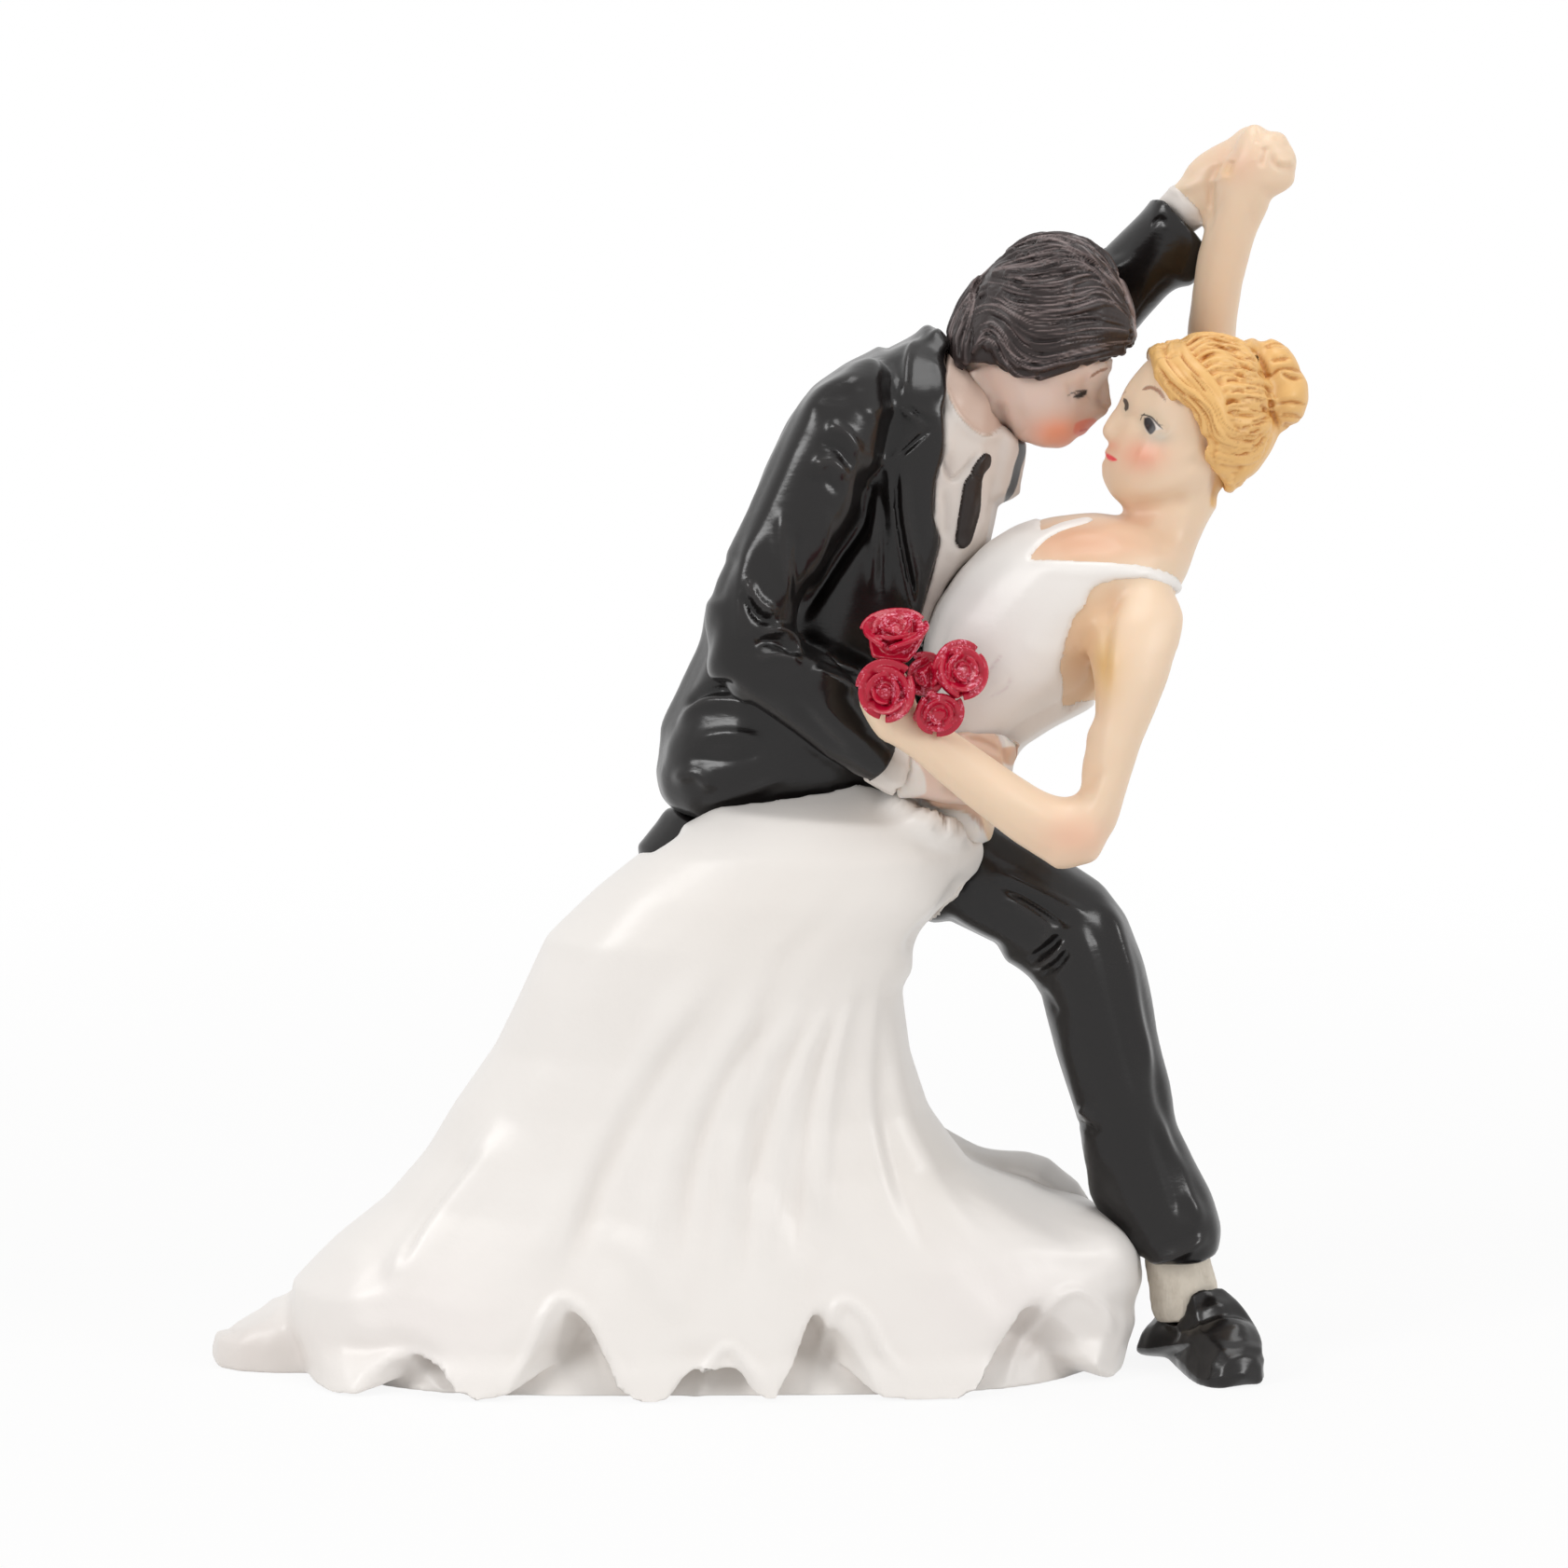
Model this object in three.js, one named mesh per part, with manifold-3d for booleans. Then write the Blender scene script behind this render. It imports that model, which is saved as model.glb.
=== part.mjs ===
// A wedding cake topper: a groom in a black suit dips his bride, who holds a bunch of roses,
// over her spreading white gown. Millimetres, X to the viewer's right, Y away from the viewer, Z up.
// Each sculpted piece is a loft between hand-chosen outlines, and seats on the pieces made before it.
import * as THREE from 'three';
import { mergeVertices } from 'three/addons/utils/BufferGeometryUtils.js';
import Module from 'manifold-3d';

const wasm = await Module();
wasm.setup();

// Clearance between neighbouring pieces, and how far a facet may be smoothed after a cut
const FIT_GAP = 0.3;
const FACET_TOLERANCE = 0.07;

// Gown, its hem and the layers under it
const GOWN_WIDTH = 94.9;
const GOWN_DEPTH = 39;
const GOWN_HEIGHT = 68;
const HEM_ARCH_HEIGHT = 9.5;
const HEM_GROOVE_DEPTH = 2;
const HEM_LIP_CLEARANCE = 0.4;
const HEM_HOLLOW_HEIGHT = 9;
const UNDERSKIRT_HEIGHT = 11;
const UNDERSKIRT_SIDE_INSET = 5;
const UNDERSKIRT_FRONT_INSET = 6.6;
const TRAIN_TIP_WIDTH = 19;
const TRAIN_TIP_DEPTH = 13;
const TRAIN_TIP_HEIGHT = 7.6;

// Groom's shoe, ankle and trousers
const SHOE_LENGTH = 19;
const SHOE_WIDTH = 7.6;
const SHOE_HEIGHT = 8.6;
const ANKLE_WIDTH = 7.2;
const ANKLE_DEPTH = 6.6;
const ANKLE_HEIGHT = 5.8;
const TROUSER_DEPTH = 14;
const REAR_LEG_WIDTH = 49.7;
const REAR_LEG_DEPTH = 14;

// Groom's jacket, shirt and tie
const JACKET_WIDTH = 41.2;
const JACKET_DEPTH = 27;
const JACKET_HEIGHT = 54.6;
const LAPEL_THICKNESS = 0.9;
const TIE_THICKNESS = 1;
const SHIRT_INSET = 0.5;

// Groom's arms
const SLEEVE_WIDTH = 24.3;
const SLEEVE_DEPTH = 12;
const SLEEVE_HEIGHT = 50;
const CUFF_LENGTH = 2.6;
const RAISED_CUFF_LENGTH = 1.7;
const CUFF_THICKNESS = 5.2;
const WAIST_HAND_LENGTH = 12.4;
const WAIST_HAND_BREADTH = 9.4;
const WAIST_HAND_DEPTH = 4.4;
const RAISED_SLEEVE_WIDTH = 32.5;
const RAISED_SLEEVE_DEPTH = 12;
const RAISED_SLEEVE_HEIGHT = 28.8;
const RAISED_HAND_WIDTH = 11.1;
const RAISED_HAND_DEPTH = 6;
const RAISED_HAND_HEIGHT = 11.3;

// Groom's head and hair
const GROOM_HEAD_WIDTH = 21.6;
const GROOM_HEAD_DEPTH = 16;
const GROOM_HEAD_HEIGHT = 24.2;
const GROOM_HAIR_THICKNESS = 1.7;
const GROOM_NOSE_LENGTH = 1.9;

// Bride's body, bodice and arms
const TORSO_WIDTH = 35.4;
const TORSO_DEPTH = 23;
const TORSO_HEIGHT = 35.9;
const BODICE_THICKNESS = 0.6;
const NEAR_ARM_WIDTH = 34.7;
const NEAR_ARM_DEPTH = 9.2;
const NEAR_ARM_HEIGHT = 32.6;
const NEAR_HAND_LENGTH = 6.6;
const NEAR_HAND_BREADTH = 5.6;
const FAR_ARM_WIDTH = 17.7;
const FAR_ARM_DEPTH = 12;
const FAR_ARM_HEIGHT = 42.8;
const FAR_HAND_WIDTH = 10.2;
const FAR_HAND_DEPTH = 6.4;
const FAR_HAND_HEIGHT = 8.5;

// Bride's head, hair and bun
const BRIDE_HEAD_WIDTH = 19;
const BRIDE_HEAD_DEPTH = 16.4;
const BRIDE_HEAD_HEIGHT = 24.9;
const BRIDE_HAIR_THICKNESS = 1.4;
const BRIDE_NOSE_LENGTH = 1.9;
const BUN_WIDTH = 7.6;
const BUN_DEPTH = 9;
const BUN_HEIGHT = 11;

// Roses of the bouquet
const ROSE_RADIUS = 4.1;
const ROSE_HEIGHT = 4.2;
const ROSE_PETAL_COUNT = 5;
const BUD_RADIUS = 2.4;

const vec = (x, y, z) => new THREE.Vector3(x, y, z);

// Where the pieces meet: a point on the carrier's box, then the point of the piece's own box on it
const ANCHOR_SHARES = {
  gown: { own: [0.5, 0.5, 0] },
  underskirt: { on: [0.497, 0.5, 0], own: [0.5, 0.5, 0] },
  backLayer: { on: [0.62, 0.7, 0], own: [0, 0.5, 0] },
  trainTip: { on: [0.09, 0.52, 0], own: [0.9, 0.5, 0] },
  shoe: { on: [1.028, 0.6, 0] },
  ankle: { on: [0.3, 0, 0.8], own: [0.5, 0.5, 0] },
  trouser: { on: [0.46, 0.5, 1], own: [0.895, 0.36, 0.02], hip: [0.15, 0.6, 0.9] },
  jacket: { on: [0.726, 0.551, 0.898], own: [0.715, 0.5, 0] },
  rearLeg: { on: [0.2, 0.55, 0.05], own: [0.82, 0.35, 1] },
  sleeve: { on: [0.482, 0.05, 0.862], own: [0.62, 0.6, 0.85] },
  cuff: { on: [0.89, 0.4, 0.056] },
  waistHand: { on: [0, 0.191, 0] },
  raisedSleeve: { on: [0.836, 0.86, 0.798], own: [0.15, 0.3, 0.14] },
  raisedCuff: { on: [0.895, 0, 0.89] },
  raisedHand: { own: [0.24, 0.5, 0.21] },
  groomHead: { on: [0.865, 0.42, 0.79], own: [0.22, 0.5, 0.14] },
  groomNose: { on: [0.87, 0.5, 0.275] },
  torso: { on: [0.773, 0.36, 0.941], own: [0.2, 0.5, 0.11] },
  nearArm: { on: [0.751, 0.1, 0.72], own: [0.84, 0.8, 0.92] },
  nearHand: { on: [0.06, 0.18, 0.55] },
  farArm: { on: [0.835, 0.86, 0.8], own: [0.24, 0.2, 0.06] },
  farHand: { on: [0.78, 0.22, 0.99], own: [0.42, 0.5, 0.06] },
  brideHead: { on: [0.85, 0.5, 0.869], own: [0.37, 0.5, 0.1] },
  brideNose: { on: [0.07, 0.5, 0.62] },
  bun: { on: [1.03, 0.5, 0.79] },
  bouquet: { on: [0.115, -0.12, 0.66] },
};

// A box of named sizes, in which a piece's shares are measured. The point at ownShare in the box
// is hung on a point of the piece that carries it.
function hang(carrierPoint, size, ownShare) {
  const low = carrierPoint.clone().sub(size.clone().multiply(vec(...ownShare)));
  const at = (x, y, z) => low.clone().add(vec(x, y, z).multiply(size));
  return { size, at };
}

// Closed triangle geometry through rings of points, with a point at each end
function skin(rings, startPoint, endPoint) {
  const sides = rings[0].length;
  const positions = [];
  rings.forEach((ring) => ring.forEach((point) => positions.push(point.x, point.y, point.z)));
  positions.push(startPoint.x, startPoint.y, startPoint.z, endPoint.x, endPoint.y, endPoint.z);
  const startIndex = rings.length * sides;
  const endIndex = startIndex + 1;
  const lastRing = (rings.length - 1) * sides;
  const indices = [];
  for (let side = 0; side < sides; side += 1) {
    const next = (side + 1) % sides;
    indices.push(startIndex, next, side);
    indices.push(endIndex, lastRing + side, lastRing + next);
    for (let ring = 0; ring < rings.length - 1; ring += 1) {
      const low = ring * sides;
      const high = low + sides;
      indices.push(low + side, low + next, high + next);
      indices.push(low + side, high + next, high + side);
    }
  }
  const geometry = new THREE.BufferGeometry();
  geometry.setAttribute('position', new THREE.Float32BufferAttribute(positions, 3));
  geometry.setIndex(indices);
  return geometry;
}

// Solid for cutting and joining, with its faces turned outwards
function solidOf(geometry) {
  const bare = geometry.clone();
  bare.deleteAttribute('normal');
  bare.deleteAttribute('uv');
  const merged = mergeVertices(bare);
  const indices = Array.from(merged.index.array);
  const points = merged.attributes.position;
  const corners = [vec(0, 0, 0), vec(0, 0, 0), vec(0, 0, 0)];
  let volume = 0;
  for (let first = 0; first < indices.length; first += 3) {
    corners.forEach((corner, place) => corner.fromBufferAttribute(points, indices[first + place]));
    volume += corners[0].dot(corners[1].clone().cross(corners[2]));
  }
  const outward = volume > 0 ? indices : indices.reverse();
  return new wasm.Manifold(new wasm.Mesh({
    numProp: 3,
    vertProperties: Float32Array.from(points.array),
    triVerts: Uint32Array.from(outward),
  }));
}

// One coordinate of a rounded square: squareness 2 is a circle, a larger one is squarer
const roundedSquare = (value, squareness) => Math.sign(value) * Math.abs(value) ** (2 / squareness);

// Smooth path through the points of a table, read at a share of its length
function smoothPath(points) {
  const curve = new THREE.CatmullRomCurve3(points, false, 'catmullrom');
  return (share) => curve.getPoint(share);
}

// Loft in a box. Each row gives the left and right ends of a section (x and z), the middle of its
// depth and its half depth, all as shares of the box. grow swells it on every side.
function loft(
  box, rowShares, { steps, sides, startDomeShare = 0, endDomeShare = 0, squareness = 2, grow = 0 },
) {
  const left = smoothPath(rowShares.map((row) => box.at(row[0], row[4], row[1])));
  const right = smoothPath(rowShares.map((row) => box.at(row[2], row[4], row[3])));
  const halfDepth = smoothPath(rowShares.map((row) => vec(row[5] * box.size.y, 0, 0)));
  const sections = [];
  for (let step = 0; step <= steps; step += 1) {
    const share = step / steps;
    const centre = left(share).add(right(share)).multiplyScalar(0.5);
    const across = right(share).sub(centre);
    across.setLength(across.length() + grow);
    sections.push({ centre, across, depth: halfDepth(share).x + grow });
  }
  const ringAt = ({ centre, across, depth }, scale) => {
    const ring = [];
    for (let side = 0; side < sides; side += 1) {
      const angle = (2 * Math.PI * side) / sides;
      const cosine = roundedSquare(Math.cos(angle), squareness);
      const sine = roundedSquare(Math.sin(angle), squareness);
      const point = centre.clone().addScaledVector(across, cosine * scale);
      ring.push(point.add(vec(0, sine * scale * depth, 0)));
    }
    return ring;
  };
  const rings = sections.map((section) => ringAt(section, 1));
  const capEnd = (section, neighbour, domeShare, addRing) => {
    const outward = section.centre.clone().sub(neighbour.centre).normalize();
    const rise = domeShare * Math.min(section.across.length(), section.depth) + grow;
    const domeAngles = domeShare > 0 ? [Math.PI / 6, Math.PI / 3] : [];
    domeAngles.forEach((angle) => {
      const centre = section.centre.clone().addScaledVector(outward, rise * Math.sin(angle));
      addRing(ringAt({ ...section, centre }, Math.cos(angle)));
    });
    if (domeShare === 0 && grow > 0) {
      addRing(ringAt({ ...section, centre: section.centre.clone().addScaledVector(outward, rise) }, 1));
    }
    return section.centre.clone().addScaledVector(outward, rise);
  };
  const last = sections.length - 1;
  const startPoint = capEnd(sections[0], sections[1], startDomeShare, (ring) => rings.unshift(ring));
  const endPoint = capEnd(sections[last], sections[last - 1], endDomeShare, (ring) => rings.push(ring));
  return solidOf(skin(rings, startPoint, endPoint));
}

// Rounded lump with its three radii, turned about Y
function lump(centre, radii, { grow = 0, turn = 0, widthSegments = 8, heightSegments = 6 } = {}) {
  const geometry = new THREE.SphereGeometry(1, widthSegments, heightSegments);
  geometry.scale(radii.x + grow, radii.y + grow, radii.z + grow);
  geometry.rotateY(turn);
  geometry.translate(centre.x, centre.y, centre.z);
  return solidOf(geometry);
}

// Outline with each corner moved outwards, so that every side moves by the same distance
function widened(corners, distance) {
  const turn = Math.sign(THREE.ShapeUtils.area(corners));
  return corners.map((corner, index) => {
    const before = corner.clone().sub(corners.at(index - 1)).normalize();
    const after = corners[(index + 1) % corners.length].clone().sub(corner).normalize();
    const sideNormal = new THREE.Vector2(before.y, -before.x).multiplyScalar(turn);
    const nextNormal = new THREE.Vector2(after.y, -after.x).multiplyScalar(turn);
    const middle = sideNormal.clone().add(nextNormal).normalize();
    return corner.clone().addScaledVector(middle, distance / Math.max(middle.dot(sideNormal), Math.SQRT1_2));
  });
}

// Upright plate whose outline is given in a box as x and z shares, from one depth to another
function plate(box, outlineShares, nearShare, farShare, grow) {
  const corner = ([x, z]) => {
    const point = box.at(x, 0, z);
    return new THREE.Vector2(point.x, point.z);
  };
  const near = box.at(0, nearShare, 0).y;
  const far = box.at(0, farShare, 0).y;
  const shape = new THREE.Shape(widened(outlineShares.map(corner), grow));
  const geometry = new THREE.ExtrudeGeometry(shape, { depth: far - near, bevelEnabled: false });
  geometry.rotateX(Math.PI / 2);
  geometry.translate(0, far, 0);
  return solidOf(geometry);
}

const joined = (solids) => solids.reduce((whole, solid) => whole.add(solid));

// Gown: the box stands on the floor, and every other piece follows from it or from the shoe
const gownBox = hang(vec(0, 0, 0), vec(GOWN_WIDTH, GOWN_DEPTH, GOWN_HEIGHT), ANCHOR_SHARES.gown.own);
const GOWN_ROW_SHARES = [
  [0.022, 0, 0.975, 0, 0.5, 0.49],
  [0.004, 0.06, 0.99, 0.06, 0.5, 0.49],
  [0.002, 0.12, 0.99, 0.115, 0.5, 0.475],
  [0.028, 0.18, 0.975, 0.175, 0.49, 0.45],
  [0.085, 0.24, 0.935, 0.22, 0.48, 0.42],
  [0.13, 0.3, 0.86, 0.28, 0.47, 0.395],
  [0.17, 0.37, 0.785, 0.35, 0.46, 0.37],
  [0.2, 0.44, 0.748, 0.43, 0.45, 0.35],
  [0.24, 0.52, 0.728, 0.51, 0.43, 0.33],
  [0.272, 0.6, 0.716, 0.6, 0.41, 0.32],
  [0.288, 0.68, 0.725, 0.68, 0.39, 0.31],
  [0.328, 0.75, 0.77, 0.74, 0.37, 0.3],
  [0.38, 0.815, 0.797, 0.8, 0.35, 0.28],
  [0.43, 0.87, 0.81, 0.86, 0.33, 0.25],
  [0.5, 0.93, 0.805, 0.9, 0.32, 0.2],
];
// Folds that end in an arch of the hem: place across the half width, height, width, reach up the gown
const FRONT_FOLD_SHARES = [
  [-0.74, 0.45, 0.05, 0.35],
  [-0.363, 1, 0.048, 0.75],
  [0.017, 0.5, 0.038, 0.8],
  [0.285, 0.98, 0.04, 0.9],
  [0.8, 0.93, 0.064, 0.45],
];
const BACK_FOLD_SHARES = [
  [-0.6, 0.6, 0.08, 0.5],
  [-0.1, 0.8, 0.08, 0.7],
  [0.45, 0.7, 0.08, 0.6],
];
const GOWN_SQUARENESS = { hem: 2.9, waist: 2.1 };
const HEM_ARCH_SHARPNESS = 2.5;
const HEM_ARCH_FADE = 6;
const HEM_WALK_STEPS = 400;
const HOLLOW_TOP_SHARE = [0.5, 0.5, 0];
const WAIST_TOP_SHARE = [0.66, 0.32, 0.97];
const GOWN_FRONT_SIDES = 38;
const GOWN_BACK_SIDES = 13;
const GOWN_STEPS = 12;

// Points of the hem's outline, each with the way walked to it: along the front from the left end to
// the right one, then along the back. Place and depth are shares of the half width and half depth.
function walkHem() {
  const walk = [];
  for (let step = 0; step <= HEM_WALK_STEPS; step += 1) {
    const angle = Math.PI + (2 * Math.PI * step) / HEM_WALK_STEPS;
    const place = roundedSquare(Math.cos(angle), GOWN_SQUARENESS.hem);
    const depth = roundedSquare(Math.sin(angle), GOWN_SQUARENESS.hem);
    const before = walk.at(-1) ?? { place, depth, way: 0 };
    const across = ((place - before.place) * GOWN_WIDTH) / 2;
    const inward = ((depth - before.depth) * GOWN_DEPTH) / 2;
    walk.push({ place, depth, way: before.way + Math.hypot(across, inward) });
  }
  return walk;
}
const hemWalk = walkHem();
const frontWalk = hemWalk.slice(0, HEM_WALK_STEPS / 2 + 1);
const backWalk = hemWalk.slice(HEM_WALK_STEPS / 2);

// Sides at even ways, closer together in front, where the arches are seen
const spread = (walk, count) => Array.from({ length: count }, (_, side) => {
  const way = THREE.MathUtils.lerp(walk[0].way, walk.at(-1).way, side / count);
  return walk.find((point) => point.way >= way);
});
const hemSides = [...spread(frontWalk, GOWN_FRONT_SIDES), ...spread(backWalk, GOWN_BACK_SIDES)];

const foldOn = (walk) => ([place, height, width, reach]) => {
  const away = (point) => Math.abs(point.place - place);
  const middle = walk.reduce((nearest, point) => (away(point) < away(nearest) ? point : nearest));
  return { way: middle.way, height, width: width * GOWN_WIDTH, reach };
};
const folds = [...FRONT_FOLD_SHARES.map(foldOn(frontWalk)), ...BACK_FOLD_SHARES.map(foldOn(backWalk))];
const foldAmount = (fold, way) => (
  fold.height * Math.exp(-((Math.abs(way - fold.way) / fold.width) ** HEM_ARCH_SHARPNESS))
);

function gownRings(grow) {
  const left = smoothPath(GOWN_ROW_SHARES.map((row) => gownBox.at(row[0], row[4], row[1])));
  const right = smoothPath(GOWN_ROW_SHARES.map((row) => gownBox.at(row[2], row[4], row[3])));
  const halfDepth = smoothPath(GOWN_ROW_SHARES.map((row) => vec(row[5] * GOWN_DEPTH, 0, 0)));
  const rings = [];
  for (let step = 0; step <= GOWN_STEPS; step += 1) {
    const share = step / GOWN_STEPS;
    const centre = left(share).add(right(share)).multiplyScalar(0.5);
    const across = right(share).sub(centre);
    const squareness = THREE.MathUtils.lerp(GOWN_SQUARENESS.hem, GOWN_SQUARENESS.waist, share);
    rings.push(hemSides.map(({ place, depth, way }) => {
      const inward = Math.max(0, 1 - Math.abs(place) ** squareness) ** (1 / squareness);
      const outward = across.clone().multiplyScalar(place);
      outward.y += Math.sign(depth) * inward * halfDepth(share).x;
      const grooves = folds.map((fold) => foldAmount(fold, way) * Math.max(0, 1 - share / fold.reach));
      const groove = grooves.reduce((sum, amount) => sum + amount, 0);
      const arch = folds.reduce((sum, fold) => sum + foldAmount(fold, way), 0);
      outward.setLength(outward.length() + grow - groove * HEM_GROOVE_DEPTH);
      const point = centre.clone().add(outward);
      point.z += (arch * HEM_ARCH_HEIGHT + HEM_LIP_CLEARANCE) * (1 - share) ** HEM_ARCH_FADE;
      point.z -= step === 0 ? grow : 0;
      return point;
    }));
  }
  return rings;
}

function gownForm(grow) {
  const rings = gownRings(grow);
  const hollow = gownBox.at(...HOLLOW_TOP_SHARE).add(vec(0, 0, HEM_HOLLOW_HEIGHT - grow));
  const waist = gownBox.at(...WAIST_TOP_SHARE).add(vec(0, 0, grow));
  return solidOf(skin(rings, hollow, waist));
}

const UNDERSKIRT_ROW_SHARES = [
  [0, 0, 1, 0, 0.5, 0.5],
  [0, 0.5, 1, 0.5, 0.5, 0.5],
  [0.03, 1, 0.97, 1, 0.5, 0.47],
];
const underskirtBox = hang(
  gownBox.at(...ANCHOR_SHARES.underskirt.on),
  vec(GOWN_WIDTH - 2 * UNDERSKIRT_SIDE_INSET, GOWN_DEPTH - 2 * UNDERSKIRT_FRONT_INSET, UNDERSKIRT_HEIGHT),
  ANCHOR_SHARES.underskirt.own,
);
const underskirtForm = (grow) => loft(underskirtBox, UNDERSKIRT_ROW_SHARES, {
  steps: 3, sides: 36, squareness: GOWN_SQUARENESS.hem, grow,
});

const BACK_LAYER_ROW_SHARES = [
  [0, 0, 0.99, 0, 0.5, 0.5],
  [0, 0.16, 0.98, 0.14, 0.5, 0.5],
  [0, 0.34, 0.95, 0.33, 0.5, 0.47],
  [0, 0.5, 0.88, 0.48, 0.47, 0.44],
  [0, 0.62, 0.76, 0.64, 0.44, 0.4],
  [0, 0.74, 0.56, 0.76, 0.4, 0.36],
  [0, 0.86, 0.4, 0.86, 0.36, 0.32],
  [0, 0.97, 0.3, 0.97, 0.3, 0.26],
];
const BACK_LAYER_SIZE_SHARES = [0.348, 0.385, 0.441];
const backLayerBox = hang(
  gownBox.at(...ANCHOR_SHARES.backLayer.on),
  vec(...BACK_LAYER_SIZE_SHARES).multiply(gownBox.size),
  ANCHOR_SHARES.backLayer.own,
);
const backLayerForm = (grow) => loft(backLayerBox, BACK_LAYER_ROW_SHARES, {
  steps: 8, sides: 14, endDomeShare: 0.4, squareness: 2.3, grow,
});

const TRAIN_TIP_ROW_SHARES = [
  [0.03, 0, 1, 0, 0.5, 0.46],
  [0, 0.28, 1, 0.28, 0.5, 0.48],
  [0.06, 0.55, 1, 0.55, 0.5, 0.46],
  [0.2, 0.78, 1, 0.85, 0.5, 0.4],
  [0.42, 0.95, 1, 1, 0.5, 0.3],
];
const trainTipBox = hang(
  gownBox.at(...ANCHOR_SHARES.trainTip.on),
  vec(TRAIN_TIP_WIDTH, TRAIN_TIP_DEPTH, TRAIN_TIP_HEIGHT),
  ANCHOR_SHARES.trainTip.own,
);
const trainTipForm = (grow) => loft(trainTipBox, TRAIN_TIP_ROW_SHARES, {
  steps: 5, sides: 14, endDomeShare: 0.2, squareness: 2.4, grow,
});

// The bride's body stands in the gown's waist
const torsoBox = hang(
  gownBox.at(...ANCHOR_SHARES.torso.on),
  vec(TORSO_WIDTH, TORSO_DEPTH, TORSO_HEIGHT),
  ANCHOR_SHARES.torso.own,
);

// Shoe: sections run from the heel to the toe, which points at the viewer and a little to the right
const SHOE_SECTION_SHARES = [
  [0, 0.36, 0.5],
  [0.06, 0.42, 0.72],
  [0.25, 0.43, 0.95],
  [0.42, 0.42, 0.98],
  [0.58, 0.47, 0.78],
  [0.75, 0.5, 0.62],
  [0.9, 0.48, 0.56],
  [1, 0.34, 0.42],
];
const SHOE_SOLE_SHARE = 0.12;
const SHOE_SOLE_BULGE_SHARE = 2.2;
const SHOE_HEEL_ROUND_SHARE = 0.06;
const SHOE_TOE_ROUND_SHARE = 0.12;
const SHOE_TURN = Math.PI / 8;
const shoeHeel = gownBox.at(...ANCHOR_SHARES.shoe.on);
const shoeAlong = vec(Math.sin(SHOE_TURN), -Math.cos(SHOE_TURN), 0);
const shoeAcross = vec(Math.cos(SHOE_TURN), Math.sin(SHOE_TURN), 0);
const shoeAt = (along, across, height) => shoeHeel.clone()
  .addScaledVector(shoeAlong, along * SHOE_LENGTH)
  .addScaledVector(shoeAcross, across * SHOE_WIDTH)
  .add(vec(0, 0, height * SHOE_HEIGHT));

function shoeForm(grow) {
  const path = smoothPath(SHOE_SECTION_SHARES.map((row) => vec(row[0], row[1], row[2])));
  const steps = 9;
  const sides = 12;
  const rings = [];
  for (let step = 0; step <= steps; step += 1) {
    const section = path(step / steps);
    const end = step === 0 ? -grow : 0;
    const stretch = step === steps ? grow : end;
    const ring = [];
    for (let side = 0; side < sides; side += 1) {
      const angle = (2 * Math.PI * side) / sides;
      const point = shoeAt(section.x, section.y * Math.cos(angle), 0);
      const height = section.z * SHOE_HEIGHT;
      const rise = Math.sin(angle);
      point.addScaledVector(shoeAlong, stretch);
      point.addScaledVector(shoeAcross, Math.cos(angle) * grow);
      point.z = rise > 0
        ? SHOE_SOLE_SHARE * height + rise * ((1 - SHOE_SOLE_SHARE) * height + grow)
        : SHOE_SOLE_SHARE * height * (1 + Math.max(-1, SHOE_SOLE_BULGE_SHARE * rise));
      ring.push(point);
    }
    rings.push(ring);
  }
  const middle = (ring) => ring.reduce((sum, point) => sum.add(point), vec(0, 0, 0)).divideScalar(sides);
  const heel = middle(rings[0]).addScaledVector(shoeAlong, -SHOE_WIDTH * SHOE_HEEL_ROUND_SHARE);
  const toe = middle(rings[steps]).addScaledVector(shoeAlong, SHOE_WIDTH * SHOE_TOE_ROUND_SHARE);
  return solidOf(skin(rings, heel, toe));
}

const ANKLE_ROW_SHARES = [
  [0.12, -0.3, 0.98, -0.3, 0.5, 0.5],
  [0.08, 0.3, 0.98, 0.34, 0.5, 0.5],
  [0.02, 0.8, 0.86, 0.85, 0.5, 0.5],
  [0, 1.3, 0.84, 1.3, 0.5, 0.5],
];
const ankleBox = hang(
  shoeAt(...ANCHOR_SHARES.ankle.on), vec(ANKLE_WIDTH, ANKLE_DEPTH, ANKLE_HEIGHT), ANCHOR_SHARES.ankle.own,
);
const ankleForm = (grow) => loft(ankleBox, ANKLE_ROW_SHARES, { steps: 3, sides: 10, grow });

// Front trouser leg, from its hem on the ankle to the hip inside the jacket, which leans on the gown
const TROUSER_ROW_SHARES = [
  [0.785, 0.005, 0.985, 0.012, 0.36, 0.4],
  [0.69, 0.075, 0.995, 0.085, 0.36, 0.42],
  [0.63, 0.165, 0.945, 0.178, 0.36, 0.41],
  [0.61, 0.27, 0.885, 0.27, 0.35, 0.41],
  [0.565, 0.375, 0.86, 0.37, 0.33, 0.42],
  [0.53, 0.455, 0.83, 0.46, 0.32, 0.43],
  [0.505, 0.53, 0.79, 0.585, 0.3, 0.45],
  [0.475, 0.575, 0.735, 0.7, 0.3, 0.47],
  [0.41, 0.61, 0.65, 0.78, 0.34, 0.48],
  [0.29, 0.65, 0.48, 0.855, 0.45, 0.5],
  [0.16, 0.7, 0.33, 0.92, 0.56, 0.5],
  [0.04, 0.8, 0.22, 1, 0.62, 0.48],
];
const trouserHem = ankleBox.at(...ANCHOR_SHARES.trouser.on);
const hip = gownBox.at(...ANCHOR_SHARES.jacket.on);
const trouserReach = hip.clone().sub(trouserHem)
  .divide(vec(...ANCHOR_SHARES.trouser.hip).sub(vec(...ANCHOR_SHARES.trouser.own)));
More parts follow.
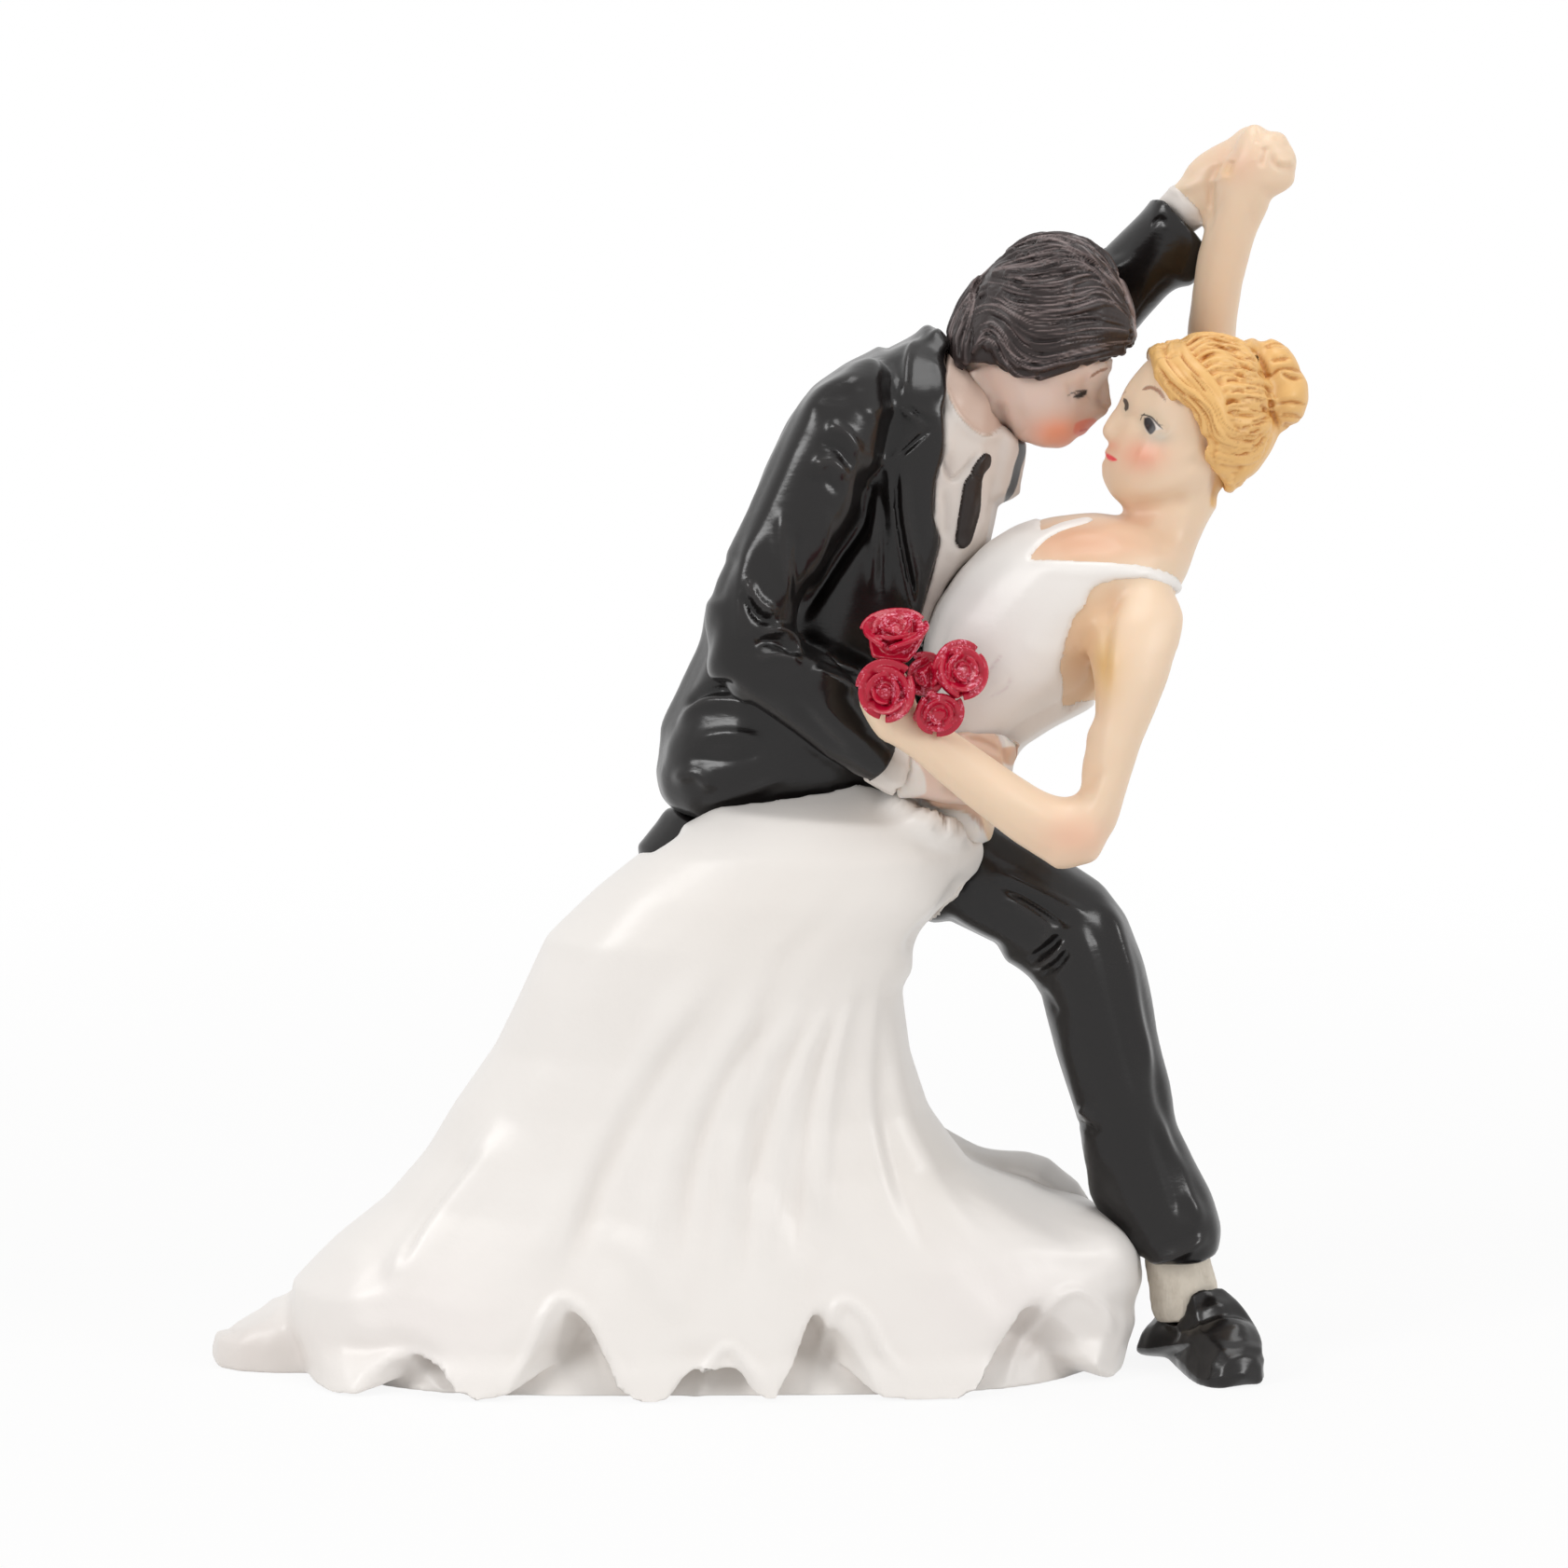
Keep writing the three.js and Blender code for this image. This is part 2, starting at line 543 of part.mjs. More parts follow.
const trouserBox = hang(
  trouserHem, vec(trouserReach.x, TROUSER_DEPTH, trouserReach.z), ANCHOR_SHARES.trouser.own,
);
const trouserForm = (grow) => loft(trouserBox, TROUSER_ROW_SHARES, {
  steps: 14, sides: 12, endDomeShare: 0.3, squareness: 2.1, grow,
});

// Jacket: the tail, the back, the shoulders and the neck opening
const jacketBox = hang(
  hip,
  vec(JACKET_WIDTH, JACKET_DEPTH, JACKET_HEIGHT),
  ANCHOR_SHARES.jacket.own,
);
const JACKET_ROW_SHARES = [
  [0.055, 0.03, 0.62, 0, 0.5, 0.36],
  [0.015, 0.113, 0.7, 0.085, 0.5, 0.42],
  [0.05, 0.217, 0.76, 0.18, 0.5, 0.42],
  [0.13, 0.33, 0.82, 0.274, 0.5, 0.4],
  [0.19, 0.472, 0.875, 0.396, 0.5, 0.4],
  [0.26, 0.604, 0.94, 0.538, 0.5, 0.43],
  [0.325, 0.726, 0.975, 0.67, 0.5, 0.46],
  [0.4, 0.836, 0.988, 0.755, 0.5, 0.48],
  [0.49, 0.9, 0.98, 0.81, 0.5, 0.46],
  [0.618, 0.951, 0.963, 0.85, 0.5, 0.36],
  [0.74, 0.985, 0.94, 0.88, 0.5, 0.22],
];
const torsoForm = (grow) => loft(jacketBox, JACKET_ROW_SHARES, {
  steps: 12, sides: 16, startDomeShare: 0.2, endDomeShare: 0.1, squareness: 2.2, grow,
});
const SHIRT_OUTLINE_SHARES = [
  [0.8, 0.9], [0.79, 0.84], [0.795, 0.76], [0.77, 0.69], [0.765, 0.61], [0.785, 0.57],
  [0.765, 0.5], [0.735, 0.42], [0.73, 0.36], [1.2, 0.36], [1.2, 1.1], [0.85, 1.1],
];
const LAPEL_OUTLINE_SHARES = [
  [0.69, 0.97], [0.665, 0.845], [0.735, 0.795], [0.64, 0.727], [0.672, 0.57], [0.7, 0.46],
  [0.735, 0.4], [0.745, 0.44], [0.79, 0.575], [0.77, 0.62], [0.775, 0.69], [0.8, 0.76],
  [0.795, 0.84], [0.81, 0.91], [0.77, 1],
];
const TIE_OUTLINE_SHARES = [
  [0.868, 0.735], [0.9, 0.728], [0.885, 0.7], [0.87, 0.63], [0.862, 0.575], [0.84, 0.553],
  [0.818, 0.58], [0.83, 0.64], [0.852, 0.7],
];
// How deep the cutting plates reach, as shares of a box's depth
const NEAR_REACH_SHARE = -0.5;
const MIDDLE_REACH_SHARE = 0.5;
const FAR_REACH_SHARE = 1.5;
const SHIRT_REACH_SHARE = 0.86;
const shirtFront = (grow) => plate(
  jacketBox, SHIRT_OUTLINE_SHARES, NEAR_REACH_SHARE, SHIRT_REACH_SHARE, grow,
);
const shirtForm = (grow) => torsoForm(grow - SHIRT_INSET).intersect(shirtFront(grow));
const tieForm = (grow) => torsoForm(TIE_THICKNESS - SHIRT_INSET + grow)
  .intersect(plate(jacketBox, TIE_OUTLINE_SHARES, NEAR_REACH_SHARE, MIDDLE_REACH_SHARE, grow));

function jacketForm(grow) {
  const lapels = torsoForm(LAPEL_THICKNESS + grow)
    .intersect(plate(jacketBox, LAPEL_OUTLINE_SHARES, NEAR_REACH_SHARE, MIDDLE_REACH_SHARE, grow));
  return torsoForm(grow).subtract(shirtFront(0)).add(lapels);
}

// Rear trouser leg, from the jacket down the back of the gown to the train
const REAR_LEG_ROW_SHARES = [
  [0, 0.05, 0.137, 0, 0.5, 0.32],
  [0.137, 0.213, 0.284, 0.14, 0.72, 0.36],
  [0.305, 0.41, 0.463, 0.328, 0.9, 0.4],
  [0.453, 0.59, 0.621, 0.5, 0.92, 0.43],
  [0.58, 0.754, 0.758, 0.648, 0.7, 0.45],
  [0.676, 0.882, 0.853, 0.77, 0.5, 0.46],
  [0.758, 1, 1, 0.9, 0.35, 0.46],
];
const rearHip = jacketBox.at(...ANCHOR_SHARES.rearLeg.on);
const rearLegBox = hang(
  rearHip,
  vec(REAR_LEG_WIDTH, REAR_LEG_DEPTH, rearHip.z - TRAIN_TIP_HEIGHT / 2),
  ANCHOR_SHARES.rearLeg.own,
);
const rearLegForm = (grow) => loft(rearLegBox, REAR_LEG_ROW_SHARES, {
  steps: 9, sides: 12, startDomeShare: 0.4, endDomeShare: 0.3, grow,
});

// Near sleeve, bent at the elbow, its cuff and the hand on the bride's waist
const SLEEVE_ROW_SHARES = [
  [0.6, 0.885, 0.85, 0.93, 0.8, 0.28],
  [0.51, 0.86, 0.905, 0.88, 0.62, 0.4],
  [0.415, 0.79, 0.885, 0.76, 0.48, 0.45],
  [0.3, 0.67, 0.8, 0.625, 0.44, 0.45],
  [0.19, 0.545, 0.65, 0.49, 0.42, 0.45],
  [0.1, 0.425, 0.51, 0.4, 0.4, 0.45],
  [0.055, 0.315, 0.5, 0.345, 0.4, 0.45],
  [0.1, 0.24, 0.54, 0.325, 0.4, 0.45],
  [0.24, 0.2, 0.64, 0.3, 0.4, 0.44],
  [0.4, 0.16, 0.72, 0.26, 0.4, 0.43],
  [0.59, 0.085, 0.85, 0.175, 0.4, 0.41],
  [0.82, 0.012, 0.955, 0.1, 0.4, 0.39],
];
const sleeveBox = hang(
  jacketBox.at(...ANCHOR_SHARES.sleeve.on),
  vec(SLEEVE_WIDTH, SLEEVE_DEPTH, SLEEVE_HEIGHT),
  ANCHOR_SHARES.sleeve.own,
);
const sleeveForm = (grow) => loft(sleeveBox, SLEEVE_ROW_SHARES, {
  steps: 14, sides: 12, startDomeShare: 0.5, grow,
});

// Cuffs and hands lie along a line: their sections are measured along it and across it
const PLAIN_BOX = { size: vec(1, 1, 1), at: vec };
function alongLoft(start, direction, length, sectionShares, breadth, thickness, options) {
  const along = direction.clone().normalize();
  const side = vec(-along.z, 0, along.x);
  const rows = sectionShares.map(([share, low, high, middle, half]) => {
    const centre = start.clone().addScaledVector(along, share * length);
    const left = centre.clone().addScaledVector(side, low * breadth);
    const right = centre.clone().addScaledVector(side, high * breadth);
    return [left.x, left.z, right.x, right.z, centre.y + middle * thickness, half * thickness];
  });
  return loft(PLAIN_BOX, rows, options);
}

const CUFF_SECTION_SHARES = [[-0.5, 0.5, -0.5, 0, 0.5], [0.5, 0.5, -0.5, 0, 0.5], [1, 0.47, -0.47, 0, 0.47]];
const cuffStart = sleeveBox.at(...ANCHOR_SHARES.cuff.on);
const CUFF_DIRECTION = vec(0.86, 0, -0.51);
const cuffForm = (grow) => alongLoft(
  cuffStart, CUFF_DIRECTION, CUFF_LENGTH, CUFF_SECTION_SHARES, CUFF_THICKNESS, CUFF_THICKNESS,
  { steps: 2, sides: 10, squareness: 2.3, grow },
);
const HAND_SECTION_SHARES = [
  [-0.1, 0.22, -0.24, 0, 0.4],
  [0.15, 0.3, -0.28, -0.1, 0.45],
  [0.4, 0.46, -0.4, -0.16, 0.5],
  [0.62, 0.5, -0.36, -0.16, 0.46],
  [0.85, 0.46, -0.2, -0.1, 0.36],
  [1, 0.36, -0.02, 0, 0.24],
];
const cuffEnd = cuffStart.clone().addScaledVector(CUFF_DIRECTION, CUFF_LENGTH);
const waistHandStart = cuffEnd.clone().setY(torsoBox.at(...ANCHOR_SHARES.waistHand.on).y);
const WAIST_HAND_DIRECTION = vec(0.97, 0, 0.1);
const waistHandForm = (grow) => alongLoft(
  waistHandStart, WAIST_HAND_DIRECTION, WAIST_HAND_LENGTH, HAND_SECTION_SHARES,
  WAIST_HAND_BREADTH, WAIST_HAND_DEPTH, { steps: 6, sides: 10, endDomeShare: 0.5, grow },
);

// Raised sleeve behind the groom's head, its cuff and hand
const RAISED_SLEEVE_ROW_SHARES = [
  [0, 0.28, 0.3, 0, 0.3, 0.42],
  [0.2, 0.5, 0.47, 0.19, 0.44, 0.45],
  [0.43, 0.66, 0.66, 0.35, 0.5, 0.45],
  [0.6, 0.78, 0.79, 0.49, 0.34, 0.42],
  [0.72, 0.88, 0.91, 0.62, 0.16, 0.4],
  [0.815, 0.985, 0.985, 0.765, 0, 0.38],
];
const raisedSleeveBox = hang(
  jacketBox.at(...ANCHOR_SHARES.raisedSleeve.on),
  vec(RAISED_SLEEVE_WIDTH, RAISED_SLEEVE_DEPTH, RAISED_SLEEVE_HEIGHT),
  ANCHOR_SHARES.raisedSleeve.own,
);
const raisedSleeveForm = (grow) => loft(raisedSleeveBox, RAISED_SLEEVE_ROW_SHARES, {
  steps: 8, sides: 12, startDomeShare: 0.3, grow,
});
const raisedCuffStart = raisedSleeveBox.at(...ANCHOR_SHARES.raisedCuff.on);
const RAISED_DIRECTION = vec(0.66, -0.3, 0.69);
const raisedCuffForm = (grow) => alongLoft(
  raisedCuffStart, RAISED_DIRECTION, RAISED_CUFF_LENGTH, CUFF_SECTION_SHARES, CUFF_THICKNESS, CUFF_THICKNESS,
  { steps: 2, sides: 10, squareness: 2.3, grow },
);
const RAISED_HAND_ROW_SHARES = [
  [0.06, 0.2, 0.36, -0.02, 0.5, 0.4],
  [0.16, 0.42, 0.55, 0.2, 0.46, 0.46],
  [0.36, 0.76, 0.76, 0.4, 0.42, 0.5],
  [0.6, 0.96, 0.92, 0.58, 0.4, 0.48],
  [0.8, 1, 1, 0.74, 0.4, 0.36],
];
const raisedHandBox = hang(
  raisedCuffStart.clone().addScaledVector(RAISED_DIRECTION, RAISED_CUFF_LENGTH),
  vec(RAISED_HAND_WIDTH, RAISED_HAND_DEPTH, RAISED_HAND_HEIGHT),
  ANCHOR_SHARES.raisedHand.own,
);
const raisedHandForm = (grow) => loft(raisedHandBox, RAISED_HAND_ROW_SHARES, {
  steps: 6, sides: 10, endDomeShare: 0.5, grow,
});

// Groom's head on the jacket's collar, tilted towards the bride, with the hair over it
const groomHeadBox = hang(
  jacketBox.at(...ANCHOR_SHARES.groomHead.on),
  vec(GROOM_HEAD_WIDTH, GROOM_HEAD_DEPTH, GROOM_HEAD_HEIGHT),
  ANCHOR_SHARES.groomHead.own,
);
const GROOM_NECK_ROW_SHARES = [
  [0, -0.02, 0.34, -0.06, 0.5, 0.28],
  [0.03, 0.2, 0.38, 0.12, 0.5, 0.29],
  [0.1, 0.5, 0.56, 0.24, 0.5, 0.3],
];
const GROOM_FACE_ROW_SHARES = [
  [0.44, 0.1, 0.705, 0.055, 0.5, 0.24],
  [0.33, 0.2, 0.81, 0.14, 0.5, 0.39],
  [0.24, 0.32, 0.85, 0.22, 0.5, 0.45],
  [0.18, 0.44, 0.895, 0.31, 0.5, 0.48],
  [0.15, 0.58, 0.95, 0.44, 0.5, 0.49],
  [0.18, 0.76, 0.98, 0.6, 0.5, 0.48],
  [0.29, 0.9, 0.95, 0.76, 0.5, 0.42],
  [0.38, 0.955, 0.9, 0.84, 0.5, 0.36],
];
const groomFace = (grow) => loft(groomHeadBox, GROOM_FACE_ROW_SHARES, {
  steps: 9, sides: 14, startDomeShare: 0.4, endDomeShare: 0.4, grow,
});

// A nose is a narrow lump, tilted with the face
const NOSE_RADIUS_SHARES = [0.55, 0.5, 1];
const NOSE_TURN = Math.PI / 7;
const noseForm = (box, placeShare, length, grow) => lump(
  box.at(...placeShare), vec(...NOSE_RADIUS_SHARES).multiplyScalar(length), { grow, turn: NOSE_TURN },
);

function groomHeadForm(grow) {
  const neck = loft(groomHeadBox, GROOM_NECK_ROW_SHARES, { steps: 3, sides: 10, grow });
  const nose = noseForm(groomHeadBox, ANCHOR_SHARES.groomNose.on, GROOM_NOSE_LENGTH, grow);
  return joined([groomFace(grow), neck, nose]);
}

const GROOM_HAIR_OUTLINE_SHARES = [
  [1.09, 0.52], [0.98, 0.47], [0.93, 0.44], [0.8, 0.415], [0.7, 0.39], [0.56, 0.35], [0.43, 0.355],
  [0.3, 0.43], [0.24, 0.45], [0.19, 0.36], [0.06, 0.32], [-0.3, 0.42], [-0.3, 1.4], [1.4, 1.4], [1.4, 0.6],
];
const groomHairForm = (grow) => groomFace(GROOM_HAIR_THICKNESS + grow)
  .intersect(plate(groomHeadBox, GROOM_HAIR_OUTLINE_SHARES, NEAR_REACH_SHARE, FAR_REACH_SHARE, grow));

// Bride's body from inside the gown's waist to the base of the neck
const TORSO_ROW_SHARES = [
  [-0.02, 0.06, 0.32, 0, 0.5, 0.34],
  [0.09, 0.24, 0.365, 0.2, 0.5, 0.33],
  [0.11, 0.41, 0.45, 0.305, 0.5, 0.36],
  [0.11, 0.555, 0.6, 0.37, 0.5, 0.4],
  [0.15, 0.69, 0.71, 0.485, 0.5, 0.44],
  [0.24, 0.815, 0.81, 0.61, 0.5, 0.47],
  [0.34, 0.9, 0.885, 0.73, 0.5, 0.48],
  [0.46, 0.95, 0.925, 0.8, 0.5, 0.44],
  [0.6, 0.97, 0.95, 0.87, 0.5, 0.3],
];
const brideTorsoForm = (grow) => loft(torsoBox, TORSO_ROW_SHARES, {
  steps: 10, sides: 16, startDomeShare: 0.2, endDomeShare: 0.2, squareness: 2.2, grow,
});
const BODICE_OUTLINE_SHARES = [
  [0, 0.27], [0.2, 0.3], [0.34, 0.27], [0.385, 0.15], [0.9, 0.15], [0.9, 0.37], [0.535, 0.37],
  [0.525, 0.48], [0.562, 0.645], [0.605, 0.7], [0.66, 0.748], [0.91, 0.7], [1, 0.62], [1.2, 0.7],
  [0.93, 0.8], [0.8, 0.79], [0.64, 0.8], [0.425, 0.82], [0.36, 0.93], [-0.3, 0.93], [-0.3, 0.27],
];
const bodiceForm = (grow) => brideTorsoForm(FIT_GAP + BODICE_THICKNESS + grow)
  .intersect(plate(torsoBox, BODICE_OUTLINE_SHARES, NEAR_REACH_SHARE, FAR_REACH_SHARE, grow));

// Bride's near arm, bent under the bouquet, and its hand
const nearArmBox = hang(
  torsoBox.at(...ANCHOR_SHARES.nearArm.on),
  vec(NEAR_ARM_WIDTH, NEAR_ARM_DEPTH, NEAR_ARM_HEIGHT),
  ANCHOR_SHARES.nearArm.own,
);
const NEAR_ARM_ROW_SHARES = [
  [0.74, 0.955, 0.945, 0.98, 1, 0.42],
  [0.66, 0.83, 0.985, 0.86, 0.76, 0.5],
  [0.69, 0.66, 0.962, 0.7, 0.55, 0.46],
  [0.705, 0.54, 0.922, 0.57, 0.47, 0.42],
  [0.69, 0.4, 0.86, 0.42, 0.4, 0.4],
  [0.655, 0.28, 0.81, 0.25, 0.36, 0.4],
  [0.62, 0.255, 0.75, 0.075, 0.34, 0.4],
  [0.55, 0.27, 0.6, 0.01, 0.32, 0.4],
  [0.43, 0.345, 0.42, 0.12, 0.28, 0.38],
  [0.28, 0.45, 0.24, 0.27, 0.24, 0.33],
  [0.15, 0.54, 0.08, 0.42, 0.2, 0.29],
  [0.1, 0.58, 0.02, 0.5, 0.18, 0.28],
];
const nearArmForm = (grow) => loft(nearArmBox, NEAR_ARM_ROW_SHARES, {
  steps: 14, sides: 10, startDomeShare: 0.4, grow,
});
const NEAR_HAND_SECTION_SHARES = [
  [-0.25, 0.4, -0.4, 0, 0.4],
  [0.1, 0.5, -0.5, 0, 0.5],
  [0.5, 0.56, -0.5, 0, 0.56],
  [0.85, 0.42, -0.36, 0, 0.5],
];
const nearHandStart = nearArmBox.at(...ANCHOR_SHARES.nearHand.on);
const NEAR_HAND_DIRECTION = vec(-0.35, 0, 0.94);
const nearHandForm = (grow) => alongLoft(
  nearHandStart, NEAR_HAND_DIRECTION, NEAR_HAND_LENGTH, NEAR_HAND_SECTION_SHARES,
  NEAR_HAND_BREADTH, NEAR_HAND_BREADTH, { steps: 4, sides: 10, endDomeShare: 0.5, grow },
);

// Bride's far arm, raised behind her head, and its hand round the groom's
const farArmBox = hang(
  torsoBox.at(...ANCHOR_SHARES.farArm.on),
  vec(FAR_ARM_WIDTH, FAR_ARM_DEPTH, FAR_ARM_HEIGHT),
  ANCHOR_SHARES.farArm.own,
);
const FAR_ARM_ROW_SHARES = [
  [0.02, 0, 0.44, 0.05, 0.2, 0.36],
  [0.24, 0.195, 0.62, 0.22, 0.55, 0.34],
  [0.38, 0.366, 0.765, 0.378, 0.75, 0.33],
  [0.44, 0.537, 0.765, 0.537, 0.7, 0.31],
  [0.453, 0.67, 0.76, 0.67, 0.56, 0.28],
  [0.488, 0.805, 0.806, 0.805, 0.44, 0.26],
  [0.506, 0.9, 0.88, 0.907, 0.34, 0.24],
  [0.576, 0.985, 0.96, 0.988, 0.24, 0.24],
];
const farArmForm = (grow) => loft(farArmBox, FAR_ARM_ROW_SHARES, {
  steps: 9, sides: 10, startDomeShare: 0.3, grow,
});
const farHandBox = hang(
  farArmBox.at(...ANCHOR_SHARES.farHand.on),
  vec(FAR_HAND_WIDTH, FAR_HAND_DEPTH, FAR_HAND_HEIGHT),
  ANCHOR_SHARES.farHand.own,
);
const FAR_HAND_ROW_SHARES = [
  [0.04, 0, 0.76, 0.06, 0.5, 0.36],
  [0.08, 0.3, 0.95, 0.36, 0.46, 0.46],
  [0.18, 0.62, 0.99, 0.6, 0.44, 0.48],
  [0.34, 0.9, 0.86, 0.84, 0.44, 0.36],
];
const farHandForm = (grow) => loft(farHandBox, FAR_HAND_ROW_SHARES, {
  steps: 5, sides: 10, endDomeShare: 0.5, grow,
});

// Bride's head and neck, her hair cap and the bun
const brideHeadBox = hang(
  torsoBox.at(...ANCHOR_SHARES.brideHead.on),
  vec(BRIDE_HEAD_WIDTH, BRIDE_HEAD_DEPTH, BRIDE_HEAD_HEIGHT),
  ANCHOR_SHARES.brideHead.own,
);
const BRIDE_NECK_ROW_SHARES = [
  [0, -0.06, 0.5, -0.02, 0.5, 0.42],
  [0.05, 0.12, 0.57, 0.14, 0.5, 0.36],
  [0.13, 0.27, 0.66, 0.27, 0.5, 0.3],
  [0.24, 0.44, 0.8, 0.43, 0.5, 0.3],
];
const BRIDE_FACE_ROW_SHARES = [
  [0.05, 0.345, 0.34, 0.28, 0.5, 0.22],
  [0.01, 0.43, 0.55, 0.3, 0.5, 0.37],
  [0.03, 0.52, 0.77, 0.4, 0.5, 0.45],
  [0.08, 0.62, 0.9, 0.52, 0.5, 0.485],
  [0.125, 0.72, 0.955, 0.64, 0.5, 0.49],
  [0.165, 0.82, 0.965, 0.78, 0.5, 0.47],
  [0.25, 0.91, 0.89, 0.89, 0.5, 0.41],
  [0.33, 0.95, 0.82, 0.93, 0.5, 0.36],
];
const brideFace = (grow) => loft(brideHeadBox, BRIDE_FACE_ROW_SHARES, {
  steps: 9, sides: 14, startDomeShare: 0.4, endDomeShare: 0.4, grow,
});

function brideHeadForm(grow) {
  const neck = loft(brideHeadBox, BRIDE_NECK_ROW_SHARES, { steps: 4, sides: 10, grow });
  const nose = noseForm(brideHeadBox, ANCHOR_SHARES.brideNose.on, BRIDE_NOSE_LENGTH, grow);
  return joined([brideFace(grow), neck, nose]);
}

const BRIDE_HAIR_OUTLINE_SHARES = [
  [0.2, 1.2], [0.26, 0.97], [0.36, 0.85], [0.5, 0.71], [0.545, 0.6], [0.565, 0.5], [0.665, 0.42],
  [0.74, 0.32], [0.8, 0.2], [1.5, 0.2], [1.5, 1.2],
];
const brideHairForm = (grow) => brideFace(BRIDE_HAIR_THICKNESS + grow)
  .intersect(plate(brideHeadBox, BRIDE_HAIR_OUTLINE_SHARES, NEAR_REACH_SHARE, FAR_REACH_SHARE, grow));

// The bun is two wound lobes, one on the other: each has its place and its radii in the bun's size
const bunCentre = brideHeadBox.at(...ANCHOR_SHARES.bun.on);
const BUN_LOBE_SHARES = [
  { place: [-0.08, 0, 0.18], radii: [0.44, 0.44, 0.32] },
  { place: [0.06, 0, -0.12], radii: [0.48, 0.5, 0.37] },
];
const bunSize = vec(BUN_WIDTH, BUN_DEPTH, BUN_HEIGHT);
const bunForm = (grow) => joined(BUN_LOBE_SHARES.map(({ place, radii }) => lump(
  bunCentre.clone().add(vec(...place).multiply(bunSize)),
  vec(...radii).multiply(bunSize),
  { grow, widthSegments: 10, heightSegments: 7 },
)));

// Roses: one surface that climbs over two rims of petals, each with five lobes, to the bud.
// Each row is a ring's radius, its height, the depth of its lobes and its turn in lobes.
const ROSE_RING_SHARES = [
  [0.4, 0, 0, 0],
  [0.86, 0.3, 0.06, 0],
  [1, 0.66, 0.1, 0],
  [0.9, 0.76, 0.1, 0],
  [0.64, 0.6, 0.06, 0.5],
  [0.66, 0.9, 0.1, 0.5],
  [0.55, 0.98, 0.08, 0.5],
  [0.36, 0.82, 0, 0],
  [0.3, 1.06, 0.06, 0],
];
const ROSE_MIDDLE_SHARE = 0.5;
const ROSE_TIP_SHARE = 1.1;
const ROSE_SIDES = 3 * ROSE_PETAL_COUNT;

function roseForm(centre, radius, height, facing, grow) {
  const turn = new THREE.Quaternion().setFromUnitVectors(vec(0, 0, 1), facing.clone().normalize());
  const place = (point) => point.applyQuaternion(turn).add(centre);
  const rings = ROSE_RING_SHARES.map(([radiusShare, heightShare, lobeShare, turnShare]) => {
    const ring = [];
    for (let side = 0; side < ROSE_SIDES; side += 1) {
      const angle = (2 * Math.PI * side) / ROSE_SIDES;
      const lobe = 1 + lobeShare * Math.cos(ROSE_PETAL_COUNT * angle + 2 * Math.PI * turnShare);
      const reach = radiusShare * radius * lobe + grow;
      const aboveMiddle = heightShare - ROSE_MIDDLE_SHARE;
      const rise = aboveMiddle * height + Math.sign(aboveMiddle) * grow;
      ring.push(place(vec(Math.cos(angle) * reach, Math.sin(angle) * reach, rise)));
    }
    return ring;
  });
  const low = place(vec(0, 0, -ROSE_MIDDLE_SHARE * height - grow));
  const tip = place(vec(0, 0, (ROSE_TIP_SHARE - ROSE_MIDDLE_SHARE) * height + grow));
  return solidOf(skin(rings, low, tip));
}

// The bouquet: where each rose sits, in rose radii from the middle, the way it faces and its size
const bouquetCentre = nearArmBox.at(...ANCHOR_SHARES.bouquet.on);
const ROSE_PLACE_SHARES = [
  { placeShare: [-0.1, 0, 1.1], facing: [-0.2, -1, 0.7], sizeShare: 1 },
  { placeShare: [1.15, 0, 0.2], facing: [0.6, -1, 0.2], sizeShare: 0.92 },
  { placeShare: [-0.5, -0.15, -0.25], facing: [-0.4, -1, -0.1], sizeShare: 0.9 },
  { placeShare: [0.65, -0.1, -0.95], facing: [0.2, -1, -0.5], sizeShare: 0.86 },
];
const BUD_PLACE_SHARE = [0.25, 0.35, 0.15];
const rosePlace = (placeShare) => bouquetCentre.clone().addScaledVector(vec(...placeShare), ROSE_RADIUS);
const budCentre = rosePlace(BUD_PLACE_SHARE);
const budForm = (grow) => lump(budCentre, vec(BUD_RADIUS, BUD_RADIUS, BUD_RADIUS), { grow });

// Colours read from the painted resin
const skinTone = (color) => new THREE.MeshStandardMaterial({ color, roughness: 0.45, metalness: 0 });
const paint = (color, roughness) => new THREE.MeshStandardMaterial({ color, roughness, metalness: 0 });
const blackGloss = () => paint('#1c1917', 0.16);
const shirtWhite = () => paint('#e6dcd2', 0.4);
const gownWhite = () => paint('#efe9e4', 0.42);
const brideSkin = () => skinTone('#efcfab');
const groomSkin = () => skinTone('#dcbfae');
const rosePaint = () => paint('#b0102f', 0.35);

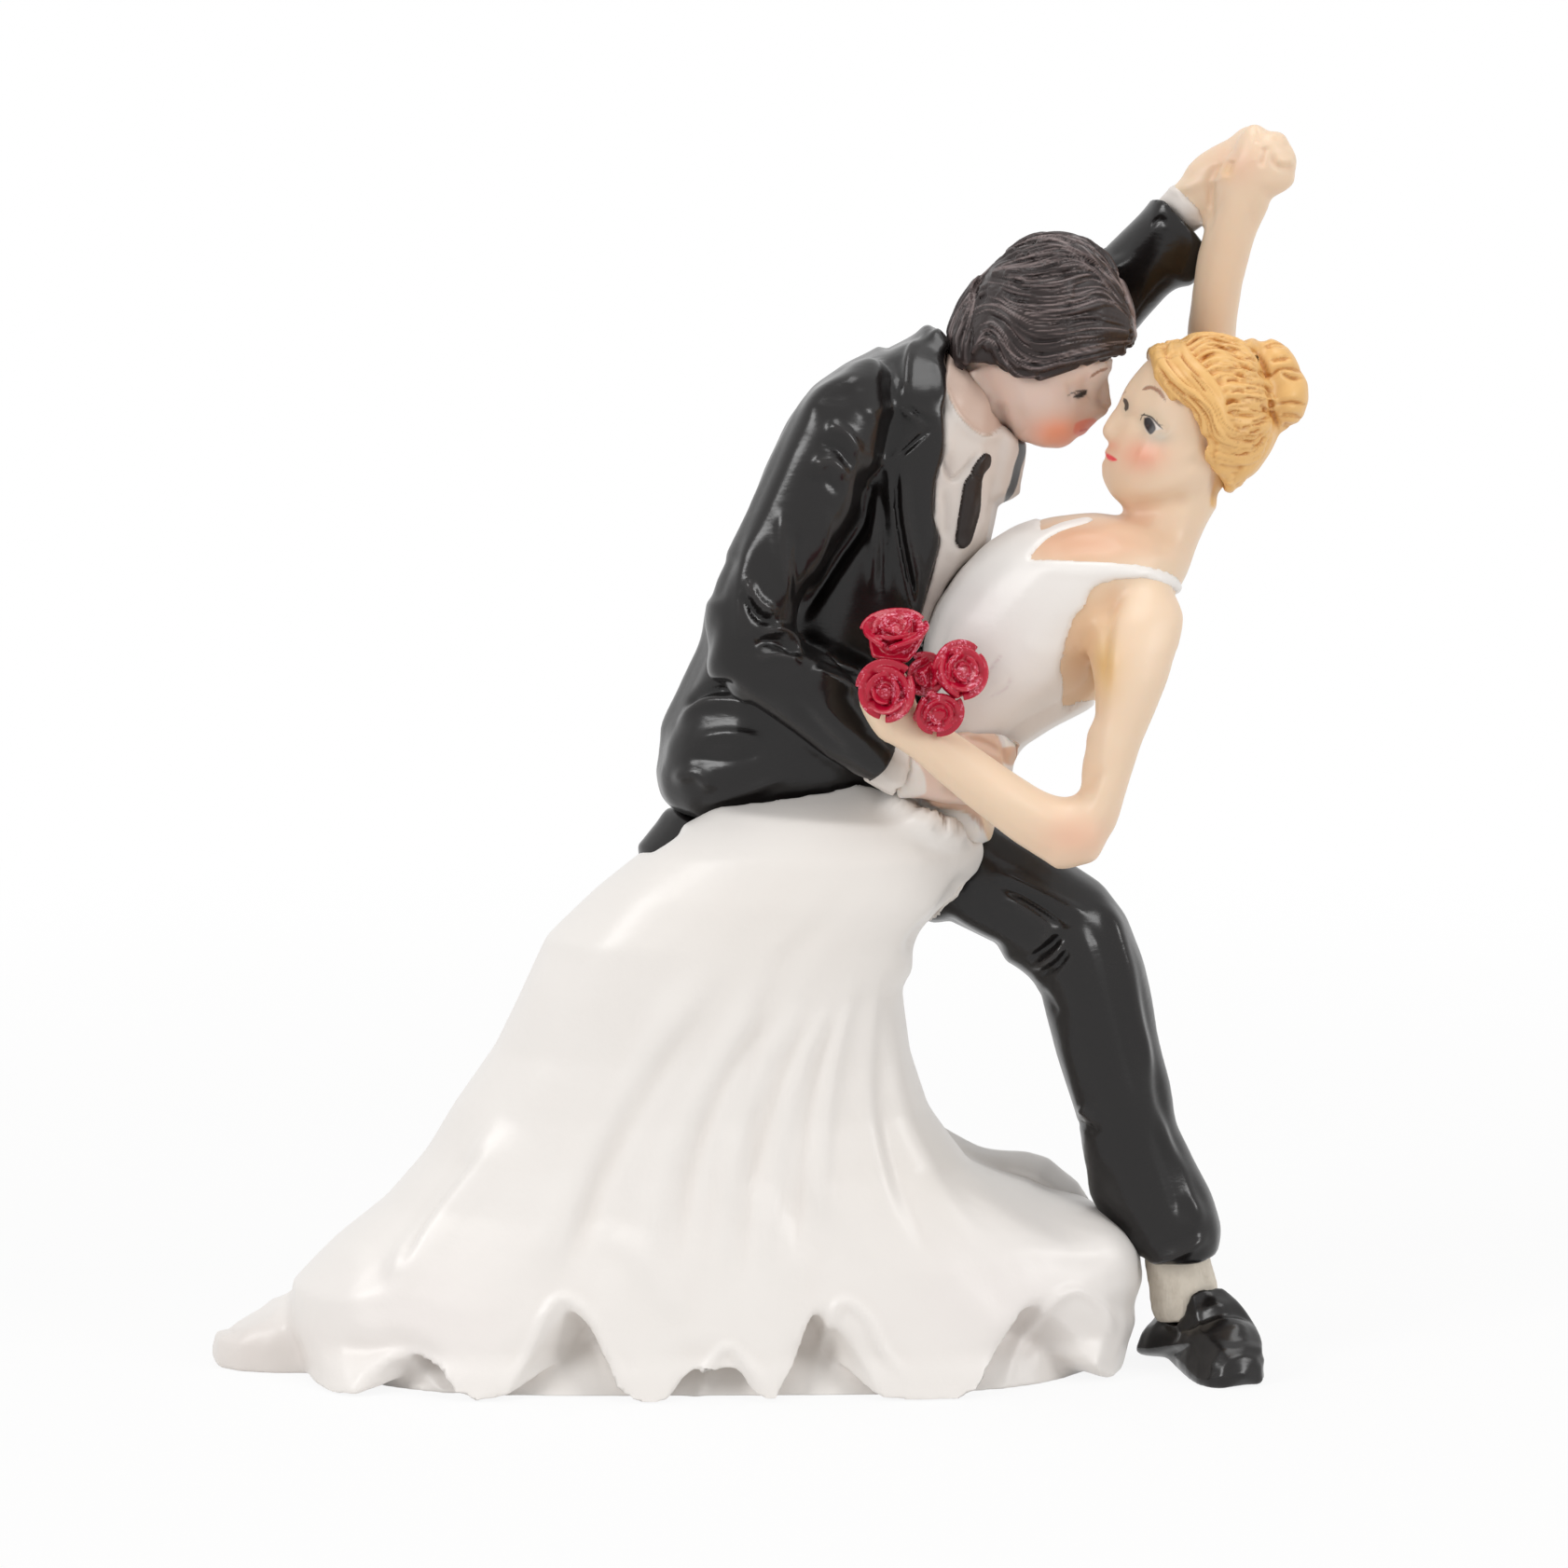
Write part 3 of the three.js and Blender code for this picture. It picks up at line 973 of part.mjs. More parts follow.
// The pieces in the order they are laid down. Each is cut back from those before it that it meets,
// so that it seats on them with the fit gap.
const PIECES = [
  ['groom_head', groomHeadForm, groomSkin()],
  ['bride_head', brideHeadForm, brideSkin()],
  ['bride_torso', brideTorsoForm, brideSkin()],
  ['bride_near_arm', nearArmForm, brideSkin()],
  ['bride_near_hand', nearHandForm, brideSkin()],
  ['bride_far_arm', farArmForm, brideSkin()],
  ['groom_waist_hand', waistHandForm, groomSkin()],
  ['groom_raised_hand', raisedHandForm, brideSkin()],
  ['bride_far_hand', farHandForm, brideSkin()],
  ['groom_shirt', shirtForm, shirtWhite()],
  ['groom_tie', tieForm, paint('#3a322f', 0.3)],
  ['groom_raised_cuff', raisedCuffForm, shirtWhite()],
  ['groom_near_cuff', cuffForm, shirtWhite()],
  ['groom_jacket', jacketForm, blackGloss()],
  ['groom_near_sleeve', sleeveForm, blackGloss()],
  ['groom_raised_sleeve', raisedSleeveForm, blackGloss()],
  ['groom_hair', groomHairForm, paint('#2c2522', 0.4)],
  ['bride_bodice', bodiceForm, gownWhite()],
  ['bride_hair', brideHairForm, paint('#d99a45', 0.45)],
  ['bride_bun', bunForm, paint('#d99a45', 0.45)],
  ...ROSE_PLACE_SHARES.map(({ placeShare, facing, sizeShare }, index) => [
    `bouquet_rose_${index + 1}`,
    (grow) => roseForm(
      rosePlace(placeShare), ROSE_RADIUS * sizeShare, ROSE_HEIGHT * sizeShare, vec(...facing), grow,
    ),
    rosePaint(),
  ]),
  ['bouquet_bud', budForm, rosePaint()],
  ['groom_ankle', ankleForm, paint('#d8c9b4', 0.7)],
  ['groom_shoe', shoeForm, blackGloss()],
  ['groom_front_trouser_leg', trouserForm, blackGloss()],
  ['groom_rear_trouser_leg', rearLegForm, blackGloss()],
  ['gown_skirt', gownForm, gownWhite()],
  ['gown_underskirt', underskirtForm, gownWhite()],
  ['gown_back_layer', backLayerForm, gownWhite()],
  ['gown_train_tip', trainTipForm, gownWhite()],
];

const boxesMeet = (first, second) => ['0', '1', '2'].every(
  (axis) => first.min[axis] <= second.max[axis] && second.min[axis] <= first.max[axis],
);
const largestPart = (solid) => solid.decompose()
  .reduce((largest, part) => (part.volume() > largest.volume() ? part : largest));

function meshOf(name, solid, material) {
  const { vertProperties, triVerts } = solid.getMesh();
  const geometry = new THREE.BufferGeometry();
  geometry.setAttribute('position', new THREE.BufferAttribute(Float32Array.from(vertProperties), 3));
  geometry.setIndex(Array.from(triVerts));
  const faceted = geometry.toNonIndexed();
  faceted.computeVertexNormals();
  const mesh = new THREE.Mesh(faceted, material);
  mesh.name = name;
  return mesh;
}

const topper = new THREE.Group();
const laid = [];
PIECES.forEach(([name, form, material]) => {
  const whole = form(0);
  const met = laid.filter((grown) => boxesMeet(grown.boundingBox(), whole.boundingBox()));
  const cut = met.reduce((rest, grown) => rest.subtract(grown), whole);
  laid.push(form(FIT_GAP));
  topper.add(meshOf(name, largestPart(cut.simplify(FACET_TOLERANCE)), material));
});

// Stand the topper on the floor with its box centred over the origin
const bounds = new THREE.Box3().setFromObject(topper);
const centre = bounds.getCenter(vec(0, 0, 0));
topper.position.set(-centre.x, -centre.y, -bounds.min.z);

export default topper;
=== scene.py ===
import bmesh
import bpy
import numpy as np
from mathutils import Matrix, Vector
from mathutils.bvhtree import BVHTree


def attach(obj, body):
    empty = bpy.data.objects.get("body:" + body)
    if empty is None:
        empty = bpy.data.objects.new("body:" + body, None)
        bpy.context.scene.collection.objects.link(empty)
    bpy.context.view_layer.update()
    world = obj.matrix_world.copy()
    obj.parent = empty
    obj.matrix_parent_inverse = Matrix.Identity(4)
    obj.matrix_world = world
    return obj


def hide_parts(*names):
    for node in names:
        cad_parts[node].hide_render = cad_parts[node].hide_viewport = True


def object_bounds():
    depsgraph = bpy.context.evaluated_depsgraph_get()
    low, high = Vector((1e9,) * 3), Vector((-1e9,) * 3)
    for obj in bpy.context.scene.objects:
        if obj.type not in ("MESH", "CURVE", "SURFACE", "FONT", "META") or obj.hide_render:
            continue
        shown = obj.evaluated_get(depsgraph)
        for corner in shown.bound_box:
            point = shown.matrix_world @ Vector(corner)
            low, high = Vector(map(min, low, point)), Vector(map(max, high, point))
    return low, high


# A resin wedding cake topper. Metres, +X to the viewer's right, +Y away from the viewer, +Z up.
MM = 0.001
WHITE = (1, 1, 1, 1)

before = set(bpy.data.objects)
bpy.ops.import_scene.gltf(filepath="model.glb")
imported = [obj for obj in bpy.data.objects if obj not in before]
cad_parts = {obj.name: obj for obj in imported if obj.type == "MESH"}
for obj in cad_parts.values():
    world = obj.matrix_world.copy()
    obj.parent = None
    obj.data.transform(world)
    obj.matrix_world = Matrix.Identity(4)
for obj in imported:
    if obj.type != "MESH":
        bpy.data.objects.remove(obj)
cad_box = [list(corner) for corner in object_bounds()]

# The studio: a pale floor and a white surround, a softbox at each side and one overhead. The camera
# stands where the photographer's did, a little above the couple's heads.
FLOOR_SIZE = 12.0
FLOOR_PALE = (0.83, 0.82, 0.81, 1)
FLOOR_GLOW_SHARE = 0.9
FLOOR_GLOW_START = 80 * MM
FLOOR_GLOW_FULL = 420 * MM
SURROUND_LIGHT = 0.47
CAMERA_PLACE = Vector((-8.2, -646.6, 149)) * MM
VIEW_AIM = Vector((2.9, 3.4, 64.7)) * MM
CAMERA_LENS = 137.1
CAMERA_NEAR_LIMIT = 10 * MM
LAMP_AIM = Vector((0, 0, 70)) * MM
SOFTBOXES = {
    "left_softbox": {"place": (-0.6, -0.5, 0.5), "size": 0.3, "power": 2.7},
    "right_softbox": {"place": (0.6, -0.4, 0.35), "size": 0.25, "power": 1.5},
    "top_softbox": {"place": (0.1, -0.05, 0.9), "size": 0.45, "power": 2.3},
}


def add_node(tree, kind, inputs=None, **settings):
    """A node with its settings, its inputs linked to sockets or set to values."""
    made = tree.nodes.new(kind)
    for name, value in settings.items():
        setattr(made, name, value)
    for socket, value in (inputs or {}).items():
        if isinstance(value, bpy.types.NodeSocket):
            tree.links.new(value, made.inputs[socket])
        else:
            made.inputs[socket].default_value = value
    return made


def reckoned(tree, operation, *values):
    """What a node works out of some sockets or values."""
    return add_node(tree, "ShaderNodeMath", dict(enumerate(values)), operation=operation).outputs[0]


def seen_directly(tree):
    """1 where the camera, a reflection or clear glass looks, 0 for light that falls on the figure."""
    path = add_node(tree, "ShaderNodeLightPath")
    mirrored = reckoned(tree, "MAXIMUM", path.outputs["Is Camera Ray"], path.outputs["Is Glossy Ray"])
    return reckoned(tree, "MAXIMUM", mirrored, path.outputs["Is Transmission Ray"])


def make_surround():
    world = bpy.data.worlds.new("white_surround")
    world.use_nodes = True
    tree = world.node_tree
    tree.nodes.clear()
    strength = add_node(tree, "ShaderNodeMapRange", {
        "Value": seen_directly(tree), "To Min": SURROUND_LIGHT, "To Max": 1.0,
    })
    glow = add_node(tree, "ShaderNodeBackground", {"Color": WHITE, "Strength": strength.outputs[0]})
    add_node(tree, "ShaderNodeOutputWorld", {"Surface": glow.outputs[0]})
    bpy.context.scene.world = world


def make_floor():
    mesh = bpy.data.meshes.new("studio_floor")
    half = FLOOR_SIZE / 2
    corners = [(-half, -half, 0), (half, -half, 0), (half, half, 0), (-half, half, 0)]
    mesh.from_pydata(corners, [], [(0, 1, 2, 3)])
    floor = bpy.data.objects.new("studio_floor", mesh)
    bpy.context.scene.collection.objects.link(floor)
    paper = bpy.data.materials.new("floor_paper")
    paper.use_nodes = True
    tree = paper.node_tree
    tree.nodes.clear()
    matt = add_node(tree, "ShaderNodeBsdfDiffuse", {"Color": FLOOR_PALE})
    glow = add_node(tree, "ShaderNodeEmission", {"Color": WHITE})
    where = add_node(tree, "ShaderNodeTexCoord").outputs["Object"]
    away = add_node(tree, "ShaderNodeVectorMath", {0: where}, operation="LENGTH")
    whiter = add_node(tree, "ShaderNodeMapRange", {
        "Value": away.outputs["Value"], "From Min": FLOOR_GLOW_START, "From Max": FLOOR_GLOW_FULL,
        "To Min": FLOOR_GLOW_SHARE, "To Max": 1.0,
    }, interpolation_type="SMOOTHSTEP")
    share = reckoned(tree, "MULTIPLY", seen_directly(tree), whiter.outputs[0])
    mixed = add_node(tree, "ShaderNodeMixShader", {0: share, 1: matt.outputs[0], 2: glow.outputs[0]})
    add_node(tree, "ShaderNodeOutputMaterial", {"Surface": mixed.outputs[0]})
    mesh.materials.append(paper)


def make_softbox(name, place, size, power):
    lamp = bpy.data.lights.new(name, "AREA")
    lamp.size = size
    lamp.energy = power
    holder = bpy.data.objects.new(name, lamp)
    holder.location = place
    holder.rotation_euler = (LAMP_AIM - Vector(place)).to_track_quat("-Z", "Y").to_euler()
    bpy.context.scene.collection.objects.link(holder)


def make_camera():
    camera = bpy.data.objects.new("camera", bpy.data.cameras.new("camera"))
    camera.data.lens = CAMERA_LENS
    camera.data.clip_start = CAMERA_NEAR_LIMIT
    camera.location = CAMERA_PLACE
    camera.rotation_euler = (VIEW_AIM - CAMERA_PLACE).to_track_quat("-Z", "Y").to_euler()
    bpy.context.scene.collection.objects.link(camera)
    bpy.context.scene.camera = camera


make_surround()
make_floor()
for softbox, setting in SOFTBOXES.items():
    make_softbox(softbox, **setting)
make_camera()
bpy.context.scene.view_settings.view_transform = "Standard"

# The gown: one heavy resin casting, sprayed satin white. The outer skirt hangs in long soft folds
# and lifts into arches at the hem, over an underskirt whose flat bottom is the topper's foot. The
# folds are modelled with a loop tool before the mould is made, so each one is a stroke.
GOWN_GRAIN = 0.46 * MM
GOWN_SWELL = 0.2 * MM
GOWN_BACK_RELAX = 250
GOWN_RELAX = 18
GOWN_WHITE = (0.86, 0.825, 0.79, 1)
GOWN_HOLLOW = (0.75, 0.69, 0.64, 1)
GOWN_WARM = (0.80, 0.745, 0.685)
GOWN_ROSY = (0.85, 0.79, 0.77)
GOWN_SHADE = (0.70, 0.63, 0.59)
# Painted shade and paint pooling in hollows: the steps that even a surface, and how deep under that, in
# mm, a hollow is full
GOWN_SHADE_AND_POOLING = (40, 0.9)
SATIN = {"roughness": 0.38, "patches": 0.25, "patch_scale": 90, "mark_depth": 0.025}

# The front chart, in which strokes are drawn: places to the right and down, about a tenth of a
# millimetre each, as seen from the viewpoint on the plane through the figure's middle
CHART_UNIT = 0.1031 * MM
CHART_REACH = 650 * MM
CHART_EYE = (841, -186)
VIEWPOINT = Vector((2.5, -646.6, 170)) * MM
SMOOTH_PARTS = 8
STROKE_SPREAD = 3
# How an outline is measured: the ways round its middle, how often the change is evened over
# neighbouring ways, and how far out from the middle it takes full hold
OUTLINE_WAYS = 120
OUTLINE_EVENING = 3
OUTLINE_CORE = 0.7
OUTLINE_GRAIN = 0.3 * MM
# How far a surface has to face the viewer before strokes and paint hold, and away before it softens
FACING_START, FACING_GAIN = 0.5, 1.2
BACK_START, BACK_GAIN = 0.2, 2
# The share of a stroke over which each end fades, its softness in depth in mm, and a brush's tips
STROKE_FADE = 0.25
DEPTH_SOFTNESS = 1
LINE_TIP_SHARE, LINE_TAPER = 0.25, 4
EDGE_MIDDLE = 0.5
LEAST_PAINT = 1e-6
EVENING_FACTOR = 0.5
PAINT_DETAIL = 3.0
SEAM_REACH = CHART_UNIT / 100


def unit_at(depth):
    """How large one place of the chart is at a depth."""
    return CHART_UNIT * (depth - VIEWPOINT.y) / CHART_REACH


def on_chart(points):
    """The places on the chart at which points are seen."""
    unit = unit_at(points[:, 1])
    right = CHART_EYE[0] + (points[:, 0] - VIEWPOINT.x) / unit
    down = CHART_EYE[1] + (VIEWPOINT.z - points[:, 2]) / unit
    return np.column_stack([right, down])


def from_chart(place, depth):
    """The point at a depth, its place along Y, that the chart shows at a place."""
    unit = unit_at(depth)
    across = VIEWPOINT.x + (place[0] - CHART_EYE[0]) * unit
    return Vector((across, depth, VIEWPOINT.z - (place[1] - CHART_EYE[1]) * unit))


def smooth_path(corners):
    """Smooth line through given corners."""
    corners = np.array(corners, float)
    first = 2 * corners[0] - corners[1]
    last = 2 * corners[-1] - corners[-2]
    row = np.vstack([first, corners, last])
    part = np.linspace(0, 1, SMOOTH_PARTS, endpoint=False)[:, None]
    spans = []
    for before, start, stop, after in zip(row, row[1:], row[2:], row[3:]):
        slope = (stop - before) * part
        bend = (2 * before - 5 * start + 4 * stop - after) * part ** 2
        turn = (3 * start - before - 3 * stop + after) * part ** 3
        spans.append(start + (slope + bend + turn) / 2)
    return np.vstack(spans + [corners[-1:]])


def beside(path, places, reach):
    """Which places lie near a path, how far off its left (minus) or right, and how far along."""
    near = np.flatnonzero(((places > path.min(0) - reach) & (places < path.max(0) + reach)).all(1))
    steps = np.diff(path, axis=0)
    gaps = places[near, None] - path[:-1]
    shares = np.clip((gaps * steps).sum(2) / (steps ** 2).sum(1), 0, 1)
    rest = gaps - shares[..., None] * steps
    lengths = np.linalg.norm(rest, axis=2)
    nearest = lengths.argmin(1)
    row = np.arange(len(near))
    side = np.sign(steps[nearest, 0] * rest[row, nearest, 1] - steps[nearest, 1] * rest[row, nearest, 0])
    return near, side * lengths[row, nearest], (nearest + shares[row, nearest]) / len(steps)


def eased(share):
    """From 0 to 1 with a soft start and end."""
    share = np.clip(share, 0, 1)
    return share * share * (3 - 2 * share)


def read(vectors, name):
    """A vector of each of a mesh's vertices as rows of numbers."""
    values = np.empty(len(vectors) * 3)
    vectors.foreach_get(name, values)
    return values.reshape(-1, 3)


def points_of(mesh):
    """The places of a mesh's vertices."""
    return read(mesh.vertices, "co")


def normals_of(mesh):
    """The way each vertex of a mesh faces."""
    return read(mesh.vertex_normals, "vector")


def set_points(mesh, points):
    mesh.vertices.foreach_set("co", points.ravel())
    mesh.update()


def evaluated(piece):
    """A piece's mesh with its modifiers worked in, as a plain mesh."""
    depsgraph = bpy.context.evaluated_depsgraph_get()
    depsgraph.update()
    mesh = bpy.data.meshes.new_from_object(piece.evaluated_get(depsgraph))
    piece.modifiers.clear()
    return mesh


def placed(name, mesh):
    """A mesh as an object in the scene."""
    piece = bpy.data.objects.new(name, mesh)
    bpy.context.scene.collection.objects.link(piece)
    return piece


def evened(mesh, values, steps):
    """Three values for each vertex, evened out over its neighbours."""
    net = placed("net", mesh.copy())
    set_points(net.data, values)
    smooth = net.modifiers.new("even", "SMOOTH")
    smooth.factor = EVENING_FACTOR
    smooth.iterations = steps
    even = points_of(evaluated(net))
    bpy.data.objects.remove(net)
    return even


def relaxed(mesh, points, steps):
    """Points with their facets gone and their bulk kept."""
    flat = evened(mesh, points, steps)
    return flat + evened(mesh, points - flat, steps)


def netted(name, meshes, grain, swell=0.0):
    """One even skin round several closed meshes, each swollen first."""
    builder = bmesh.new()
    for mesh in meshes:
        builder.from_mesh(mesh)
    bmesh.ops.remove_doubles(builder, verts=builder.verts, dist=SEAM_REACH)
    builder.normal_update()
    for vertex in builder.verts:
        vertex.co += vertex.normal * swell
    joined = bpy.data.meshes.new(name)
    builder.to_mesh(joined)
    builder.free()
    piece = placed(name, joined)
    net = piece.modifiers.new("net", "REMESH")
    net.mode = "VOXEL"
    net.voxel_size = grain
    piece.data = evaluated(piece)
    piece.data.shade_smooth()
    return piece


def casting(name, nodes, grain, relax, swell=0.0):
    """The skin of one casting: its solids joined over their seams and relaxed to soft forms."""
    piece = netted(name, [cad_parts[node].data for node in nodes], grain, swell)
    points = relaxed(piece.data, points_of(piece.data), relax)
    set_points(piece.data, points - normals_of(piece.data) * swell)
    return piece


def solid_points(nodes):
    """Points spread evenly over some solids."""
    net = netted("outline", [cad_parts[node].data for node in nodes], OUTLINE_GRAIN)
    points = points_of(net.data)
    bpy.data.objects.remove(net)
    return points


def outline_change(points, outline, centre):
    """Ways round a centre on the chart, how far points reach, and what takes them to an outline."""
    slots = np.linspace(-np.pi, np.pi, OUTLINE_WAYS + 1)
    ways = (slots[1:] + slots[:-1]) / 2
    seen = on_chart(points) - centre
    slot = np.digitize(np.arctan2(seen[:, 1], seen[:, 0]), slots) - 1
    own = np.zeros(OUTLINE_WAYS)
    np.maximum.at(own, np.clip(slot, 0, OUTLINE_WAYS - 1), np.linalg.norm(seen, axis=1))
    ring = smooth_path(list(outline) + [outline[0]])[:-1] - centre
    turn = np.arctan2(ring[:, 1], ring[:, 0])
    change = np.interp(ways, turn, np.linalg.norm(ring, axis=1), period=2 * np.pi) / own - 1
    for _ in range(OUTLINE_EVENING):
        change = (np.roll(change, 1) + change + np.roll(change, -1)) / 3
    return ways, own, change


def shaped(points, centre, change, share=1.0):
    """Points drawn in or out round a centre on the chart by the change for their way."""
    ways, own, stretch = change
    seen = on_chart(points) - centre
    turn = np.arctan2(seen[:, 1], seen[:, 0])
    out = np.linalg.norm(seen, axis=1) / np.interp(turn, ways, own, period=2 * np.pi)
    move = np.interp(turn, ways, stretch, period=2 * np.pi) * eased(out / OUTLINE_CORE) * share
    step = np.column_stack([seen[:, 0], np.zeros(len(seen)), -seen[:, 1]])
    return points + step * (move * unit_at(points[:, 1]))[:, None]


class Skin:
    """A casting's surface as the maker meets it: strokes raise or sink it, paint colours it."""

    def __init__(self, piece):
        self.piece = piece
        self.mesh = piece.data
        self.points = points_of(self.mesh)
        self.normals = normals_of(self.mesh)
        self.seen = on_chart(self.points)
        self.facing = eased(FACING_START - FACING_GAIN * self.normals[:, 1])
        self.relief = np.zeros(len(self.points))
        self.tint = np.zeros((len(self.points), 4))

    def settle(self, points):
        """Take points as the surface, with its normals and its places on the chart."""
        self.points = points
        set_points(self.mesh, points)
        self.normals = normals_of(self.mesh)
        self.seen = on_chart(points)

    def stroke(self, corners, rise, width, right_width=None, depths=None, around=False):
        """Raise a line drawn on the chart by rise (in mm), its flanks as wide as given on the chart."""
        right_width = right_width or width
        path = smooth_path(corners)
        near, off, walked = beside(path, self.seen, STROKE_SPREAD * max(width, right_width))
        flank = np.exp(-(off / np.where(off < 0, width, right_width)) ** 2)
        ends = eased(np.minimum(walked, 1 - walked) / STROKE_FADE)
        held = 1 if around else self.facing[near]
        if depths:
            depth = self.points[near, 1] / MM
            behind = eased((depth - depths[0] + DEPTH_SOFTNESS) / 2)
            held = held * behind * eased((depths[1] + DEPTH_SOFTNESS - depth) / 2)
        self.relief[near] += rise * MM * flank * ends * held

    def carve(self, strokes):
        """Make a list of strokes: line, rise in mm, width of its left flank and perhaps its right."""
        for corners, *settings in strokes:
            self.stroke(corners, *settings)

    def trim(self, rims):
        """Draw the outline in or out along a list of lines: line, rise in mm, width."""
        for corners, rise, width in rims:
            self.stroke(corners, rise, width, around=True)

    def bump(self, place, depth, radius, rise):
        """Raise a round spot (radius and rise in mm) about a place and its depth."""
        centre = np.array(from_chart(place, depth * MM))
        away = np.linalg.norm(self.points - centre, axis=1) / (radius * MM)
        self.relief += rise * MM * np.exp(-away ** 2)

    def soften_back(self, steps):
        """Even out what faces away, where the figure is kept plain."""
        soft = relaxed(self.mesh, self.points, steps)
        held = eased(BACK_START + BACK_GAIN * self.normals[:, 1])
        self.settle(self.points + (soft - self.points) * held[:, None])

    def shape(self, centre, change, share=1.0):
        """Draw the points with a share in or out round a centre on the chart."""
        self.settle(shaped(self.points, centre, change, share))

    def press(self):
        """Work the strokes made so far into the surface."""
        self.settle(self.points + self.normals * self.relief[:, None])
        self.relief[:] = 0

    def coat(self, share, colour):
        """Lay paint over the vertices, thicker where share is near 1."""
        left = self.tint[:, 3] * (1 - share)
        whole = share + left
        laid = np.outer(share, colour[:3]) + self.tint[:, :3] * left[:, None]
        self.tint[:, :3] = laid / np.maximum(whole, LEAST_PAINT)[:, None]
        self.tint[:, 3] = whole

    def line(self, corners, colour, width, strength=1.0, soft=1.0):
        """Paint a line drawn on the chart with a brush of a width."""
        path = smooth_path(corners)
        near, off, walked = beside(path, self.seen, width + STROKE_SPREAD * soft)
        ends = eased(np.minimum(walked, 1 - walked) * LINE_TAPER + LINE_TIP_SHARE)
        share = np.zeros(len(self.points))
        share[near] = strength * eased((width / 2 * ends - np.abs(off)) / soft + EDGE_MIDDLE)
        self.coat(share * (self.facing > 0), colour)

    def dab(self, place, radius, colour, strength):
        """Dust a soft round spot of paint on."""
        away = np.linalg.norm((self.seen - place) / radius, axis=1)
        self.coat(strength * np.exp(-away ** 2) * self.facing, colour)

    def inside(self, corners, soft):
        """1 inside an outline drawn on the chart, 0 outside, eased across its edge."""
        outline = smooth_path(list(corners) + [corners[0]])
        near, off, _ = beside(outline, self.seen, STROKE_SPREAD * soft)
        place = self.seen[near]
        start, stop = outline[:-1], outline[1:]
        crossed = (start[:, 1] > place[:, None, 1]) != (stop[:, 1] > place[:, None, 1])
        run = np.where(stop[:, 1] == start[:, 1], 1, stop[:, 1] - start[:, 1])
        at = start[:, 0] + (place[:, None, 1] - start[:, 1]) * (stop[:, 0] - start[:, 0]) / run
        within = (crossed & (place[:, None, 0] < at)).sum(1) % 2 == 1
        share = np.zeros(len(self.points))
        share[near] = eased(np.where(within, 1, -1) * np.abs(off) / soft / 2 + EDGE_MIDDLE)
        return share

    def fill(self, corners, colour, strength=1.0, soft=2.0, behind=None):
        """Paint the inside of an outline drawn on the chart, if asked only behind a depth in mm."""
        held = self.facing > 0
        if behind is not None:
            held = held & (self.points[:, 1] > behind * MM)
        self.coat(strength * self.inside(corners, soft) * held, colour)

    def paint(self, touches):
        """Lay a list of touches: the kind of each, its place or line, and what the kind takes."""
        kinds = {"dab": self.dab, "line": self.line, "fill": self.fill}
        for kind, *settings in touches:
            kinds[kind](*settings)

    def finish(self, material, slot, nodes, shade_and_pooling):
        """Keep the surface inside the figure's box, note its hollows for painted shade and pooling and
        its ridges for painted highlight and rubbed wear, attach it and hide its solids.
        """
        steps, full_depth = shade_and_pooling
        self.press()
        self.points = np.clip(self.points, cad_box[0], cad_box[1])
        set_points(self.mesh, self.points)
        sunk = (evened(self.mesh, self.points, steps) - self.points) * self.normals
        depth = sunk.sum(1) / (full_depth * MM)
        for name, values in {"hollow": depth, "ridge_sheen_and_wear": -depth}.items():
            noted = self.mesh.attributes.new(name, "FLOAT", "POINT")
            noted.data.foreach_set("value", np.clip(values, 0, 1))
        noted = self.mesh.attributes.new("tint", "FLOAT_COLOR", "POINT")
        noted.data.foreach_set("color", self.tint.ravel())
        self.mesh.materials.clear()
        self.mesh.materials.append(material)
        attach(self.piece, "root")
        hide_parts(*nodes)


def new_group(name, kind, inputs, outputs):
    """An empty node group with sockets of the given kinds, and the node where its inputs come in."""
    group = bpy.data.node_groups.new(name, kind)
    for way, sockets in {"INPUT": inputs, "OUTPUT": outputs}.items():
        for socket, holds in sockets.items():
            group.interface.new_socket(socket, in_out=way, socket_type=f"NodeSocket{holds}")
    return group, add_node(group, "NodeGroupInput")


def make_paint_marks():
    """Node group: slow mottle of uneven paint, and the fine height of its brushed surface."""
    group, start = new_group(
        "paint marks", "ShaderNodeTree", {"Patch Scale": "Float", "Mark Scale": "Vector"},
        {"Mottle": "Float", "Height": "Float"},
    )
    where = add_node(group, "ShaderNodeTexCoord").outputs["Object"]
    patch = add_node(group, "ShaderNodeTexNoise", {
        "Vector": where, "Scale": start.outputs["Patch Scale"], "Detail": PAINT_DETAIL,
    })
    drawn = add_node(group, "ShaderNodeVectorMath", {
        0: where, 1: start.outputs["Mark Scale"],
    }, operation="MULTIPLY")
    mark = add_node(group, "ShaderNodeTexNoise", {
        "Vector": drawn.outputs[0], "Scale": 1.0, "Detail": PAINT_DETAIL,
    })
    add_node(group, "NodeGroupOutput", {"Mottle": patch.outputs[0], "Height": mark.outputs[0]})
    return group


PAINT_MARKS = make_paint_marks()
# How far light travels under skin for each colour, and where the painted highlight and rubbed wear on
# ridges begin and are full
FLESH_RADIUS = (1.0, 0.45, 0.25)
FLESH_DEPTH = 1.6 * MM
SHEEN_AND_WEAR_START, SHEEN_AND_WEAR_FULL = 0.1, 0.55
MOTTLE_MIDDLE = 0.5


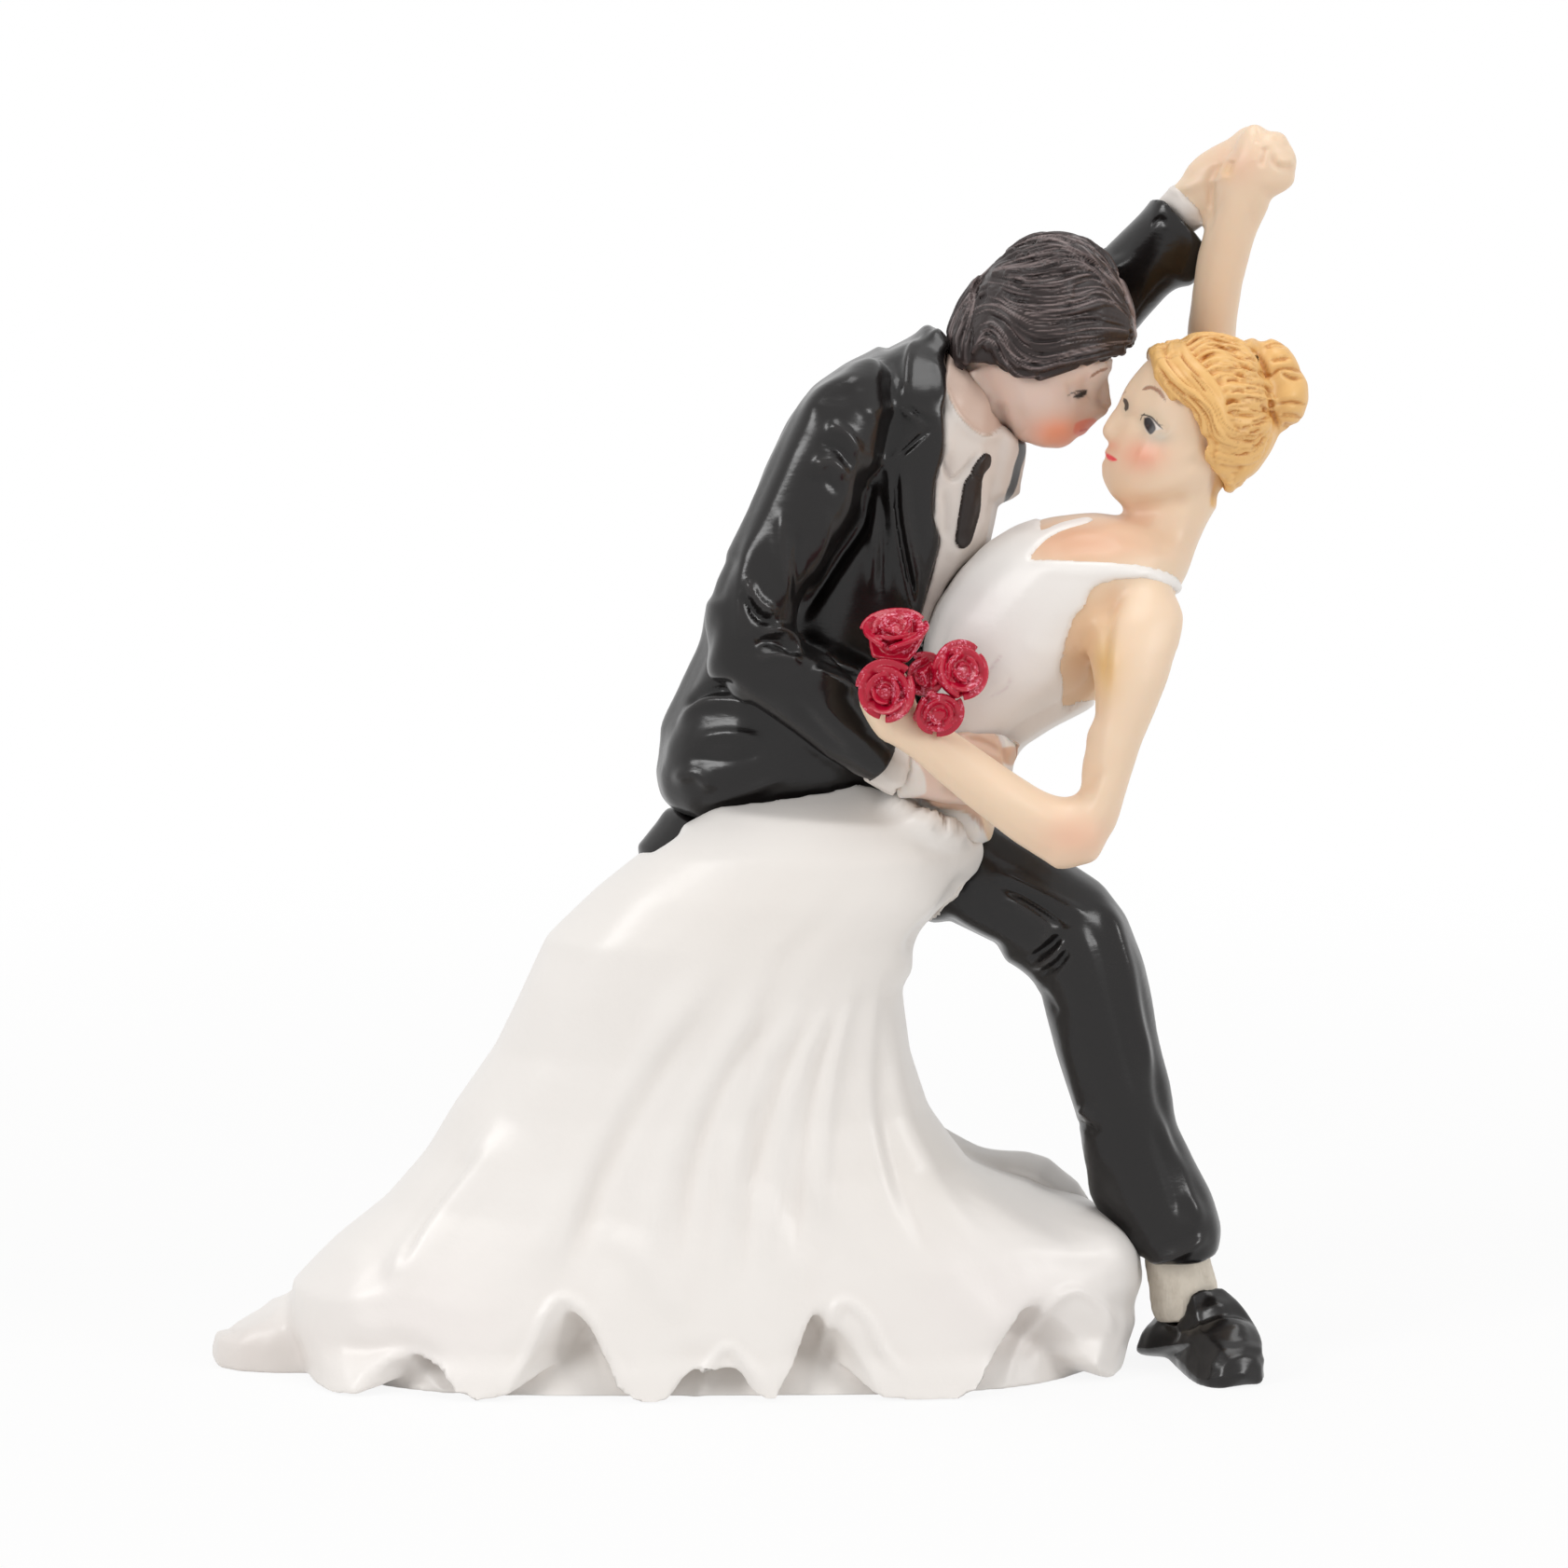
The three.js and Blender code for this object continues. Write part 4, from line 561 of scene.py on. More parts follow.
def painted(
    name, colour, hollow, roughness, ridge_sheen_and_wear=None, patches=0.15, patch_scale=140,
    mark_scale=(900, 900, 900), mark_depth=0.03, sheen_and_wear_amount=0.6, shine=0.5, flesh=0.0,
):
    """Brushed or sprayed paint, with painted shade and pooling in hollows, painted highlight and rubbed
    wear on ridges, and the tints on top.
    """
    paint = bpy.data.materials.new(name)
    paint.use_nodes = True
    tree = paint.node_tree
    shader = tree.nodes["Principled BSDF"]
    shader.inputs["Roughness"].default_value = roughness
    shader.inputs["Specular IOR Level"].default_value = shine
    if flesh:
        shader.inputs["Subsurface Weight"].default_value = flesh
        shader.inputs["Subsurface Radius"].default_value = FLESH_RADIUS
        shader.inputs["Subsurface Scale"].default_value = FLESH_DEPTH
    marks = add_node(tree, "ShaderNodeGroup", node_tree=PAINT_MARKS)
    marks.inputs["Patch Scale"].default_value = patch_scale
    marks.inputs["Mark Scale"].default_value = mark_scale
    # hollows are darker: painted shade and paint pooling
    pooled_and_shaded = add_node(tree, "ShaderNodeAttribute", attribute_name="hollow").outputs["Fac"]
    uneven = reckoned(tree, "SUBTRACT", marks.outputs["Mottle"], MOTTLE_MIDDLE)
    depth = reckoned(tree, "MULTIPLY_ADD", uneven, patches, pooled_and_shaded)
    depth.node.use_clamp = True
    base = add_node(tree, "ShaderNodeMix", {"Factor": depth}, data_type="RGBA")
    base.inputs[6].default_value = colour
    base.inputs[7].default_value = hollow
    shown = base.outputs[2]
    # ridges are lighter: painted highlight and rubbed wear
    if ridge_sheen_and_wear:
        ridge = add_node(tree, "ShaderNodeAttribute", attribute_name="ridge_sheen_and_wear").outputs["Fac"]
        ridge_mottle = reckoned(tree, "MULTIPLY", ridge, marks.outputs["Mottle"])
        ridge_lightening = add_node(tree, "ShaderNodeMapRange", {
            "Value": ridge_mottle, "From Min": SHEEN_AND_WEAR_START, "From Max": SHEEN_AND_WEAR_FULL, "To Max": sheen_and_wear_amount,
        })
        bare = add_node(tree, "ShaderNodeMix", {"Factor": ridge_lightening.outputs[0], 6: shown}, data_type="RGBA")
        bare.inputs[7].default_value = ridge_sheen_and_wear
        shown = bare.outputs[2]
    tint = add_node(tree, "ShaderNodeAttribute", attribute_name="tint")
    over = add_node(tree, "ShaderNodeMix", {
        "Factor": tint.outputs["Alpha"], 6: shown, 7: tint.outputs["Color"],
    }, data_type="RGBA")
    tree.links.new(over.outputs[2], shader.inputs["Base Color"])
    bump = add_node(tree, "ShaderNodeBump", {
        "Height": marks.outputs["Height"], "Strength": 1.0, "Distance": mark_depth * MM,
    })
    tree.links.new(bump.outputs[0], shader.inputs["Normal"])
    return paint


# Folds of the skirt: line on the chart, rise in mm, width of its left flank, and of the right one
# where that differs
GOWN_FOLDS = [
    ([(545, 1195), (510, 1245), (470, 1295), (435, 1345), (415, 1395)], 0.9, 30, 9),
    ([(528, 1225), (492, 1268), (455, 1318), (428, 1368)], -0.7, 5, 12),
    ([(600, 1010), (575, 1080), (525, 1160), (470, 1230)], 0.45, 22, 16),
    ([(745, 905), (690, 960), (640, 1040), (590, 1140), (540, 1240)], 0.35, 30, 22),
    ([(790, 1010), (715, 1110), (655, 1210), (610, 1310), (585, 1395)], 0.75, 16, 24),
    ([(760, 1075), (690, 1180), (640, 1280), (615, 1370)], -0.5, 14),
    ([(850, 1020), (790, 1110), (730, 1220), (700, 1330), (690, 1430)], 0.5, 16),
    ([(830, 1080), (775, 1170), (742, 1270), (728, 1380)], -0.4, 9),
    ([(868, 1060), (815, 1160), (785, 1270), (775, 1400)], 0.45, 10, 12),
    ([(900, 1050), (860, 1150), (835, 1260), (825, 1380)], 0.4, 9, 11),
    ([(885, 1070), (838, 1165), (808, 1275), (798, 1390)], -0.35, 7),
    ([(925, 1030), (900, 1120), (885, 1230), (885, 1350)], 0.5, 9, 12),
    ([(912, 1060), (880, 1150), (862, 1260), (855, 1370)], -0.35, 7),
    ([(950, 1010), (935, 1110), (940, 1220), (965, 1330)], 0.35, 9, 14),
    ([(962, 1080), (968, 1170), (1000, 1260), (1060, 1350)], 0.4, 14, 18),
    ([(948, 1090), (948, 1190), (975, 1290), (1020, 1390)], -0.35, 10, 12),
    ([(1010, 1215), (1060, 1285), (1120, 1330), (1180, 1360)], 0.35, 16, 20),
    ([(640, 1310), (700, 1370), (730, 1430)], 0.25, 16, 18),
    ([(985, 1340), (1040, 1400), (1080, 1450)], 0.3, 18, 20),
    ([(395, 1330), (380, 1390), (390, 1450)], 0.3, 16, 20),
]
# The rolled lip of the hem, over each arch from its left foot to its right one
HEM_LIP_RISE, HEM_LIP_WIDTH, HEM_LIP_DEPTHS = 0.45, 6, (-22, 4)
HEM_LIPS = [
    [(372, 1492), (395, 1470), (430, 1457), (462, 1470), (492, 1500)],
    [(530, 1502), (560, 1470), (583, 1420), (602, 1399), (628, 1415), (652, 1460), (680, 1502)],
    [(735, 1508), (757, 1478), (780, 1454), (805, 1474), (828, 1502)],
    [(868, 1500), (884, 1450), (903, 1405), (930, 1420), (952, 1462), (985, 1492)],
    [(1075, 1490), (1100, 1440), (1150, 1392), (1188, 1412), (1202, 1450)],
]
# Where the outline is drawn in or out: line on the chart, rise in mm, width
GOWN_RIMS = [
    ([(1050, 928), (1033, 957), (1012, 988), (988, 1012), (975, 1040)], -1.4, 12),
    ([
        (1050, 1225), (1100, 1250), (1132, 1273), (1156, 1300), (1182, 1335), (1206, 1370), (1214, 1410),
    ], 2.8, 26),
    ([(686, 908), (712, 893), (735, 874)], -0.9, 9),
    ([(950, 846), (980, 867), (1007, 885), (1048, 900)], 4.2, 15),
    ([(236, 1432), (262, 1410), (300, 1400)], -0.9, 14),
]
# The underskirt's lowest few millimetres reach forward, and the hem's feet less so, but further down
HEM_HEIGHT = 5.5 * MM
HEM_FRONT = -2.0 * MM
HEM_LAYERS = 7.0 * MM
UNDERSKIRT_REACH = 4.0 * MM
FEET_HELD = 0.7
FEET_HEIGHT = 3.0 * MM
FEET_DROP = 0.8
# Touches of paint, a darker warm tone under the jacket tail and in the back layer's recess and a rosy one
# at the hem: place on the chart, reach to the side and down, colour, strength
GOWN_PAINT = [
    ("dab", (900, 850), (130, 60), GOWN_WARM, 0.15),
    ("dab", (820, 980), (150, 90), GOWN_WARM, 0.3),
    ("dab", (1000, 1250), (90, 90), GOWN_WARM, 0.35),
    ("dab", (450, 1420), (110, 60), GOWN_ROSY, 0.4),
    ("dab", (1080, 1400), (120, 70), GOWN_ROSY, 0.4),
    # painted shade on the train tip
    ("dab", (275, 1450), (60, 40), GOWN_SHADE, 0.6),
]
gown_nodes = ["gown_skirt", "gown_underskirt", "gown_back_layer", "gown_train_tip"]
gown = Skin(casting("gown", gown_nodes, GOWN_GRAIN, GOWN_RELAX, GOWN_SWELL))
gown.soften_back(GOWN_BACK_RELAX)
gown.carve(GOWN_FOLDS)
for corners in HEM_LIPS:
    gown.stroke(corners, HEM_LIP_RISE, HEM_LIP_WIDTH, depths=HEM_LIP_DEPTHS)
gown.trim(GOWN_RIMS)
depth, height = gown.points[:, 1] - HEM_FRONT, gown.points[:, 2]
reach = eased(-depth / HEM_LAYERS) * (1 - FEET_HELD * eased(-depth / HEM_LAYERS - 1))
gown.points[:, 1] -= UNDERSKIRT_REACH * reach * eased(1 - height / HEM_HEIGHT)
gown.points[:, 2] -= FEET_DROP * height * eased(1 - height / FEET_HEIGHT)
gown.press()
gown.paint(GOWN_PAINT)
satin_white = painted("satin_white_paint", GOWN_WHITE, GOWN_HOLLOW, **SATIN)
gown.finish(satin_white, "gown_white", gown_nodes, GOWN_SHADE_AND_POOLING)

# The groom's near shoe: cast with his leg and dipped in black enamel, with a round toe cap and a
# low heel. Over it the ankle is bare cream resin, scratched and a little fibrous.
SHOE_GRAIN = 0.22 * MM
SHOE_RELAX = 30
SHOE_SHADE_AND_POOLING = (30, 0.5)
ANKLE_SHADE_AND_POOLING = (30, 0.4)
BLACK = (0.0075, 0.0062, 0.006, 1)
BLACK_HOLLOW = (0.002, 0.0016, 0.0016, 1)
BLACK_SHEEN_AND_WEAR = (0.06, 0.052, 0.05, 1)
BARE_RESIN = (0.72, 0.65, 0.55, 1)
BARE_HOLLOW = (0.47, 0.40, 0.31, 1)
ENAMEL = {
    "roughness": 0.24, "ridge_sheen_and_wear": BLACK_SHEEN_AND_WEAR, "sheen_and_wear_amount": 0.35, "shine": 0.4, "patches": 0.4,
    "mark_scale": (500, 500, 1300), "mark_depth": 0.04,
}
BARE = {
    "roughness": 0.7, "patches": 1.2, "patch_scale": 900, "mark_scale": (2600, 2600, 500),
    "mark_depth": 0.16,
}
SHOE_STROKES = [
    ([(1262, 1436), (1290, 1425), (1322, 1428), (1345, 1440)], -0.35, 4),
    ([(1275, 1450), (1300, 1440), (1330, 1445)], 0.4, 10),
    ([(1283, 1480), (1310, 1488), (1345, 1484)], 0.25, 5),
    ([(1240, 1418), (1262, 1430), (1268, 1448)], -0.3, 4),
    ([(1262, 1402), (1290, 1398), (1318, 1404)], 0.3, 7),
]
ANKLE_RIMS = [([(1246, 1325), (1246, 1375), (1248, 1435)], 1.3, 16)]
black_enamel = painted("black_enamel", BLACK, BLACK_HOLLOW, **ENAMEL)
bare_resin = painted("bare_cream_resin", BARE_RESIN, BARE_HOLLOW, **BARE)
# The shoe's outline, and the place from which it is drawn in or out
SHOE_MIDDLE = (1295, 1444)
SHOE_OUTLINE = [
    (1317, 1385), (1332, 1399), (1346, 1417), (1357, 1436), (1361, 1451), (1361, 1489), (1353, 1494),
    (1305, 1500), (1290, 1496), (1267, 1472), (1253, 1459), (1227, 1458), (1227, 1444), (1232, 1431),
    (1245, 1416), (1257, 1399), (1285, 1391),
]
shoe = Skin(casting("shoe", ["groom_shoe"], SHOE_GRAIN, SHOE_RELAX))
shoe.carve(SHOE_STROKES)
shoe.press()
shoe.shape(SHOE_MIDDLE, outline_change(shoe.points, SHOE_OUTLINE, SHOE_MIDDLE))
shoe.finish(black_enamel, "black_gloss", ["groom_shoe"], SHOE_SHADE_AND_POOLING)
ankle = Skin(casting("bare_ankle", ["groom_ankle"], SHOE_GRAIN, SHOE_RELAX))
ankle.trim(ANKLE_RIMS)
ankle.finish(bare_resin, "bare_resin", ["groom_ankle"], ANKLE_SHADE_AND_POOLING)

# The trousers: the front leg bends at the knee and stands on the ankle, the rear one runs down the
# back of the gown. Both are cast with the jacket and brushed with black enamel, unevenly at the hem.
TROUSER_GRAIN = 0.32 * MM
TROUSER_RELAX = 120
SUIT_SHADE_AND_POOLING = (50, 0.6)
TROUSER_FOLDS = [
    # fine crease and the soft fold at the hip
    ([(1066, 930), (1090, 940), (1121, 955), (1150, 970), (1172, 984)], 0.35, 5, 8),
    ([(1074, 946), (1104, 962), (1130, 978), (1152, 996)], -0.45, 5),
    ([(1076, 955), (1105, 974), (1126, 994), (1116, 1014)], 0.5, 8),
    # creases behind the knee
    ([(1104, 1030), (1124, 1016), (1143, 998)], -0.7, 5, 6),
    ([(1108, 1038), (1130, 1026), (1146, 1008)], 0.5, 4),
    ([(1113, 1048), (1136, 1034), (1150, 1014)], -0.6, 5),
    ([(1116, 1058), (1128, 1072), (1138, 1092)], -0.25, 5),
    # the shin's front edge, which catches the light
    ([(1176, 962), (1194, 985), (1207, 1025), (1221, 1075), (1235, 1125), (1246, 1170)], 0.7, 9, 7),
    ([(1160, 975), (1180, 1010), (1196, 1070), (1214, 1140), (1230, 1200)], -0.35, 14, 8),
    ([(1247, 1180), (1258, 1222), (1276, 1257), (1286, 1292), (1294, 1322)], 0.6, 8, 7),
    ([(1238, 1200), (1250, 1240), (1264, 1280), (1272, 1318)], -0.35, 8, 7),
    ([(1140, 1080), (1156, 1150), (1176, 1220), (1192, 1275)], 0.35, 8, 12),
    ([(1162, 1186), (1172, 1194), (1184, 1206)], 0.45, 4),
    ([(1158, 1200), (1172, 1208), (1182, 1218)], -0.4, 4),
    # the rough lower edge
    ([(1166, 1277), (1186, 1306), (1211, 1330), (1230, 1354)], 0.45, 5, 6),
    ([(1178, 1278), (1198, 1306), (1222, 1332)], -0.3, 5),
    ([(1227, 1356), (1266, 1350), (1304, 1328)], 0.45, 6, 5),
    ([(1236, 1338), (1266, 1334), (1290, 1322)], -0.25, 6),
]
# Where the outline is drawn in or out
FRONT_LEG_RIMS = [
    ([(1000, 982), (1040, 1008), (1085, 1030)], -1.3, 12),
    ([(1168, 1248), (1176, 1283), (1194, 1317), (1215, 1338), (1236, 1354)], 0.5, 9),
    ([(1212, 1030), (1240, 1110), (1258, 1200), (1280, 1268), (1292, 1312)], -0.8, 12),
]
REAR_LEG_RIMS = [([(724, 846), (708, 880), (688, 924)], 2.0, 16)]
front_leg_nodes = ["groom_front_trouser_leg"]
rear_leg_nodes = ["groom_rear_trouser_leg"]
front_leg = Skin(casting("front_trouser_leg", front_leg_nodes, TROUSER_GRAIN, TROUSER_RELAX))
front_leg.carve(TROUSER_FOLDS)
front_leg.trim(FRONT_LEG_RIMS)
front_leg.finish(black_enamel, "black_gloss", front_leg_nodes, SUIT_SHADE_AND_POOLING)
rear_leg = Skin(casting("rear_trouser_leg", rear_leg_nodes, TROUSER_GRAIN, TROUSER_RELAX))
rear_leg.trim(REAR_LEG_RIMS)
rear_leg.finish(black_enamel, "black_gloss", rear_leg_nodes, SUIT_SHADE_AND_POOLING)

# The jacket with both sleeves: one casting in black enamel, with lapels, a raised collar seam, a
# tail and deep creases where the near arm bends.
JACKET_GRAIN = 0.34 * MM
JACKET_SWELL = 0.22 * MM
JACKET_BACK_RELAX = 60
JACKET_RELAX = 150
# Folds: line on the chart, rise in mm, width of one or both flanks
JACKET_FOLDS = [
    # between the near sleeve and the body
    ([(925, 480), (934, 520), (929, 560), (903, 600), (876, 640), (858, 668)], -1.1, 6, 14),
    ([(858, 672), (868, 690), (892, 704), (922, 716), (940, 722)], -0.8, 12, 6),
    # sleeve head and the folds below it
    ([(865, 460), (878, 425), (905, 410), (930, 420)], 0.45, 14, 12),
    ([(886, 456), (908, 468), (924, 494)], 0.6, 6),
    ([(878, 476), (900, 484), (916, 506)], -0.5, 5),
    ([(871, 502), (892, 498), (912, 516)], 0.55, 6),
    ([(862, 520), (885, 516), (905, 532)], -0.35, 6),
    # long folds down the upper sleeve
    ([(842, 545), (840, 590), (850, 650)], 0.45, 9, 7),
    ([(862, 560), (856, 610), (858, 655)], -0.4, 6, 7),
    ([(888, 540), (884, 590), (870, 635)], 0.3, 8),
    ([(812, 560), (800, 610), (796, 665), (802, 700)], 0.4, 14, 8),
    # creases of the elbow
    ([(803, 618), (814, 644), (836, 660)], 0.65, 5),
    ([(800, 636), (812, 660), (836, 674)], -0.7, 5),
    ([(812, 676), (842, 676), (866, 700)], 0.6, 5),
    ([(806, 690), (836, 690), (858, 704)], -0.6, 5),
    ([(806, 708), (836, 703), (864, 710)], 0.45, 5),
    # ridges along the forearm
    ([(868, 718), (896, 728), (926, 744)], 0.5, 6, 7),
    ([(790, 722), (826, 760), (872, 797), (920, 826)], 0.35, 10, 8),
    ([(846, 742), (880, 785), (916, 820)], -0.4, 9),
    ([(870, 745), (905, 780), (940, 806)], 0.3, 9),
    ([(946, 840), (960, 824), (970, 806)], 0.35, 6),
    # collar seam and lapels
    ([(986, 358), (976, 380), (972, 405), (971, 434)], 0.5, 4),
    ([(970, 436), (986, 446), (1003, 458)], -0.5, 3),
    ([(1003, 458), (982, 474), (962, 492)], -0.5, 3),
    ([(962, 492), (963, 545), (972, 600), (984, 652)], -0.55, 3),
    ([(972, 495), (974, 545), (984, 600), (992, 640)], 0.35, 4, 10),
    ([(930, 500), (938, 560), (936, 640)], 0.3, 7, 5),
    ([(942, 510), (948, 570), (948, 650)], -0.3, 5),
    ([(1001, 380), (1010, 410), (1012, 440)], 0.25, 5),
    # collar under the hair
    ([(1000, 352), (1010, 364), (1018, 378)], 0.7, 8),
    # shoulder
    ([(900, 400), (940, 385), (968, 392)], 0.3, 14),
    ([(925, 452), (945, 440), (962, 446)], 0.3, 14, 12),
    # the tail under the elbow
    ([(733, 755), (760, 738), (795, 738)], -0.8, 7, 5),
    ([(722, 772), (755, 750), (790, 748), (812, 760)], 0.55, 6, 8),
    ([(745, 790), (785, 784), (825, 792)], 0.35, 6),
    ([(738, 806), (785, 812), (826, 802)], -0.3, 6),
    ([(722, 832), (750, 826), (772, 846)], 0.5, 7),
    ([(752, 862), (800, 848), (850, 828)], 0.3, 6),
    # raised sleeve: a small cut across its upper side
    ([(1231, 237), (1239, 241), (1247, 246)], -0.3, 2.5),
]
# Where the outline is drawn in or out
JACKET_RIMS = [
    ([(1002, 350), (950, 366), (903, 388), (856, 428), (820, 505), (790, 575), (768, 645)], -0.7, 13),
    ([(768, 645), (752, 695), (728, 750), (706, 800), (712, 850)], -0.9, 13),
    ([(940, 364), (965, 356), (1000, 350)], -0.7, 9),
    ([(765, 650), (775, 620), (785, 590)], -0.5, 10),
]
# The raised sleeve's outline, its middle, and the edges past which it lies
ACROSS, DOWN = 0, 1
RAISED_SLEEVE_EDGES = [(ACROSS, 1150, 20), (DOWN, 368, -12)]
RAISED_SLEEVE_MIDDLE = (1235, 275)
RAISED_SLEEVE_OUTLINE = [
    (1180, 267), (1210, 239), (1240, 211.5), (1258, 229), (1276, 246), (1290, 261), (1292.5, 269),
    (1290, 283), (1278, 302), (1272, 305), (1267, 304), (1252, 312), (1228, 339), (1212, 358),
    (1204, 368), (1165, 368), (1150, 335), (1150, 298),
]


def past(places, edges):
    """1 past all the edges, 0 before them: axis of each, place, and the run over which it eases in."""
    share = np.ones(len(places))
    for axis, place, run in edges:
        share = share * eased((places[:, axis] - place) / run)
    return share


jacket_nodes = ["groom_jacket", "groom_near_sleeve", "groom_raised_sleeve"]
jacket = Skin(casting("jacket", jacket_nodes, JACKET_GRAIN, JACKET_RELAX, JACKET_SWELL))
jacket.soften_back(JACKET_BACK_RELAX)
jacket.carve(JACKET_FOLDS)
jacket.trim(JACKET_RIMS)
jacket.press()
raised = past(jacket.seen, RAISED_SLEEVE_EDGES)
sleeve_change = outline_change(jacket.points[raised > 0], RAISED_SLEEVE_OUTLINE, RAISED_SLEEVE_MIDDLE)
jacket.shape(RAISED_SLEEVE_MIDDLE, sleeve_change, raised)
jacket.finish(black_enamel, "black_gloss", jacket_nodes, SUIT_SHADE_AND_POOLING)

# The shirt front with its open collar, the two cuffs and the tie: brushed over the same casting in
# off white and brown black, with a thin wavy edge where the paints meet.
SHIRT_GRAIN = 0.2 * MM
SHIRT_RELAX = 80
CUFF_RELAX = 40
NEAR_CUFF_SWELL = 0.15 * MM
SHIRT_SHADE_AND_POOLING = (40, 0.4)
TIE_SHADE_AND_POOLING = (15, 0.3)
SHIRT_WHITE = (0.76, 0.70, 0.65, 1)
SHIRT_HOLLOW = (0.5, 0.42, 0.37, 1)
SHIRT_SHADE = (0.52, 0.45, 0.41)
NECK_SKIN = (0.62, 0.46, 0.38)
COLLAR_SHADE_BROWN = (0.42, 0.25, 0.14)
STRIP_BLACK = (0.012, 0.01, 0.011)
TIE_BROWN = (0.028, 0.021, 0.019, 1)
MATT_WHITE = {"roughness": 0.42, "patches": 0.3, "mark_depth": 0.03}
SATIN_BROWN = {"roughness": 0.34, "mark_depth": 0.05, "shine": 0.3}
TIE_COAT = 0.42 * MM
COAT_EDGE_SINK = 0.12 * MM
COAT_THICKNESS = 0.6 * MM
COAT_LEAST_SHARE = 0.02
COLLAR_EDGE = [(1010, 388), (1014, 414), (1026, 442), (1044, 461), (1058, 467), (1071, 461)]
SHIRT_FOLDS = [
    # the collar's edge round the neck
    (COLLAR_EDGE + [(1079, 452)], 0.4, 3, 6),
    # the near collar wing
    ([(1008, 488), (1014, 504), (1023, 513), (1036, 502), (1054, 478)], -0.4, 3),
    ([(1012, 440), (1014, 470), (1016, 492)], 0.3, 6),
    # the cloth below it
    ([(1015, 600), (1040, 575), (1065, 545)], 0.3, 7),
    ([(1010, 640), (1035, 612), (1060, 590)], -0.3, 6),
    ([(1068, 500), (1062, 540), (1050, 580)], -0.25, 5),
    ([(1012, 520), (1016, 550), (1014, 580)], -0.25, 5),
]
SHIRT_RIMS = [([(1078, 452), (1081, 474), (1080, 498), (1077, 520), (1070, 540)], 2.1, 8)]
FAR_LAPEL = [(1093, 464), (1097, 480), (1092, 498), (1087, 518), (1078, 536)]
NECK_OPENING = [
    (1000, 380), (1010, 388), (1014, 414), (1026, 441), (1044, 460), (1058, 465), (1070, 459),
    (1080, 448), (1090, 430), (1060, 380), (1030, 370),
]
TIE_OUTLINE = [
    (1056, 485), (1061, 487), (1060, 498), (1053, 508), (1051, 522), (1050, 544), (1045.5, 563),
    (1040, 579), (1032, 586), (1026, 580), (1026.5, 566), (1030.5, 541), (1033.5, 519), (1040, 508),
    (1046, 496),
]
TIE_EDGE = 1.3
TIE_FOLDS = [
    ([(1041, 505), (1047, 510), (1054, 511)], -0.2, 2),
    ([(1045, 525), (1042, 550), (1034, 574)], 0.12, 4),
]
CUFF_FOLDS = [([(972, 846), (980, 828), (986, 806)], -0.25, 3)]
# Painted shade on the cloth, the skin in the open collar with painted shade along its edge, and the far
# lapel's black
SHIRT_PAINT = [
    ("dab", (1020, 640), (24, 40), SHIRT_SHADE, 0.45),
    ("dab", (1018, 498), (7, 14), SHIRT_SHADE, 0.6),
    ("fill", NECK_OPENING, NECK_SKIN, 0.95, 1.5),
    ("line", COLLAR_EDGE, COLLAR_SHADE_BROWN, 1.6, 0.55),
    ("line", FAR_LAPEL, STRIP_BLACK, 8, 1.0),
]


def coat_over(skin, share, rise, name):
    """A thick coat of paint as a piece of its own, where share is over 0, with sunk edges."""
    raised = skin.points + skin.normals * (share * (rise + COAT_EDGE_SINK) - COAT_EDGE_SINK)[:, None]
    builder = bmesh.new()
    builder.from_mesh(skin.mesh)
    builder.verts.ensure_lookup_table()
    for vertex, place in zip(builder.verts, raised):
        vertex.co = place
    bare = [vertex for vertex, held in zip(builder.verts, share) if held < COAT_LEAST_SHARE]
    bmesh.ops.delete(builder, geom=bare, context="VERTS")
    sheet = bpy.data.meshes.new(name)
    builder.to_mesh(sheet)
    builder.free()
    for noted in ("hollow", "ridge_sheen_and_wear", "tint"):
        sheet.attributes.remove(sheet.attributes[noted])
    piece = placed(name, sheet)
    back = piece.modifiers.new("back", "SOLIDIFY")
    back.thickness = COAT_THICKNESS
    back.offset = -1
    piece.data = evaluated(piece)
    return piece


shirt_white = painted("off_white_shirt_paint", SHIRT_WHITE, SHIRT_HOLLOW, **MATT_WHITE)
tie_brown = painted("brown_black_tie_paint", TIE_BROWN, BLACK_HOLLOW, **SATIN_BROWN)
shirt = Skin(casting("shirt", ["groom_shirt"], SHIRT_GRAIN, SHIRT_RELAX))
shirt.carve(SHIRT_FOLDS)
shirt.trim(SHIRT_RIMS)
shirt.press()
shirt.paint(SHIRT_PAINT)
shirt.finish(shirt_white, "shirt_white", ["groom_shirt"], SHIRT_SHADE_AND_POOLING)
tie_share = shirt.inside(TIE_OUTLINE, TIE_EDGE) * (shirt.facing > 0)
tie = Skin(coat_over(shirt, tie_share, TIE_COAT, "tie"))
tie.carve(TIE_FOLDS)
tie.finish(tie_brown, "tie_brown", ["groom_tie"], TIE_SHADE_AND_POOLING)
near_cuff = Skin(casting("near_cuff", ["groom_near_cuff"], SHIRT_GRAIN, CUFF_RELAX))
near_cuff.relief[:] = NEAR_CUFF_SWELL
near_cuff.carve(CUFF_FOLDS)
near_cuff.finish(shirt_white, "shirt_white", ["groom_near_cuff"], SHIRT_SHADE_AND_POOLING)

